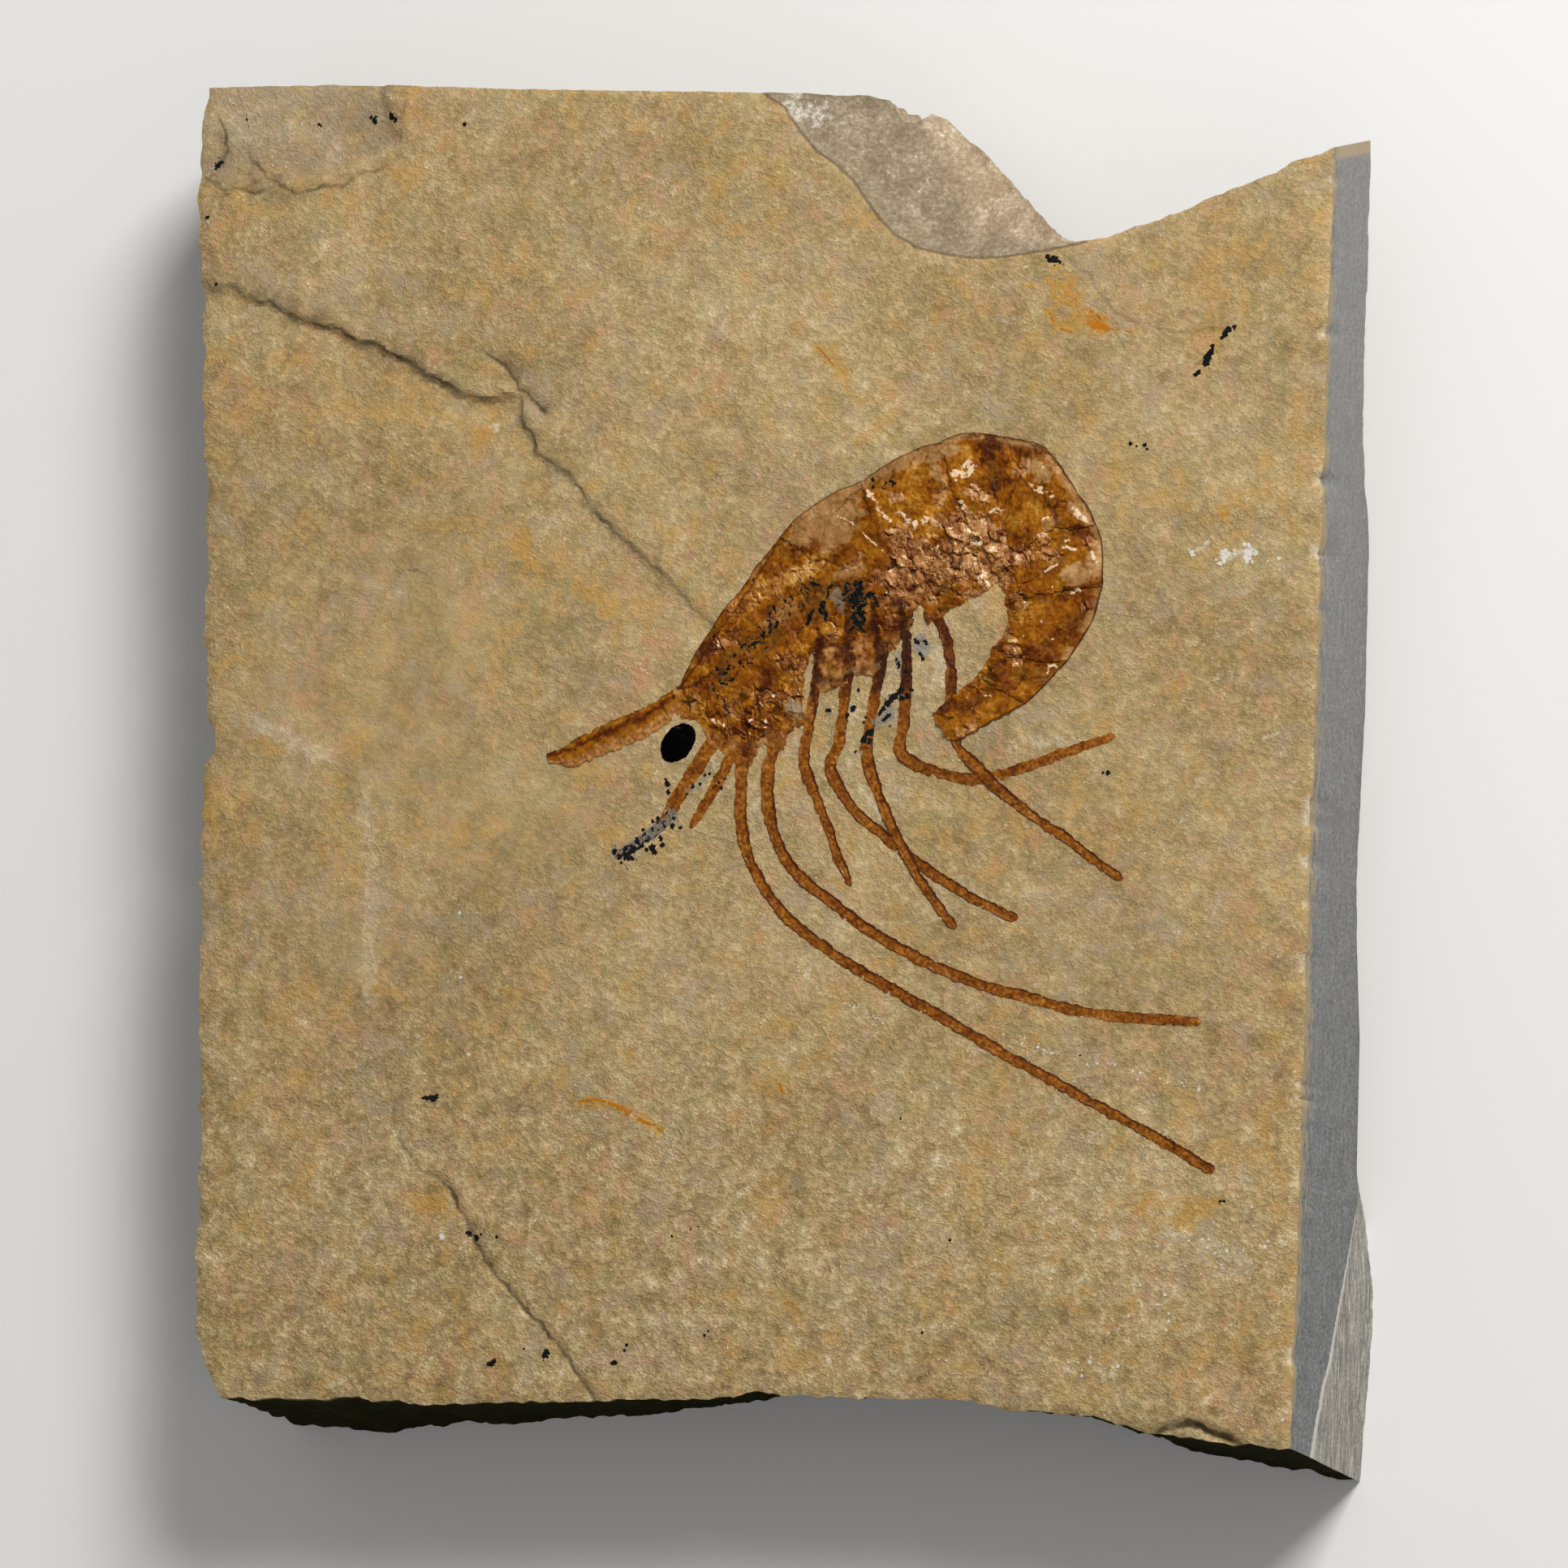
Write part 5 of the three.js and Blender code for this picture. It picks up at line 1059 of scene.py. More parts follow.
shellLines = {
    "joints": [
        [(1064, 592), (1080, 618), (1094, 640), (1104, 665), (1112, 690), (1122, 718), (1134, 746)],
        [(1157, 545), (1167, 580), (1182, 620), (1183, 655), (1180, 700), (1185, 742)],
        [(1260, 542), (1253, 580), (1246, 615), (1238, 650), (1226, 690), (1213, 729)],
        [(1350, 645), (1325, 652), (1300, 650), (1275, 665), (1252, 690), (1230, 717)],
        [(1359, 722), (1335, 724), (1305, 727), (1272, 734), (1240, 744)],
        [(1316, 812), (1295, 816), (1270, 812), (1245, 805), (1222, 798)],
        [(1264, 867), (1245, 857), (1225, 845), (1205, 832)],
    ],
    "backs": [
        [(1064, 592), (1085, 577), (1110, 562), (1135, 551), (1157, 545)],
        [(1157, 545), (1172, 538), (1190, 534), (1210, 534), (1235, 537), (1260, 542)],
        [(1260, 542), (1282, 547), (1297, 562), (1312, 582), (1330, 610), (1343, 628), (1350, 645)],
        [(1350, 645), (1356, 665), (1359, 690), (1359, 722)],
        [(1359, 722), (1353, 742), (1346, 765), (1333, 788), (1316, 812)],
        [(1316, 812), (1298, 833), (1282, 850), (1264, 867)],
    ],
    "bellies": [
        [(1134, 746), (1143, 768), (1160, 758), (1185, 742)],
        [(1185, 742), (1200, 735), (1213, 729)],
        [(1213, 729), (1222, 722), (1230, 717)],
        [(1230, 717), (1237, 730), (1240, 744)],
        [(1240, 744), (1242, 765), (1236, 785), (1222, 798)],
        [(1222, 798), (1215, 815), (1205, 832)],
    ],
    "carapaceBack": [(835, 848), (848, 822), (862, 795), (880, 768), (897, 745), (913, 725), (928, 703),
        (944, 684), (960, 663), (976, 643), (992, 630), (1012, 616), (1032, 604), (1052, 598), (1064, 592)],
    "carapaceBelly": [(842, 868), (855, 880), (868, 890), (885, 905), (905, 912), (925, 915), (945, 905),
        (968, 893), (985, 880), (990, 850), (993, 820), (1005, 800), (1030, 795), (1060, 785), (1090, 775),
        (1115, 762), (1134, 746)],
    "tailBack": [(1264, 867), (1240, 880), (1222, 889), (1205, 899), (1190, 907), (1175, 913)],
    "tailEnd": [(1175, 913), (1163, 903), (1158, 892), (1149, 881)],
    "tailBelly": [(1205, 832), (1182, 851), (1165, 866), (1149, 881)],
}

# dabs of colour and texture on the shell, with painted highlights among them: half width in view units,
# strength, view points
shellDabs = {
    "gold": [
        (26, 0.75, [(1098, 618), (1128, 600), (1150, 622)]),
        (12, 0.7, [(1090, 625), (1110, 648), (1140, 652)]),
        (14, 0.55, [(1260, 640), (1285, 635), (1290, 655)]), (8, 0.6, [(1195, 690), (1210, 712)]),
        (10, 0.5, [(1190, 560), (1180, 600)]), (10, 0.55, [(1270, 765), (1290, 750)]),
        (14, 0.45, [(1000, 700), (960, 720), (935, 735)]), (10, 0.5, [(1060, 670), (1090, 690)]),
        (9, 0.5, [(1150, 745), (1160, 755)]), (10, 0.4, [(860, 815), (850, 830)]),
        (12, 0.45, [(1020, 770), (985, 790)]), (8, 0.5, [(1330, 680), (1322, 695)]),
    ],
    "umber": [
        (15, 0.85, [(1216, 556), (1232, 575), (1226, 598)]),
        (7, 0.6, [(1192, 543), (1240, 546), (1275, 556)]),
        (9, 0.6, [(1305, 620), (1300, 640), (1318, 652), (1348, 660)]),
        (12, 0.5, [(1300, 790), (1330, 760), (1345, 738)]),
        (14, 0.6, [(1185, 868), (1240, 825), (1290, 805)]), (8, 0.7, [(1165, 872), (1185, 862)]),
        (8, 0.5, [(1240, 660), (1262, 672)]), (9, 0.5, [(905, 765), (930, 730)]),
        (9, 0.6, [(880, 790), (860, 812)]), (6, 0.5, [(955, 705), (968, 700)]),
        (10, 0.4, [(1095, 672), (1075, 655)]), (6, 0.6, [(1010, 792), (1003, 820), (1001, 858)]),
        (7, 0.55, [(1047, 765), (1046, 800), (1044, 830)]),
        (6, 0.7, [(1076, 748), (1082, 790), (1083, 830)]),
        (7, 0.7, [(1104, 742), (1113, 780), (1117, 820)]), (8, 0.45, [(940, 835), (960, 860), (985, 850)]),
        (8, 0.5, [(925, 880), (905, 900)]), (5, 0.5, [(1298, 738), (1340, 735)]),
    ],
    "rosy": [
        (20, 0.9, [(1112, 692), (1150, 702), (1185, 700)]),
        (17, 0.85, [(1178, 655), (1215, 650), (1232, 668)]), (15, 0.9, [(1235, 695), (1262, 682)]),
        (12, 0.8, [(1085, 712), (1115, 725), (1150, 735)]), (13, 0.75, [(1195, 735), (1215, 742)]),
        (9, 0.8, [(1195, 605), (1215, 612)]), (8, 0.7, [(1265, 568), (1255, 582)]),
        (10, 0.7, [(1285, 665), (1297, 690)]), (8, 0.7, [(1340, 665), (1352, 672)]),
        (12, 0.6, [(1060, 690), (1045, 702)]), (7, 0.7, [(1110, 612), (1100, 612)]),
        (8, 0.6, [(1262, 742), (1250, 735)]), (7, 0.7, [(1335, 747)]), (8, 0.6, [(1155, 620), (1165, 600)]),
        (10, 0.55, [(1028, 785), (1020, 800)]), (9, 0.6, [(1245, 795), (1255, 815)]),
        (12, 0.5, [(965, 810), (985, 825)]), (9, 0.5, [(935, 855), (975, 860)]),
        (9, 0.6, [(1200, 895), (1185, 905)]), (7, 0.7, [(1095, 765), (1100, 790)]),
        (10, 0.6, [(885, 795), (905, 785)]), (11, 0.6, [(1120, 745), (1090, 740)]),
        (7, 0.6, [(895, 870), (905, 880)]),
    ],
    "pale": [
        (12, 0.9, [(985, 640), (1030, 612), (1075, 583), (1120, 562), (1165, 553)]),
        (19, 0.85, [(985, 660), (1020, 645), (1050, 632)]), (13, 0.7, [(1020, 672), (1040, 660)]),
        (9, 0.7, [(1178, 552), (1172, 560)]), (12, 0.85, [(1272, 572), (1290, 585)]),
        (9, 0.9, [(1322, 622), (1345, 642)]), (13, 0.95, [(1318, 708), (1352, 702)]),
        (9, 0.8, [(1345, 685), (1352, 690)]), (8, 0.8, [(1150, 570), (1160, 590)]),
        (8, 0.6, [(940, 685), (925, 705)]), (13, 0.7, [(1225, 755), (1235, 775)]),
        (9, 0.6, [(1060, 700), (1035, 708)]), (10, 0.5, [(975, 745), (945, 770)]), (7, 0.6, [(985, 875)]),
        (8, 0.5, [(1300, 640), (1290, 648)]), (8, 0.5, [(1105, 810), (1100, 780)]),
    ],
    "dark": [
        (2, 0.85, [(836, 848), (858, 818), (880, 785), (904, 755), (928, 716), (944, 692), (958, 668),
            (966, 654)]),
        (2.2, 0.9, [(1141, 550), (1158, 546)]),
        (2.2, 0.8, [(1184, 539), (1200, 535), (1240, 538), (1270, 546), (1290, 558), (1303, 574),
            (1318, 592), (1334, 618), (1350, 645)]),
        (1.6, 0.6, [(1350, 645), (1358, 668), (1360, 700), (1352, 735)]),
        (2.2, 0.8, [(1163, 562), (1168, 585), (1173, 603), (1180, 616), (1187, 630)]),
        (1.5, 0.5, [(1170, 575), (1180, 590)]),
        (2, 0.75, [(1257, 585), (1251, 600), (1245, 612), (1238, 622)]),
        (1.6, 0.6, [(1238, 640), (1240, 668), (1246, 690)]),
        (2.2, 0.8, [(1300, 572), (1310, 580), (1328, 605)]),
        (2.2, 0.75, [(1322, 618), (1305, 617), (1298, 628), (1303, 643), (1315, 651), (1346, 649)]),
        (2.4, 0.8, [(1308, 727), (1332, 724), (1356, 719)]), (1.8, 0.7, [(1308, 727), (1298, 740)]),
        (3.4, 0.95, [(1161, 676), (1172, 688), (1180, 697)]),
        (2.2, 0.9, [(1183, 694), (1188, 674), (1203, 665), (1214, 678), (1221, 694)]),
        (2, 0.8, [(1232, 692), (1242, 704), (1248, 716)]),
        (2.6, 0.95, [(1141, 717), (1160, 723), (1180, 730)]),
        (1.8, 0.8, [(1122, 690), (1131, 703), (1146, 710)]), (1.8, 0.75, [(1180, 662), (1200, 664)]),
        (1.6, 0.7, [(1150, 700), (1168, 712)]),
        (1.8, 0.8, [(1255, 728), (1266, 735), (1260, 748), (1248, 755)]),
        (2.2, 0.8, [(963, 665), (975, 671), (986, 677), (996, 689)]),
        (2.6, 0.95, [(999, 693), (1012, 692)]),
        (2.2, 0.8, [(1008, 684), (1016, 692), (1034, 697), (1056, 697)]),
        (1.6, 0.6, [(1016, 650), (1013, 668), (1004, 682)]),
        (1.9, 0.8, [(1030, 631), (1040, 620), (1049, 609)]),
        (1.9, 0.7, [(1062, 596), (1066, 612), (1074, 640)]),
        (2.6, 0.9, [(836, 847), (851, 845), (862, 838), (873, 832)]), (1.9, 0.8, [(848, 858), (850, 875)]),
        (1.6, 0.7, [(810, 862), (822, 884)]), (3.2, 0.9, [(999, 845), (1003, 862), (1003, 890)]),
        (2.6, 0.85, [(1004, 796), (1030, 796), (1050, 800)]), (3, 0.8, [(1003, 800), (1002, 830)]),
        (2.2, 0.75, [(1078, 745), (1082, 775)]), (2.6, 0.8, [(1104, 735), (1120, 745)]),
        (2, 0.7, [(1110, 800), (1118, 830)]), (2.4, 0.8, [(955, 872), (968, 878)]),
        (2.2, 0.75, [(932, 862), (934, 880)]),
        (1.8, 0.7, [(1225, 790), (1245, 795), (1262, 797), (1282, 808)]),
        (2.2, 0.7, [(1165, 865), (1150, 880), (1172, 886)]), (1.8, 0.7, [(1262, 830), (1250, 850)]),
        (1.8, 0.65, [(1172, 856), (1200, 842), (1222, 824)]), (1.8, 0.7, [(1260, 838), (1292, 832)]),
        (1.6, 0.6, [(1215, 865), (1226, 880)]), (2.2, 0.7, [(1110, 762), (1122, 760)]),
        (1.7, 0.7, [(1212, 640), (1226, 646)]), (1.7, 0.65, [(1222, 603), (1230, 618)]),
        (1.6, 0.6, [(1290, 700), (1275, 712)]), (1.6, 0.6, [(1270, 845), (1288, 838), (1296, 826)]),
        (1.5, 0.6, [(1100, 650), (1130, 655), (1150, 640)]), (1.6, 0.6, [(1262, 560), (1266, 590)]),
    ],
    "ash": [
        (7, 0.7, [(1030, 735), (1034, 748)]), (8, 0.65, [(1100, 872), (1086, 888)]),
        (4, 0.5, [(1110, 858)]), (5, 0.5, [(1062, 768)]),
    ],
    # painted highlights: pale glints laid where the shell shines
    "glint": [
        (3.2, 0.95, [(1068, 606), (1075, 613)]), (1.4, 0.9, [(1076, 613), (1084, 627), (1091, 638)]),
        (2.2, 0.9, [(1091, 637), (1096, 642)]),
        (1.1, 0.75, [(1032, 637), (1046, 642), (1060, 653), (1075, 668), (1090, 679)]),
        (2.4, 0.85, [(1106, 631), (1112, 634), (1117, 641), (1130, 645)]),
        (2.6, 0.95, [(1138, 646), (1143, 639)]), (3.6, 0.95, [(1176, 585), (1192, 586), (1203, 573)]),
        (2.4, 0.9, [(1186, 578), (1194, 570)]), (2.6, 0.9, [(1268, 597), (1280, 604), (1295, 605)]),
        (2, 0.8, [(1296, 612)]), (2.4, 0.8, [(1184, 617), (1190, 630)]),
        (3, 0.7, [(1220, 631), (1234, 627)]), (1.8, 0.8, [(1170, 652), (1175, 644)]),
        (3.4, 0.75, [(1196, 672), (1207, 667)]), (2, 0.7, [(1192, 702), (1200, 698)]),
        (2.6, 0.85, [(1206, 713), (1216, 705)]), (1.8, 0.8, [(1284, 640), (1290, 638)]),
        (1.8, 0.85, [(1310, 674), (1326, 677)]), (1.6, 0.7, [(1312, 668), (1318, 664)]),
        (3.4, 0.7, [(1346, 684), (1350, 690)]), (1.8, 0.8, [(1287, 703), (1302, 697)]),
        (1.8, 0.7, [(1320, 729), (1330, 727)]), (2, 0.8, [(1296, 723)]),
        (3.4, 0.75, [(1326, 630), (1338, 642)]), (2.4, 0.6, [(1284, 574), (1290, 570)]),
        (2, 0.85, [(1290, 828), (1294, 820), (1303, 822)]), (1.6, 0.8, [(1283, 765)]),
        (1.6, 0.8, [(1260, 784)]), (1.6, 0.8, [(1297, 787)]), (1.4, 0.85, [(1211, 858), (1219, 858)]),
        (1.7, 0.9, [(1199, 872)]), (2.2, 0.7, [(1248, 820)]), (1.6, 0.8, [(1251, 812)]),
        (1.5, 0.7, [(1235, 856)]), (1.5, 0.7, [(1215, 745)]), (2, 0.7, [(1128, 735)]),
        (1.6, 0.6, [(990, 816)]), (1.8, 0.7, [(968, 815)]), (1.6, 0.6, [(1096, 704)]),
        (1.8, 0.6, [(1140, 690)]), (1.6, 0.6, [(1160, 688)]), (1.5, 0.6, [(1080, 676)]),
        (1.6, 0.7, [(1215, 710)]), (1.4, 0.7, [(1215, 652)]), (1.6, 0.6, [(1265, 745)]),
        (1.4, 0.7, [(1260, 742), (1268, 738)]), (1.8, 0.6, [(1178, 590)]), (1.6, 0.7, [(1085, 642)]),
        (1.3, 0.7, [(937, 865), (940, 872)]), (1.3, 0.6, [(949, 852), (956, 862)]),
    ],
}
# blots of ink on the shell: a view point and a radius in view units
inkBlots = [
    (1097, 597, 5), (1090, 598, 3), (1075, 600, 2.2), (1075, 590, 2), (1058, 722, 4), (1055, 733, 6.5),
    (1060, 744, 5), (1048, 738, 4), (1052, 751, 4.5), (1061, 757, 5), (1058, 768, 5), (1050, 774, 2.6),
    (1064, 776, 2.4), (1071, 735, 3.6), (1066, 743, 2.6), (1041, 722, 2.4), (1038, 736, 3), (1042, 729, 2),
    (1033, 745, 2), (1014, 747, 3), (1015, 757, 4.4), (1018, 764, 2.6), (1024, 721, 2.2), (1020, 729, 2.2),
    (1016, 736, 2.2), (1012, 742, 1.8), (1005, 721, 3), (1000, 719, 2), (988, 720, 2.6), (995, 726, 2.2),
    (994, 740, 1.9), (987, 745, 2.1), (984, 754, 2.1), (977, 739, 1.6), (968, 742, 2), (955, 748, 2.6),
    (950, 755, 2), (972, 758, 2.2), (950, 775, 3.5), (957, 769, 2.5), (996, 767, 2.8), (1003, 752, 2),
    (998, 758, 2), (990, 772, 1.6), (968, 792, 1.6), (936, 783, 3.4), (930, 792, 3), (924, 797, 2.2),
    (915, 795, 3), (905, 808, 4), (911, 817, 3), (918, 822, 2), (897, 822, 2.6), (890, 828, 4),
    (884, 824, 2), (904, 838, 2.5), (892, 842, 3), (881, 850, 3.4), (883, 860, 2.4), (940, 792, 2.2),
    (945, 800, 1.8), (925, 812, 1.8), (1130, 764, 5), (1125, 759, 3), (1136, 774, 3), (1133, 781, 2),
    (1122, 770, 2), (1136, 808, 2.6), (1132, 800, 1.8), (1122, 852, 2.6), (1116, 856, 3), (1110, 860, 3),
    (1104, 863, 3), (1098, 870, 3), (1083, 888, 2.2), (1078, 893, 2.4), (1072, 900, 3.2), (1068, 908, 3.6),
    (1064, 913, 3.2), (1071, 914, 2.6), (1118, 838, 2.2), (1115, 828, 2), (1108, 845, 1.8), (1095, 812, 2),
    (1101, 806, 1.6), (1080, 742, 2), (1090, 735, 1.6), (1022, 862, 1.4), (955, 838, 1.8),
]

shellTop = 17.1  # the height that the marks are brought down to
shellMarks = {key: layDabs(dabs, shellTop, dabUnit) for key, dabs in shellDabs.items()}
shellMarks["ink"] = [(1.15 * radius, 1.0, [(x, y)]) for x, y, radius in laySpots(inkBlots, shellTop)]
# finer marks, placed in millimetres: half width, strength, line
shellMarks["ink"] += [
    (0.3, 1, [(10.2, 15.1), (10.3, 14.5)]), (0.5, 1, [(10, 14.2), (10.2, 13.7)]),
    (0.35, 1, [(9.6, 14.1), (10.5, 13.5)]), (0.3, 1, [(9.8, 13.3), (10.2, 12.7), (10.7, 12.4)]),
    (0.17, 1, [(10, 12.4), (9.8, 11.9), (10.1, 11.4)]),
    (0.17, 1, [(10.5, 12.4), (10.7, 11.8), (10.4, 11.1)]), (0.15, 1, [(10, 11.8), (10.7, 11.5)]),
    (0.2, 1, [(7.8, 14.9), (7.4, 14.5), (7.2, 13.9)]), (0.28, 1, [(7, 13.4), (7, 12.9), (7.2, 12.3)]),
    (0.22, 1, [(6.3, 14.8), (6.8, 14.8)]), (0.22, 1, [(6.1, 12.5), (5.9, 11.9)]),
    (0.3, 1, [(10.9, 14), (11.4, 13.8)]), (0.24, 1, [(9, 14.7), (8.9, 14.2)]),
    (0.14, 1, [(11.8, 13.5), (12, 13.1)]),
    (0.3, 1, [(15.1, 12.3), (15.5, 11.6)]), (0.22, 1, [(15.5, 11.6), (15.8, 10.8)]),
    (0.16, 1, [(15.9, 12.4), (16.2, 11.9)]),
]
shellMarks["ash"] += [(0.5, 0.9, [(8.3, 14.2), (8.6, 13.4)])]
shellMarks["rosy"] += [(1.3, 0.8, [(13.7, 19), (16.7, 17), (20.3, 16.9), (22.2, 14.9)]),
    (0.9, 0.7, [(17.3, 20), (20.2, 20.4)]), (1.0, 0.35, [(-1, 13), (2.9, 15.2), (5.9, 16.4)])]
shellMarks["pale"] += [(0.7, 0.95, [(4.4, 4.8), (5.2, 3.9)])]
shellMarks["ash"] += [(0.5, 0.7, [(4.6, 4.6), (5.2, 4.1)])]
shellMarks["gold"] += [(1.3, 0.8, [(-1, 13), (2.9, 15.2), (5.9, 16.4)])]
shellMarks["dark"] += [
    (0.36, 0.95, [(9.2, 9.4), (9.2, 13.4)]), (0.38, 1, [(11.9, 9.4), (11.6, 12.9)]),
    (0.38, 1, [(14.3, 9.4), (14.1, 13.4)]), (0.34, 0.9, [(6.6, 9), (6.8, 11)]),
    (0.3, 0.75, [(-1.5, 5.3), (-1.1, 2.6)]), (0.32, 0.75, [(-0.2, 6), (0.4, 2.2)]),
    (0.3, 0.8, [(1.5, 6), (1.9, 2.2)]), (0.3, 0.6, [(3.3, 5.6), (3.1, 3)]),
]

shellSetup = {
    "cell": 0.085,
    # thickness from a plate's front edge to its hind edge
    "film": [(0, 0.12), (0.04, 0.15), (0.5, 0.26), (0.93, 0.3), (1, 0.27)],
    "edge": 0.07,
    "bottom": 16.3,  # the plates' undersides, inside the stone
    "highest": 17.9,
    "rounds": 250,  # of evening out a plate's cells
}

lines = {key: layLines(value, slabShape["face"]) for key, value in shellLines.items()}
plates = {
    "carapace": {"first": [(-5.8, 6.2), (-5.4, 5.4), (-5.2, 4.8)], "last": lines["joints"][0],
        "back": lines["carapaceBack"], "belly": lines["carapaceBelly"]},
    "rostrum": {
        "first": [(-6.2, 5.9), (-5.9, 5.2), (-5.6, 4.5)],
        "last": [(-17.5, 0.5), (-17.45, 0.15), (-17.3, -0.1)],
        "back": [(-6.2, 5.9), (-7.5, 5.3), (-9.0, 4.4), (-10.6, 3.7), (-12.3, 3.1), (-14.1, 2.2),
            (-15.5, 1.4), (-16.8, 0.7), (-17.5, 0.5)],
        "belly": [(-5.6, 4.5), (-6.2, 3.7), (-7.1, 3.0), (-8.8, 1.9), (-10.5, 1.1), (-12.2, 0.6),
            (-13.9, -0.1), (-15.3, -0.5), (-17.3, -0.1)],
    },
    "tail_fan": {
        "first": lines["joints"][6], "last": lines["tailEnd"],
        "back": lines["tailBack"], "belly": lines["tailBelly"],
    },
}
for k in range(6):
    plates[f"abdomen_{k + 1}"] = {"first": lines["joints"][k], "last": lines["joints"][k + 1],
        "back": lines["backs"][k], "belly": lines["bellies"][k]}


def raggedSpot(x, y):  # the same shift for every piece, so that shared edges stay together
    back = smooth(lines["carapaceBack"][:-1] + sum(lines["backs"], []), 2)
    toBack = nearLine(x, y, back)[0]
    reach = 0.035 + 0.13 * ease((toBack - 0.4) / 2.5)
    return x + reach * crumbs(x, y, 0.9, 501, 3, 0.7), y + reach * crumbs(x, y, 0.9, 505, 3, 0.7)


def spanLines(first, last, back, belly, cell):  # a grid of points between four lines
    first, last, back, belly = (smooth(line) for line in (first, last, back, belly))
    nu = int(max(lineLength(back), lineLength(belly)) / cell) + 2
    nv = int(max(lineLength(first), lineLength(last)) / cell) + 2
    u, v = np.linspace(0, 1, nu), np.linspace(0, 1, nv)
    a, b, c, d = along(first, v), along(last, v), along(back, u), along(belly, u)
    runShare, crossShare = u[:, None, None], v[None, :, None]
    grid = (
        (1 - runShare) * a[None] + runShare * b[None] + (1 - crossShare) * c[:, None]
        + crossShare * d[:, None]
    )
    atBack = (1 - runShare) * a[0] + runShare * b[0]
    atBelly = (1 - runShare) * a[-1] + runShare * b[-1]
    grid = grid - ((1 - crossShare) * atBack + crossShare * atBelly)
    for _ in range(shellSetup["rounds"]):
        grid[1:-1, 1:-1] = 0.25 * (grid[:-2, 1:-1] + grid[2:, 1:-1] + grid[1:-1, :-2] + grid[1:-1, 2:])
    return grid, u, v


def sheetPiece(name, x, y, z, masks, material, node):  # a closed film with its underside in the stone
    rows, columns = x.shape
    index = np.arange(rows * columns).reshape(rows, columns)
    loop = np.concatenate([index[0, :-1], index[:-1, -1], index[-1, :0:-1], index[:0:-1, 0]])
    rimX, rimY = x.reshape(-1)[loop], y.reshape(-1)[loop]
    area = (rimX * np.roll(rimY, -1) - rimY * np.roll(rimX, -1)).sum()
    count = rows * columns
    faces = quads(rows, columns, flip=area < 0)
    under = np.arange(count, count + len(loop))
    wall = np.stack([loop, under, np.roll(under, -1), np.roll(loop, -1)], -1)
    faces += (wall[:, ::-1] if area < 0 else wall).tolist()
    faces.append((under if area < 0 else under[::-1]).tolist())
    points = np.concatenate([np.stack([x, y, z], -1).reshape(-1, 3),
        np.stack([rimX, rimY, rimX * 0 + shellSetup["bottom"]], -1)])
    values = {}
    for key, value in masks.items():
        values[key] = np.concatenate([value.reshape(-1), value.reshape(-1)[loop]])
    piece = meshPiece(name, points, faces, values, [material], sharp=55)
    if node:
        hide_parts(node)
    return piece


# where fine ink dust lies on the carapace: half width, strength, line
pepperTrail = [
    (1.0, 1, [(-2.3, 6.8), (0.2, 8.8), (1.4, 10.2), (3.1, 12.8)]),
    (0.8, 1, [(3.1, 12.8), (4.6, 13.6), (6.4, 14.9)]),
]


def shellMasks(x, y):
    m = {}
    for k, key in enumerate(("gold", "umber", "rosy", "pale")):
        m[key] = paint(x, y, shellMarks[key], 511 + 10 * k)
    m["dark"] = paint(x, y, shellMarks["dark"], 561, 0.9, 0.7)
    m["ink"] = paint(x, y, shellMarks["ink"], 571, 1.1, 0.7) * (0.9 + 0.8 * crumbs(x, y, 0.28, 575, 2))
    peppered = paint(x, y, pepperTrail, 573, 0.6, 0.9)
    m["ink"] = np.maximum(m["ink"],
        ease((crumbs(x, y, 0.3, 579, 2, 0.6) - 0.62 + 0.25 * peppered) / 0.2) * ease(peppered * 3) * 0.9)
    m["soot"] = paint(x, y, [(2.4 * r, 0.5, line) for r, strength, line in shellMarks["ink"]], 577, 0.6, 1.1)
    m["ash"] = paint(x, y, shellMarks["ash"], 581)
    # painted highlights, from the glint dabs
    m["glint"] = paint(x, y, [(1.35 * half, strength, line) for half, strength, line in shellMarks["glint"]],
        591, 0.8, 0.7)
    m["tone"] = 0.5 + 0.26 * m["gold"] - 0.29 * m["umber"] + 0.14 * crumbs(x, y, 1.7, 601, 3, 0.75)
    m["tone"] = m["tone"] + 0.08 * crumbs(x, y, 0.35, 611, 2)
    m["moss"] = ease(crumbs(x, y, 2.1, 615, 3, 0.7) - 0.1)
    return m


plateTones = {
    "carapace": -0.09, "abdomen_1": -0.09, "abdomen_3": -0.01, "abdomen_4": -0.02, "abdomen_5": -0.04,
    "abdomen_6": -0.02,
    "tail_fan": 0.05,
}


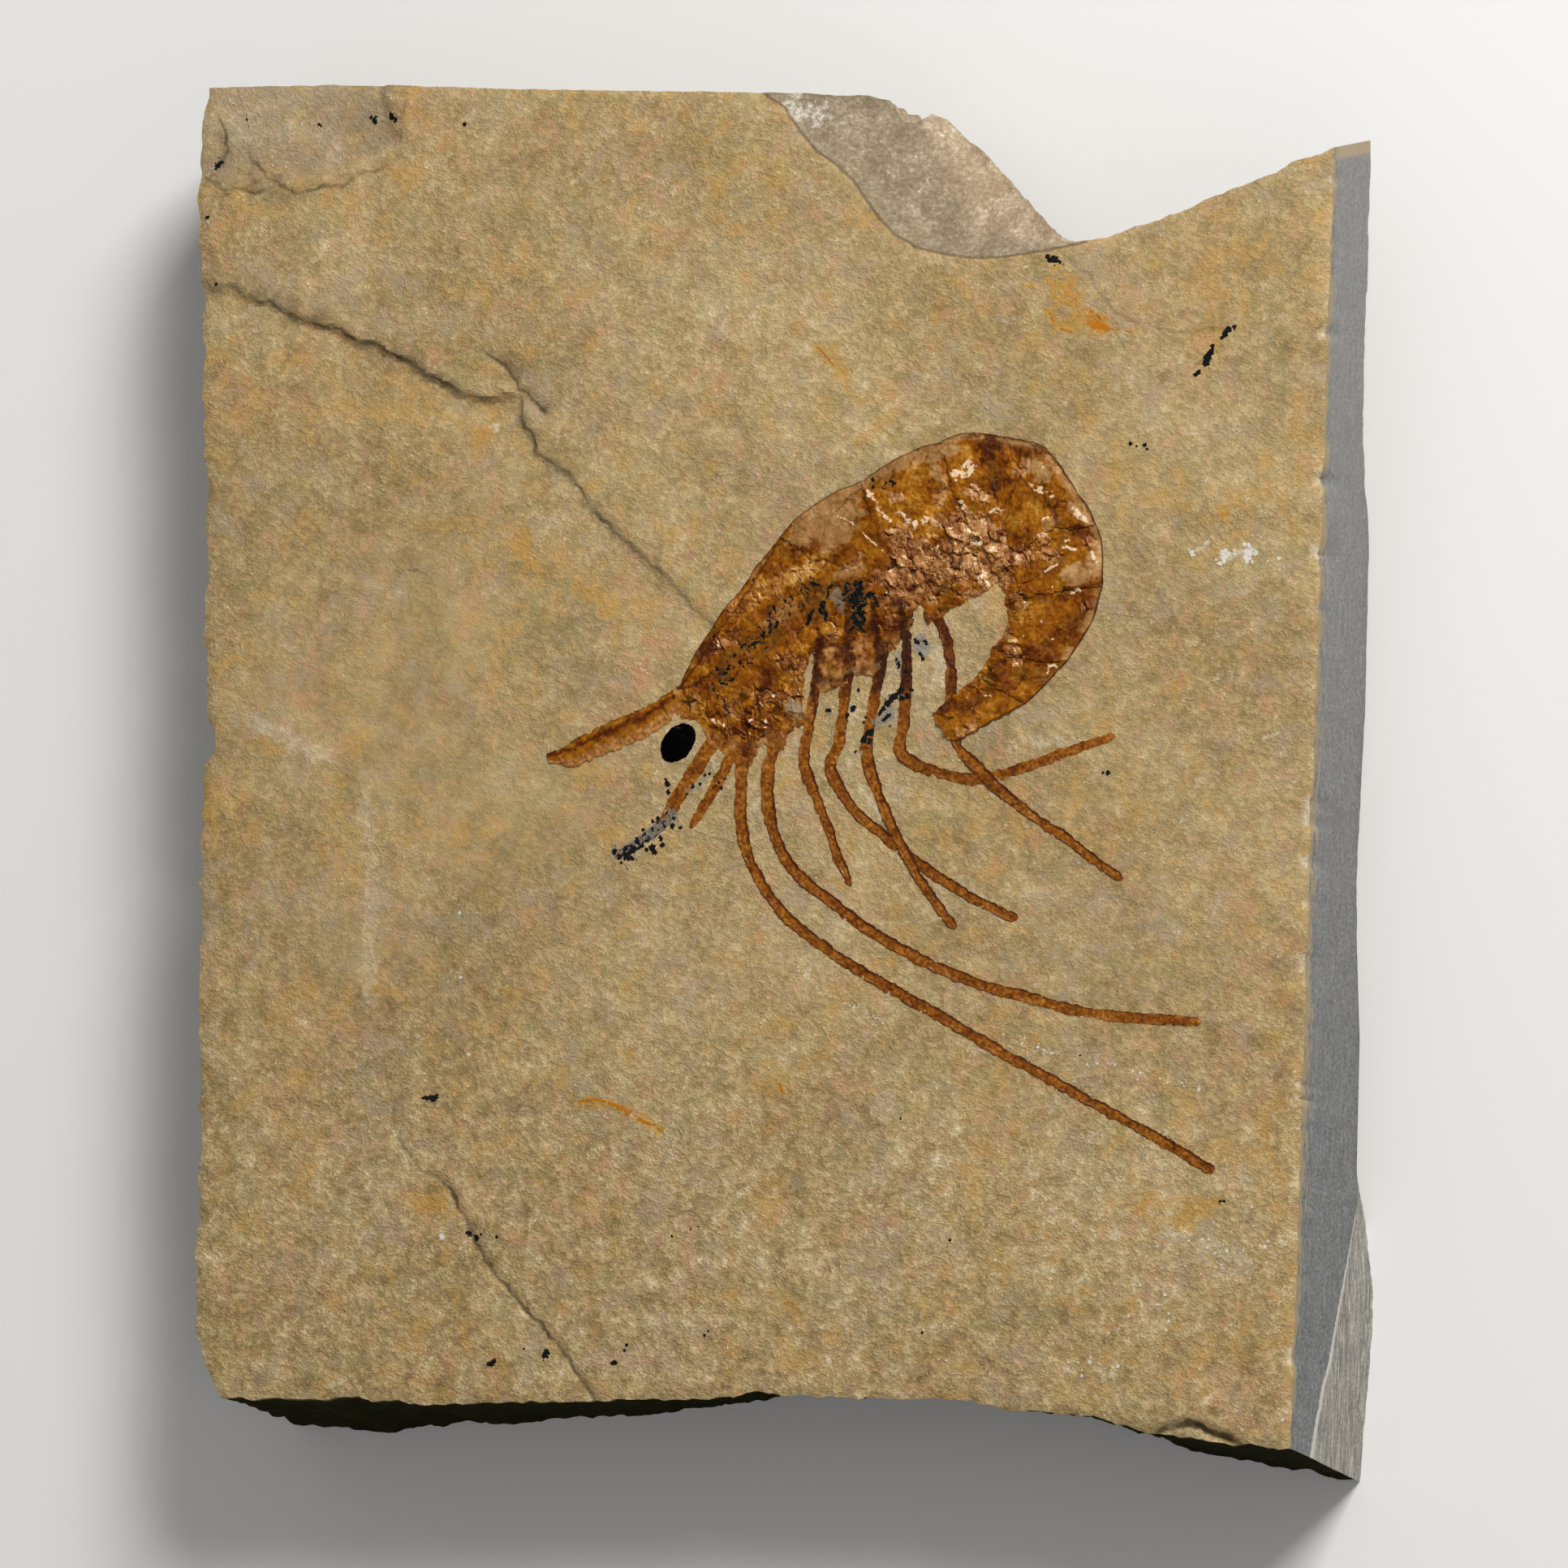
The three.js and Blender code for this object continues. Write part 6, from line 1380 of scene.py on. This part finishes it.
def buildPlate(name, shape, material):
    grid, u, v = spanLines(cell=shellSetup["cell"], **shape)
    x, y = raggedSpot(grid[..., 0], grid[..., 1])
    m = shellMasks(x, y)
    runShare, crossShare = np.meshgrid(u, v, indexing="ij")
    inward = nearLine(x, y, smooth(shape["back"], 3))[0]
    inward = np.minimum(inward, nearLine(x, y, smooth(shape["belly"], 3))[0])
    film = (
        level(shellSetup["film"], runShare) * (0.35 + 0.65 * ease(inward / 0.9)) + shellSetup["edge"] * 0.4
    )
    head = ease((7.5 - y) / 3) * (name == "carapace")
    crumbled = np.clip(m["rosy"] * 1.15 + 0.35 * ease((crossShare - 0.6) / 0.2) + 0.6 * head
        - 0.5 * m["pale"] + 0.1, 0, 1)
    height, value, cracks = crumple(x, y)
    step = 0.05
    before, after = crumple(x - 0.6 * step, y - 0.8 * step)[0], crumple(x + 0.6 * step, y + 0.8 * step)[0]
    # the slope toward the key light, used below to paint light and shade into the flakes
    lit = (before - after) / (2 * step)  # + where it tilts to the upper right
    patchy = 0.25 + 0.5 * ease(crumbs(x, y, 1.6, 691, 3, 0.7) + 0.4)
    crumbled = crumbled * (0.45 + 0.7 * patchy) + (1 - crumbled) * 0.22 * patchy
    relief = crumbled * height * 0.8 + 0.03 * crumbs(x, y, 1.5, 631, 2)
    # painted light and shade: flakes facing the key light paler, those turned away darker
    m["tone"] = m["tone"] + crumbled * (0.22 * value + 0.3 * np.clip(lit, -1, 1)) + 0.04 * head
    inCracks = cracks * (0.12 + 0.7 * crumbled) * (0.75 + 0.6 * noise(x, y, 0.9, 693))
    m["dark"] = np.clip(np.maximum(0.85 * m["dark"] + 0.15 * crumbs(x, y, 0.5, 695, 2), inCracks), 0, 1)
    # painted highlights on flakes that face the key light
    paintedSparkle = ease((lit - 0.28) / 0.3) * (1 - cracks) * ease(crumbs(x, y, 0.7, 697, 2) * 1.3 + 0.35)
    paintedSparkle = paintedSparkle * (0.7 * crumbled + 0.25 * m["gold"] + 0.1)
    m["glint"] = np.clip(m["glint"] * ease(0.8 + 0.9 * crumbs(x, y, 0.55, 699, 3, 0.7)) + paintedSparkle, 0, 1)
    m["tone"] = m["tone"] + plateTones.get(name, 0)
    if name == "tail_fan":
        relief = relief + 0.05 * np.cos(crossShare * 6 * math.pi)
    if name == "rostrum":
        ridge = crossShare - 0.3 + 0.1 * noise(x, y, 1.2, 651)
        m["tone"] = 0.58 - 0.4 * np.exp(-(ridge / 0.15) ** 2) + 0.14 * crumbs(x, y, 0.7, 655, 3, 0.7)
        m["rosy"] = 0.5 * ease((crossShare - 0.5) / 0.25)
        m["glint"] = m["glint"] * 0.4
        relief = relief + 0.05 * np.exp(-((crossShare - 0.3) / 0.2) ** 2)
    toBack = nearLine(x, y, smooth(shape["back"], 3))[0]
    if name.startswith("abdomen") and name != "abdomen_6":
        paleRim = 0.9 * np.exp(-((toBack - 0.3) / 0.4) ** 2) * ease(crumbs(x, y, 1.6, 641, 2) + 0.75)
        m["pale"] = np.maximum(m["pale"], paleRim)
    m["dark"] = np.maximum(m["dark"], 0.95 * np.exp(-(toBack / 0.11) ** 2))
    relief = relief - 0.06 * m["dark"] + 0.05 * m["glint"] - 0.04 * m["ink"]
    z = groundHeight(x, y) + np.maximum(0.05, film + relief * ease(inward / 0.3))
    return sheetPiece(name, x, y, np.minimum(z, shellSetup["highest"]), m, material, name)


def shellFinish(name, gloss):
    b = Bench(name)
    spot = b.place()
    fine = b.grain(spot, 0.34, 4.0, 0.72)
    uneven = (fine - 0.5) * 0.8
    tone = b.mask("tone") + uneven * 0.75
    colour = b.ramp(tone, [(0.0, (48, 14, 0)), (0.22, (84, 36, 0)), (0.42, (122, 64, 0)),
        (0.6, (150, 90, 6)), (0.8, (182, 124, 40)), (1.0, (214, 172, 106))])
    mossy = b.ramp(tone, [(0.1, (52, 36, 4)), (0.6, (128, 98, 24)), (1.0, (186, 160, 96))])
    colour = b.blend(b.mask("moss") * 0.4, colour, mossy)
    rosy = b.ramp(tone, [(0.1, (70, 30, 8)), (0.35, (136, 82, 40)), (0.55, (176, 123, 74)),
        (0.75, (206, 161, 113)), (1.0, (238, 208, 170))])
    pale = b.ramp(tone, [(0.1, (124, 84, 38)), (0.5, (168, 127, 76)), (0.9, (206, 176, 130))])
    colour = b.stains(colour, uneven, [
        ("rosy", 0.15, 0.85, 0.8, rosy), ("pale", 0.1, 1.0, 0.8, pale),
        ("ash", 0.3, 0.7, 0.6, (116, 110, 98)),
    ])
    colour = b.blend(b.mask("soot") * 0.5, colour, (70, 62, 30))
    colour = b.stains(colour, uneven,
        [("dark", 0.15, 0.9, 0.85, (52, 18, 0)), ("ink", 0.3, 0.55, 1, (6, 9, 10))])
    # painted highlights: pale cream where the glint mask lies
    paintedShine = b.band(b.mask("glint") + uneven * 0.8, 0.3, 0.7)
    colour = b.blend(paintedShine * 0.72, colour, (248, 220, 182))
    matt = b.mask("rosy").high(b.mask("pale")).high(b.mask("ink"))
    return b.finish(colour, gloss + matt * 0.25, fine, 0.08, 0.12)


# thin skin that shows beside the plates, between the legs and round the feelers' bases, in view points
skins = {
    "headSkin": {
        "first": [(832, 846), (822, 855), (815, 862)],
        "last": [(1000, 868), (1001, 874), (1000, 882)],
        "back": [(832, 846), (870, 872), (910, 890), (960, 890), (1000, 868)],
        "belly": [(815, 862), (838, 884), (862, 893), (872, 912), (893, 927), (908, 940), (926, 940),
            (938, 918), (962, 924), (968, 905), (985, 895), (1000, 882)],
    },
    "legSkin": {
        "first": [(1003, 800), (1004, 825), (1006, 852)],
        "last": [(1125, 745), (1126, 758), (1125, 770)],
        "back": [(1003, 800), (1040, 780), (1090, 760), (1125, 745)],
        "belly": [(1006, 852), (1022, 849), (1036, 846), (1050, 835), (1062, 830), (1076, 834), (1086, 812),
            (1100, 802), (1112, 790), (1125, 770)],
    },
}


def buildSkin(name, shape, material):
    grid, u, v = spanLines(cell=shellSetup["cell"], **shape)
    x, y = raggedSpot(grid[..., 0], grid[..., 1])
    x, y = x + 0.12 * crumbs(x, y, 0.6, 751, 2, 0.7), y + 0.12 * crumbs(x, y, 0.6, 755, 2, 0.7)
    m = shellMasks(x, y)
    crossShare = np.meshgrid(u, v, indexing="ij")[1]
    fade = ease((crossShare - 0.35) / 0.6)
    if name == "headSkin":
        m["tone"] = m["tone"] - 0.04 - 0.28 * np.exp(-((x - 0.5) / 0.5) ** 2)
        m["tone"] = m["tone"] + 0.1 * np.exp(-np.hypot(x + 2.4, y - 2.4) ** 2)
        behindEye = 1.1 * np.exp(-np.hypot((x - 1.8) * 1.5, y - 1.7))
        m["pale"] = np.maximum(behindEye, np.exp(-(np.hypot(x - 4.7, y - 4.2) / 1.2) ** 2))
        m["rosy"] = 0.35 + 0.3 * noise(x, y, 1.3, 761) + 0.3 * m["pale"]
    else:
        m["tone"] = m["tone"] - 0.12 + 0.2 * crumbs(x, y, 0.9, 767, 2)
        m["rosy"] = 0.5 - 0.2 * fade + 0.4 * noise(x, y, 1.1, 761)
        m["pale"] = 0.6 * fade * (0.8 + 0.5 * noise(x, y, 0.9, 763))
        m["ash"] = 0.5 * fade * ease(noise(x, y, 1.0, 765) + 0.5)
    height, value, cracks = crumple(x, y)
    m["tone"] = m["tone"] + 0.15 * value
    m["dark"] = np.maximum(m["dark"], 0.5 * cracks)
    z = groundHeight(x, y) + 0.06 + 0.05 * (1 - crossShare) + 0.3 * np.clip(height, -0.1, 0.3)
    return sheetPiece(name, x, y, z, m, material, None)


shellMaterial = shellFinish("amberShell", 0.34)
tailMaterial = shellFinish("tailShell", 0.42)
for name, shape in plates.items():
    inTail = name in ("abdomen_6", "tail_fan")
    piece = buildPlate(name, shape, tailMaterial if inTail else shellMaterial)
    print(name, len(piece.data.polygons))
for name, shape in skins.items():
    buildSkin(name, {key: layLines(value, slabShape["face"]) for key, value in shape.items()}, shellMaterial)


limbs = {
    "antennule_1": {
        "line": [(-1.2, 3.6), (-2.0, 2.4), (-3.4, 0.1), (-4.7, -2.0), (-5.8, -3.8), (-7.1, -5.7),
            (-8.9, -7.0), (-10.9, -8.2)],
        "half": [(0, 0.7), (0.5, 0.65), (0.7, 0.5), (1, 0.3)],
    },
    "antennule_2": {"line": [(0.4, 2.6), (-0.4, 1.2), (-1.6, -1.2), (-2.8, -3.5), (-4.2, -5.7)],
        "half": [(0, 0.55), (0.6, 0.5), (1, 0.3)]},
    "antenna_1": {
        "line": [(0.3, 3.9), (0.3, 1.6), (0.2, -0.9), (0.2, -4.3), (0.5, -6.4), (1.4, -8.8), (2.9, -11.2),
            (4.8, -13.3), (7.1, -15.0), (10.1, -17.0),
                 (14.5, -19.4), (18.9, -21.6), (23.3, -24.0), (28.4, -26.6), (33.5, -29.2), (37.9, -31.4),
                 (43.3, -34.3)],
        "half": [(0, 0.6), (0.2, 0.53), (0.7, 0.48), (1, 0.45)],
    },
    "antenna_2": {
        "line": [(3.2, 2.6), (3.0, 1.0), (2.6, -1.2), (2.7, -3.7), (3.3, -6.1), (4.5, -8.5), (6.2, -10.2),
            (8.8, -12.0), (11.4, -13.9), (14.4, -15.6),
                 (18.0, -17.3), (22.4, -18.9), (26.7, -20.0), (31.1, -21.0), (36.1, -21.6), (41.7, -21.9)],
        "half": [(0, 0.6), (0.2, 0.53), (0.7, 0.48), (1, 0.45)],
    },
    "leg_1": {
        "line": [(6.6, 8.3), (6.5, 6.6), (6.3, 3.9), (5.8, 1.5), (5.9, -0.6), (7.0, -3.1), (8.2, -5.8),
            (9.1, -8.1), (10.4, -10.6)],
        "half": [(0, 0.42), (0.35, 0.5), (0.48, 0.58), (0.6, 0.48), (0.9, 0.42), (1, 0.3)],
    },
    "leg_2": {
        "line": [(9.7, 9.4), (9.5, 8.0), (9.2, 5.3), (8.8, 1.6), (8.2, -0.4), (8.9, -2.1), (10.6, -4.3),
            (12.8, -6.1), (14.8, -7.6),
                 (16.8, -9.0), (19.6, -10.7), (22.5, -12.2), (25.3, -13.3)],
        "half": [(0, 0.5), (0.28, 0.52), (0.34, 0.6), (0.5, 0.48), (0.9, 0.45), (1, 0.36)],
    },
    "leg_3": {
        "line": [(12.3, 10.2), (12.4, 9.1), (12.1, 6.6), (11.5, 2.6), (11.4, 0.5), (12.1, -1.8),
            (13.0, -3.8), (14.1, -6.0), (15.2, -8.0),
                 (16.5, -10.1), (18.3, -12.4), (19.8, -14.2)],
        "half": [(0, 0.5), (0.32, 0.52), (0.38, 0.6), (0.5, 0.48), (0.9, 0.45), (1, 0.36)],
        "over": (15.0, -7.6, 2.9),
    },
    "leg_4": {
        "line": [(14.5, 11.0), (14.6, 9.3), (14.6, 5.9), (14.5, 3.2), (14.4, 0.9), (15.7, -0.3),
            (18.6, -1.2), (21.0, -1.6), (22.9, -1.3),
                 (25.9, -0.4), (29.7, 0.9), (33.3, 2.1)],
        "half": [(0, 0.5), (0.3, 0.55), (0.36, 0.62), (0.5, 0.48), (0.9, 0.45), (1, 0.36)],
    },
    "leg_5": {
        "line": [(17.0, 12.5), (17.6, 11.4), (18.1, 10.2), (18.5, 8.4), (18.7, 6.0), (18.8, 3.6),
            (19.5, 1.2), (21.0, -0.4), (22.8, -2.1), (25.0, -3.8),
                 (27.5, -5.4), (30.0, -7.0), (32.1, -8.5), (34.4, -10.0)],
        "half": [(0, 0.48), (0.2, 0.5), (0.4, 0.48), (0.46, 0.56), (0.6, 0.46), (0.9, 0.45), (1, 0.36)],
        "over": (21.9, -1.3, 1.6),
    },
}


limbSetup = {
    "across": 13,  # points over a limb's width
    "width": 0.95,
    "tip": 0.35,  # how far from an end it starts to round off
    "film": 0.045,
    # the direction that the limbs' painted shade and painted light follow
    "light": (0.75, 0.66),
}

# ink that also marks the limbs: the blots of the shell, and the specks and strokes that lie among the legs
legSpecks, legStrokes = stoneMarks["specks"][:46], stoneStrokes[16:]
limbInk = shellMarks["ink"] + [(r, 1.0, [(x, y)]) for x, y, r in legSpecks]
limbInk += [(half, 1.0, line) for half, line in legStrokes]


def buildLimb(name, shape, seed, material):
    cell = shellSetup["cell"]
    line = smooth(shape["line"])
    length = lineLength(line)
    share = np.linspace(0, 1, int(length / cell) + 2)
    spine = along(line, share)
    run = np.gradient(spine, axis=0)
    run = run / np.hypot(run[:, 0], run[:, 1])[:, None]
    normal = np.stack([-run[:, 1], run[:, 0]], -1)
    s = np.linspace(-1, 1, limbSetup["across"])[None, :]
    travel = share * length
    toEnd = np.minimum(travel / limbSetup["tip"], (1 - share) * length / limbSetup["tip"])
    half = limbSetup["width"] * level(shape["half"], share) * np.sqrt(np.clip(toEnd, 0.15, 1))
    chew = []
    for k in (0, 4):  # the two edges
        coarse = 0.09 * crumbs(travel, share * 0 + 3, 1.9, seed + k, 3, 0.6)
        chew.append(coarse + 0.055 * crumbs(travel, share * 0 + 5, 0.6, seed + k + 2, 2, 0.7))
    reach = half[:, None] * s + np.where(s > 0, chew[0][:, None], chew[1][:, None]) * s
    x = spine[:, :1] + normal[:, :1] * reach
    y = spine[:, 1:] + normal[:, 1:] * reach
    x = x + 0.03 * noise(x, y, 0.3, 701)
    y = y + 0.03 * noise(x, y, 0.3, 705)
    # painted shade and light follow this across each limb
    toward = s * (normal @ np.array(limbSetup["light"]))[:, None]  # + on the edge that faces up and right
    film = limbSetup["film"] + 0.015 * (1 - s ** 4) + 0.025 * crumbs(x, y, 0.5, 711, 2, 0.7) + 0.01 * toward
    if "over" in shape:
        cx, cy, r = shape["over"]
        film = film + 0.07 * (1 - ease((np.hypot(x - cx, y - cy) - r) / 1.5))
    z = groundHeight(x, y) + film
    mottle = 0.5 + 0.5 * crumbs(x, y, 1.0, 721, 3, 0.7)
    legTops = 0.9 * ease((y - 4.6) / 2.6) * (x > 5) * (x < 16.4) * (0.75 + 0.5 * crumbs(x, y, 0.8, 745, 2))
    tone = 0.43 + 0.17 * crumbs(x, y, 1.4, 731, 3, 0.8) + 0.2 * crumbs(x, y, 0.3, 741, 2)
    m = {
        "tone": tone - 0.35 * ease((y - 4) / 4) * (x > 5),
        # painted shade on the edge that faces up and right; a dark outline on the lower-left edge
        "shade": ease((toward - 0.25) / 0.7) * (0.55 + 0.6 * mottle)
            + 0.7 * ease((-toward - 0.55) / 0.35) * (0.3 + mottle),
        # painted light: the lower-left side paler and pinker
        "rosy": ease((-toward + 0.2) / 0.8) * (mottle - 0.1),
        "dark": np.maximum(paint(x, y, shellMarks["dark"], 561, 0.9, 0.7), legTops),
        "ink": paint(x, y, limbInk, 571, 1.0, 0.4),
        "ash": paint(x, y, stoneMarks["ash"] + shellMarks["ash"], 581),
    }
    if name == "antennule_1":
        m["ink"] = np.maximum(m["ink"],
            ease((crumbs(x, y, 0.34, 585, 2, 0.6) - 0.22) / 0.2) * ease((-3.4 - y) / 1.2) * 0.9)
    return sheetPiece(name, x, y, z, m, material, name)


def limbFinish():
    b = Bench("limbFilm")
    fine = b.grain(b.place(), 0.32, 4.0, 0.7)
    uneven = (fine - 0.5) * 0.9
    colour = b.ramp(b.mask("tone") + uneven,
        [(0.0, (66, 26, 0)), (0.3, (106, 53, 0)), (0.5, (134, 76, 8)), (0.7, (160, 99, 28)),
        (1.0, (194, 138, 72))])
    colour = b.stains(colour, uneven, [
        ("rosy", 0.25, 1.0, 0.5, (172, 118, 70)), ("shade", 0.15, 0.7, 0.92, (62, 20, 0)),
        ("dark", 0.2, 0.75, 0.8, (46, 18, 2)),
    ])
    colour = b.stains(colour, uneven * 1.7, [("ash", 0.25, 0.7, 0.75, (116, 115, 106))])
    colour = b.stains(colour, uneven, [("ink", 0.3, 0.55, 1, (8, 10, 10))])
    return b.finish(colour, 0.6, fine, 0.05, 0.15)


limbMaterial = limbFinish()
for k, (name, shape) in enumerate(limbs.items()):
    buildLimb(name, shape, 800 + 10 * k, limbMaterial)
print("limbs done")


eyeShape = {"at": (-5.6, 1.5), "half": (1.85, 1.32), "turn": 0.86, "rise": 0.2}


def buildEye(setup):
    around, rings = 90, 16
    turn = np.arange(around) / around * 2 * math.pi
    rim = 1 + 0.045 * crumbs(np.cos(turn) * 3, np.sin(turn) * 3, 1.0, 901, 3, 0.7)
    share = np.linspace(1, 0.04, rings)
    p = np.cos(turn)[None] * setup["half"][0] * share[:, None] * rim
    q = np.sin(turn)[None] * setup["half"][1] * share[:, None] * rim
    x = setup["at"][0] + p * math.cos(setup["turn"]) - q * math.sin(setup["turn"])
    y = setup["at"][1] + p * math.sin(setup["turn"]) + q * math.cos(setup["turn"])
    rise = 0.06 + setup["rise"] * (1 - share[:, None] ** 4) + 0.015 * crumbs(x, y, 0.8, 905, 2)
    z = groundHeight(x, y) + rise
    count = rings * around
    points = np.concatenate([np.stack([x, y, z], -1).reshape(-1, 3),
        np.stack([x[0], y[0], x[0] * 0 + shellSetup["bottom"]], -1)])
    faces = []
    for k in range(rings - 1):
        a = k * around + np.arange(around)
        b = k * around + (np.arange(around) + 1) % around
        faces += np.stack([a, b, b + around, a + around], -1).tolist()
    faces.append((np.arange(around) + (rings - 1) * around).tolist())
    under = count + np.arange(around)
    faces += np.stack([under, np.roll(under, -1), (np.arange(around) + 1) % around, np.arange(around)],
        -1).tolist()
    faces.append(under[::-1].tolist())
    b = Bench("eyeFilm")
    spot = b.place()
    # painted highlight: pale streaks over the eye's upper right
    paintedHighlight = b.band(b.grain(b.stretch(spot, (1, 4, 1), -0.6), 0.5, 2.0), 0.66, 0.72)
    corner = b.mask("corner")
    colour = b.blend(paintedHighlight * corner * 0.6, (2, 2, 3), (120, 112, 98))
    fine = b.grain(spot, 0.3, 2.0)
    # the eye's upper right, where the painted highlight lies
    upper = (points[:, 0] - setup["at"][0]) * 0.5 + (points[:, 1] - setup["at"][1] - 0.5) * 0.9
    upper = np.clip(upper, 0, 1)
    material = b.finish(colour, 0.7, fine, 0.03, 0.02)
    piece = meshPiece("eye", points, faces, {"corner": upper}, [material], sharp=60)
    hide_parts("eye")


buildEye(eyeShape)
print("eye done")


floorSetup = {"half": 2, "colour": (226, 225, 222)}  # metres


def buildFloor(setup):
    far = setup["half"]
    floorMesh = bpy.data.meshes.new("floor")
    floorMesh.from_pydata([(-far, -far, 0), (far, -far, 0), (far, far, 0), (-far, far, 0)], [],
        [(0, 1, 2, 3)])
    b = Bench("paleFloor")
    floorMesh.materials.append(b.finish(tint(setup["colour"]), 0.9))
    floor = bpy.data.objects.new("floor", floorMesh)
    bpy.context.scene.collection.objects.link(floor)


studio = {
    "key": {"place": (0.34, 0.44, 0.50), "size": 0.25, "power": 5.8},
    "fill": {"place": (0.75, -0.6, 0.8), "size": 1.0, "power": 1.2},
    "sky": 0.31,
}


def lightStudio(setup):
    for name in ("key", "fill"):
        s = setup[name]
        data = bpy.data.lights.new(name, "AREA")
        data.size, data.energy = s["size"], s["power"]
        lamp = bpy.data.objects.new(name, data)
        lamp.location = s["place"]
        lamp.rotation_euler = (-Vector(s["place"])).to_track_quat("-Z", "Y").to_euler()
        bpy.context.scene.collection.objects.link(lamp)
    world = bpy.data.worlds.new("world")
    world.use_nodes = True
    world.node_tree.nodes["Background"].inputs[0].default_value = (1, 1, 1, 1)
    world.node_tree.nodes["Background"].inputs[1].default_value = setup["sky"]
    bpy.context.scene.world = world
    bpy.context.scene.view_settings.view_transform = "Standard"


buildFloor(floorSetup)
lightStudio(studio)
print("floor and light done")
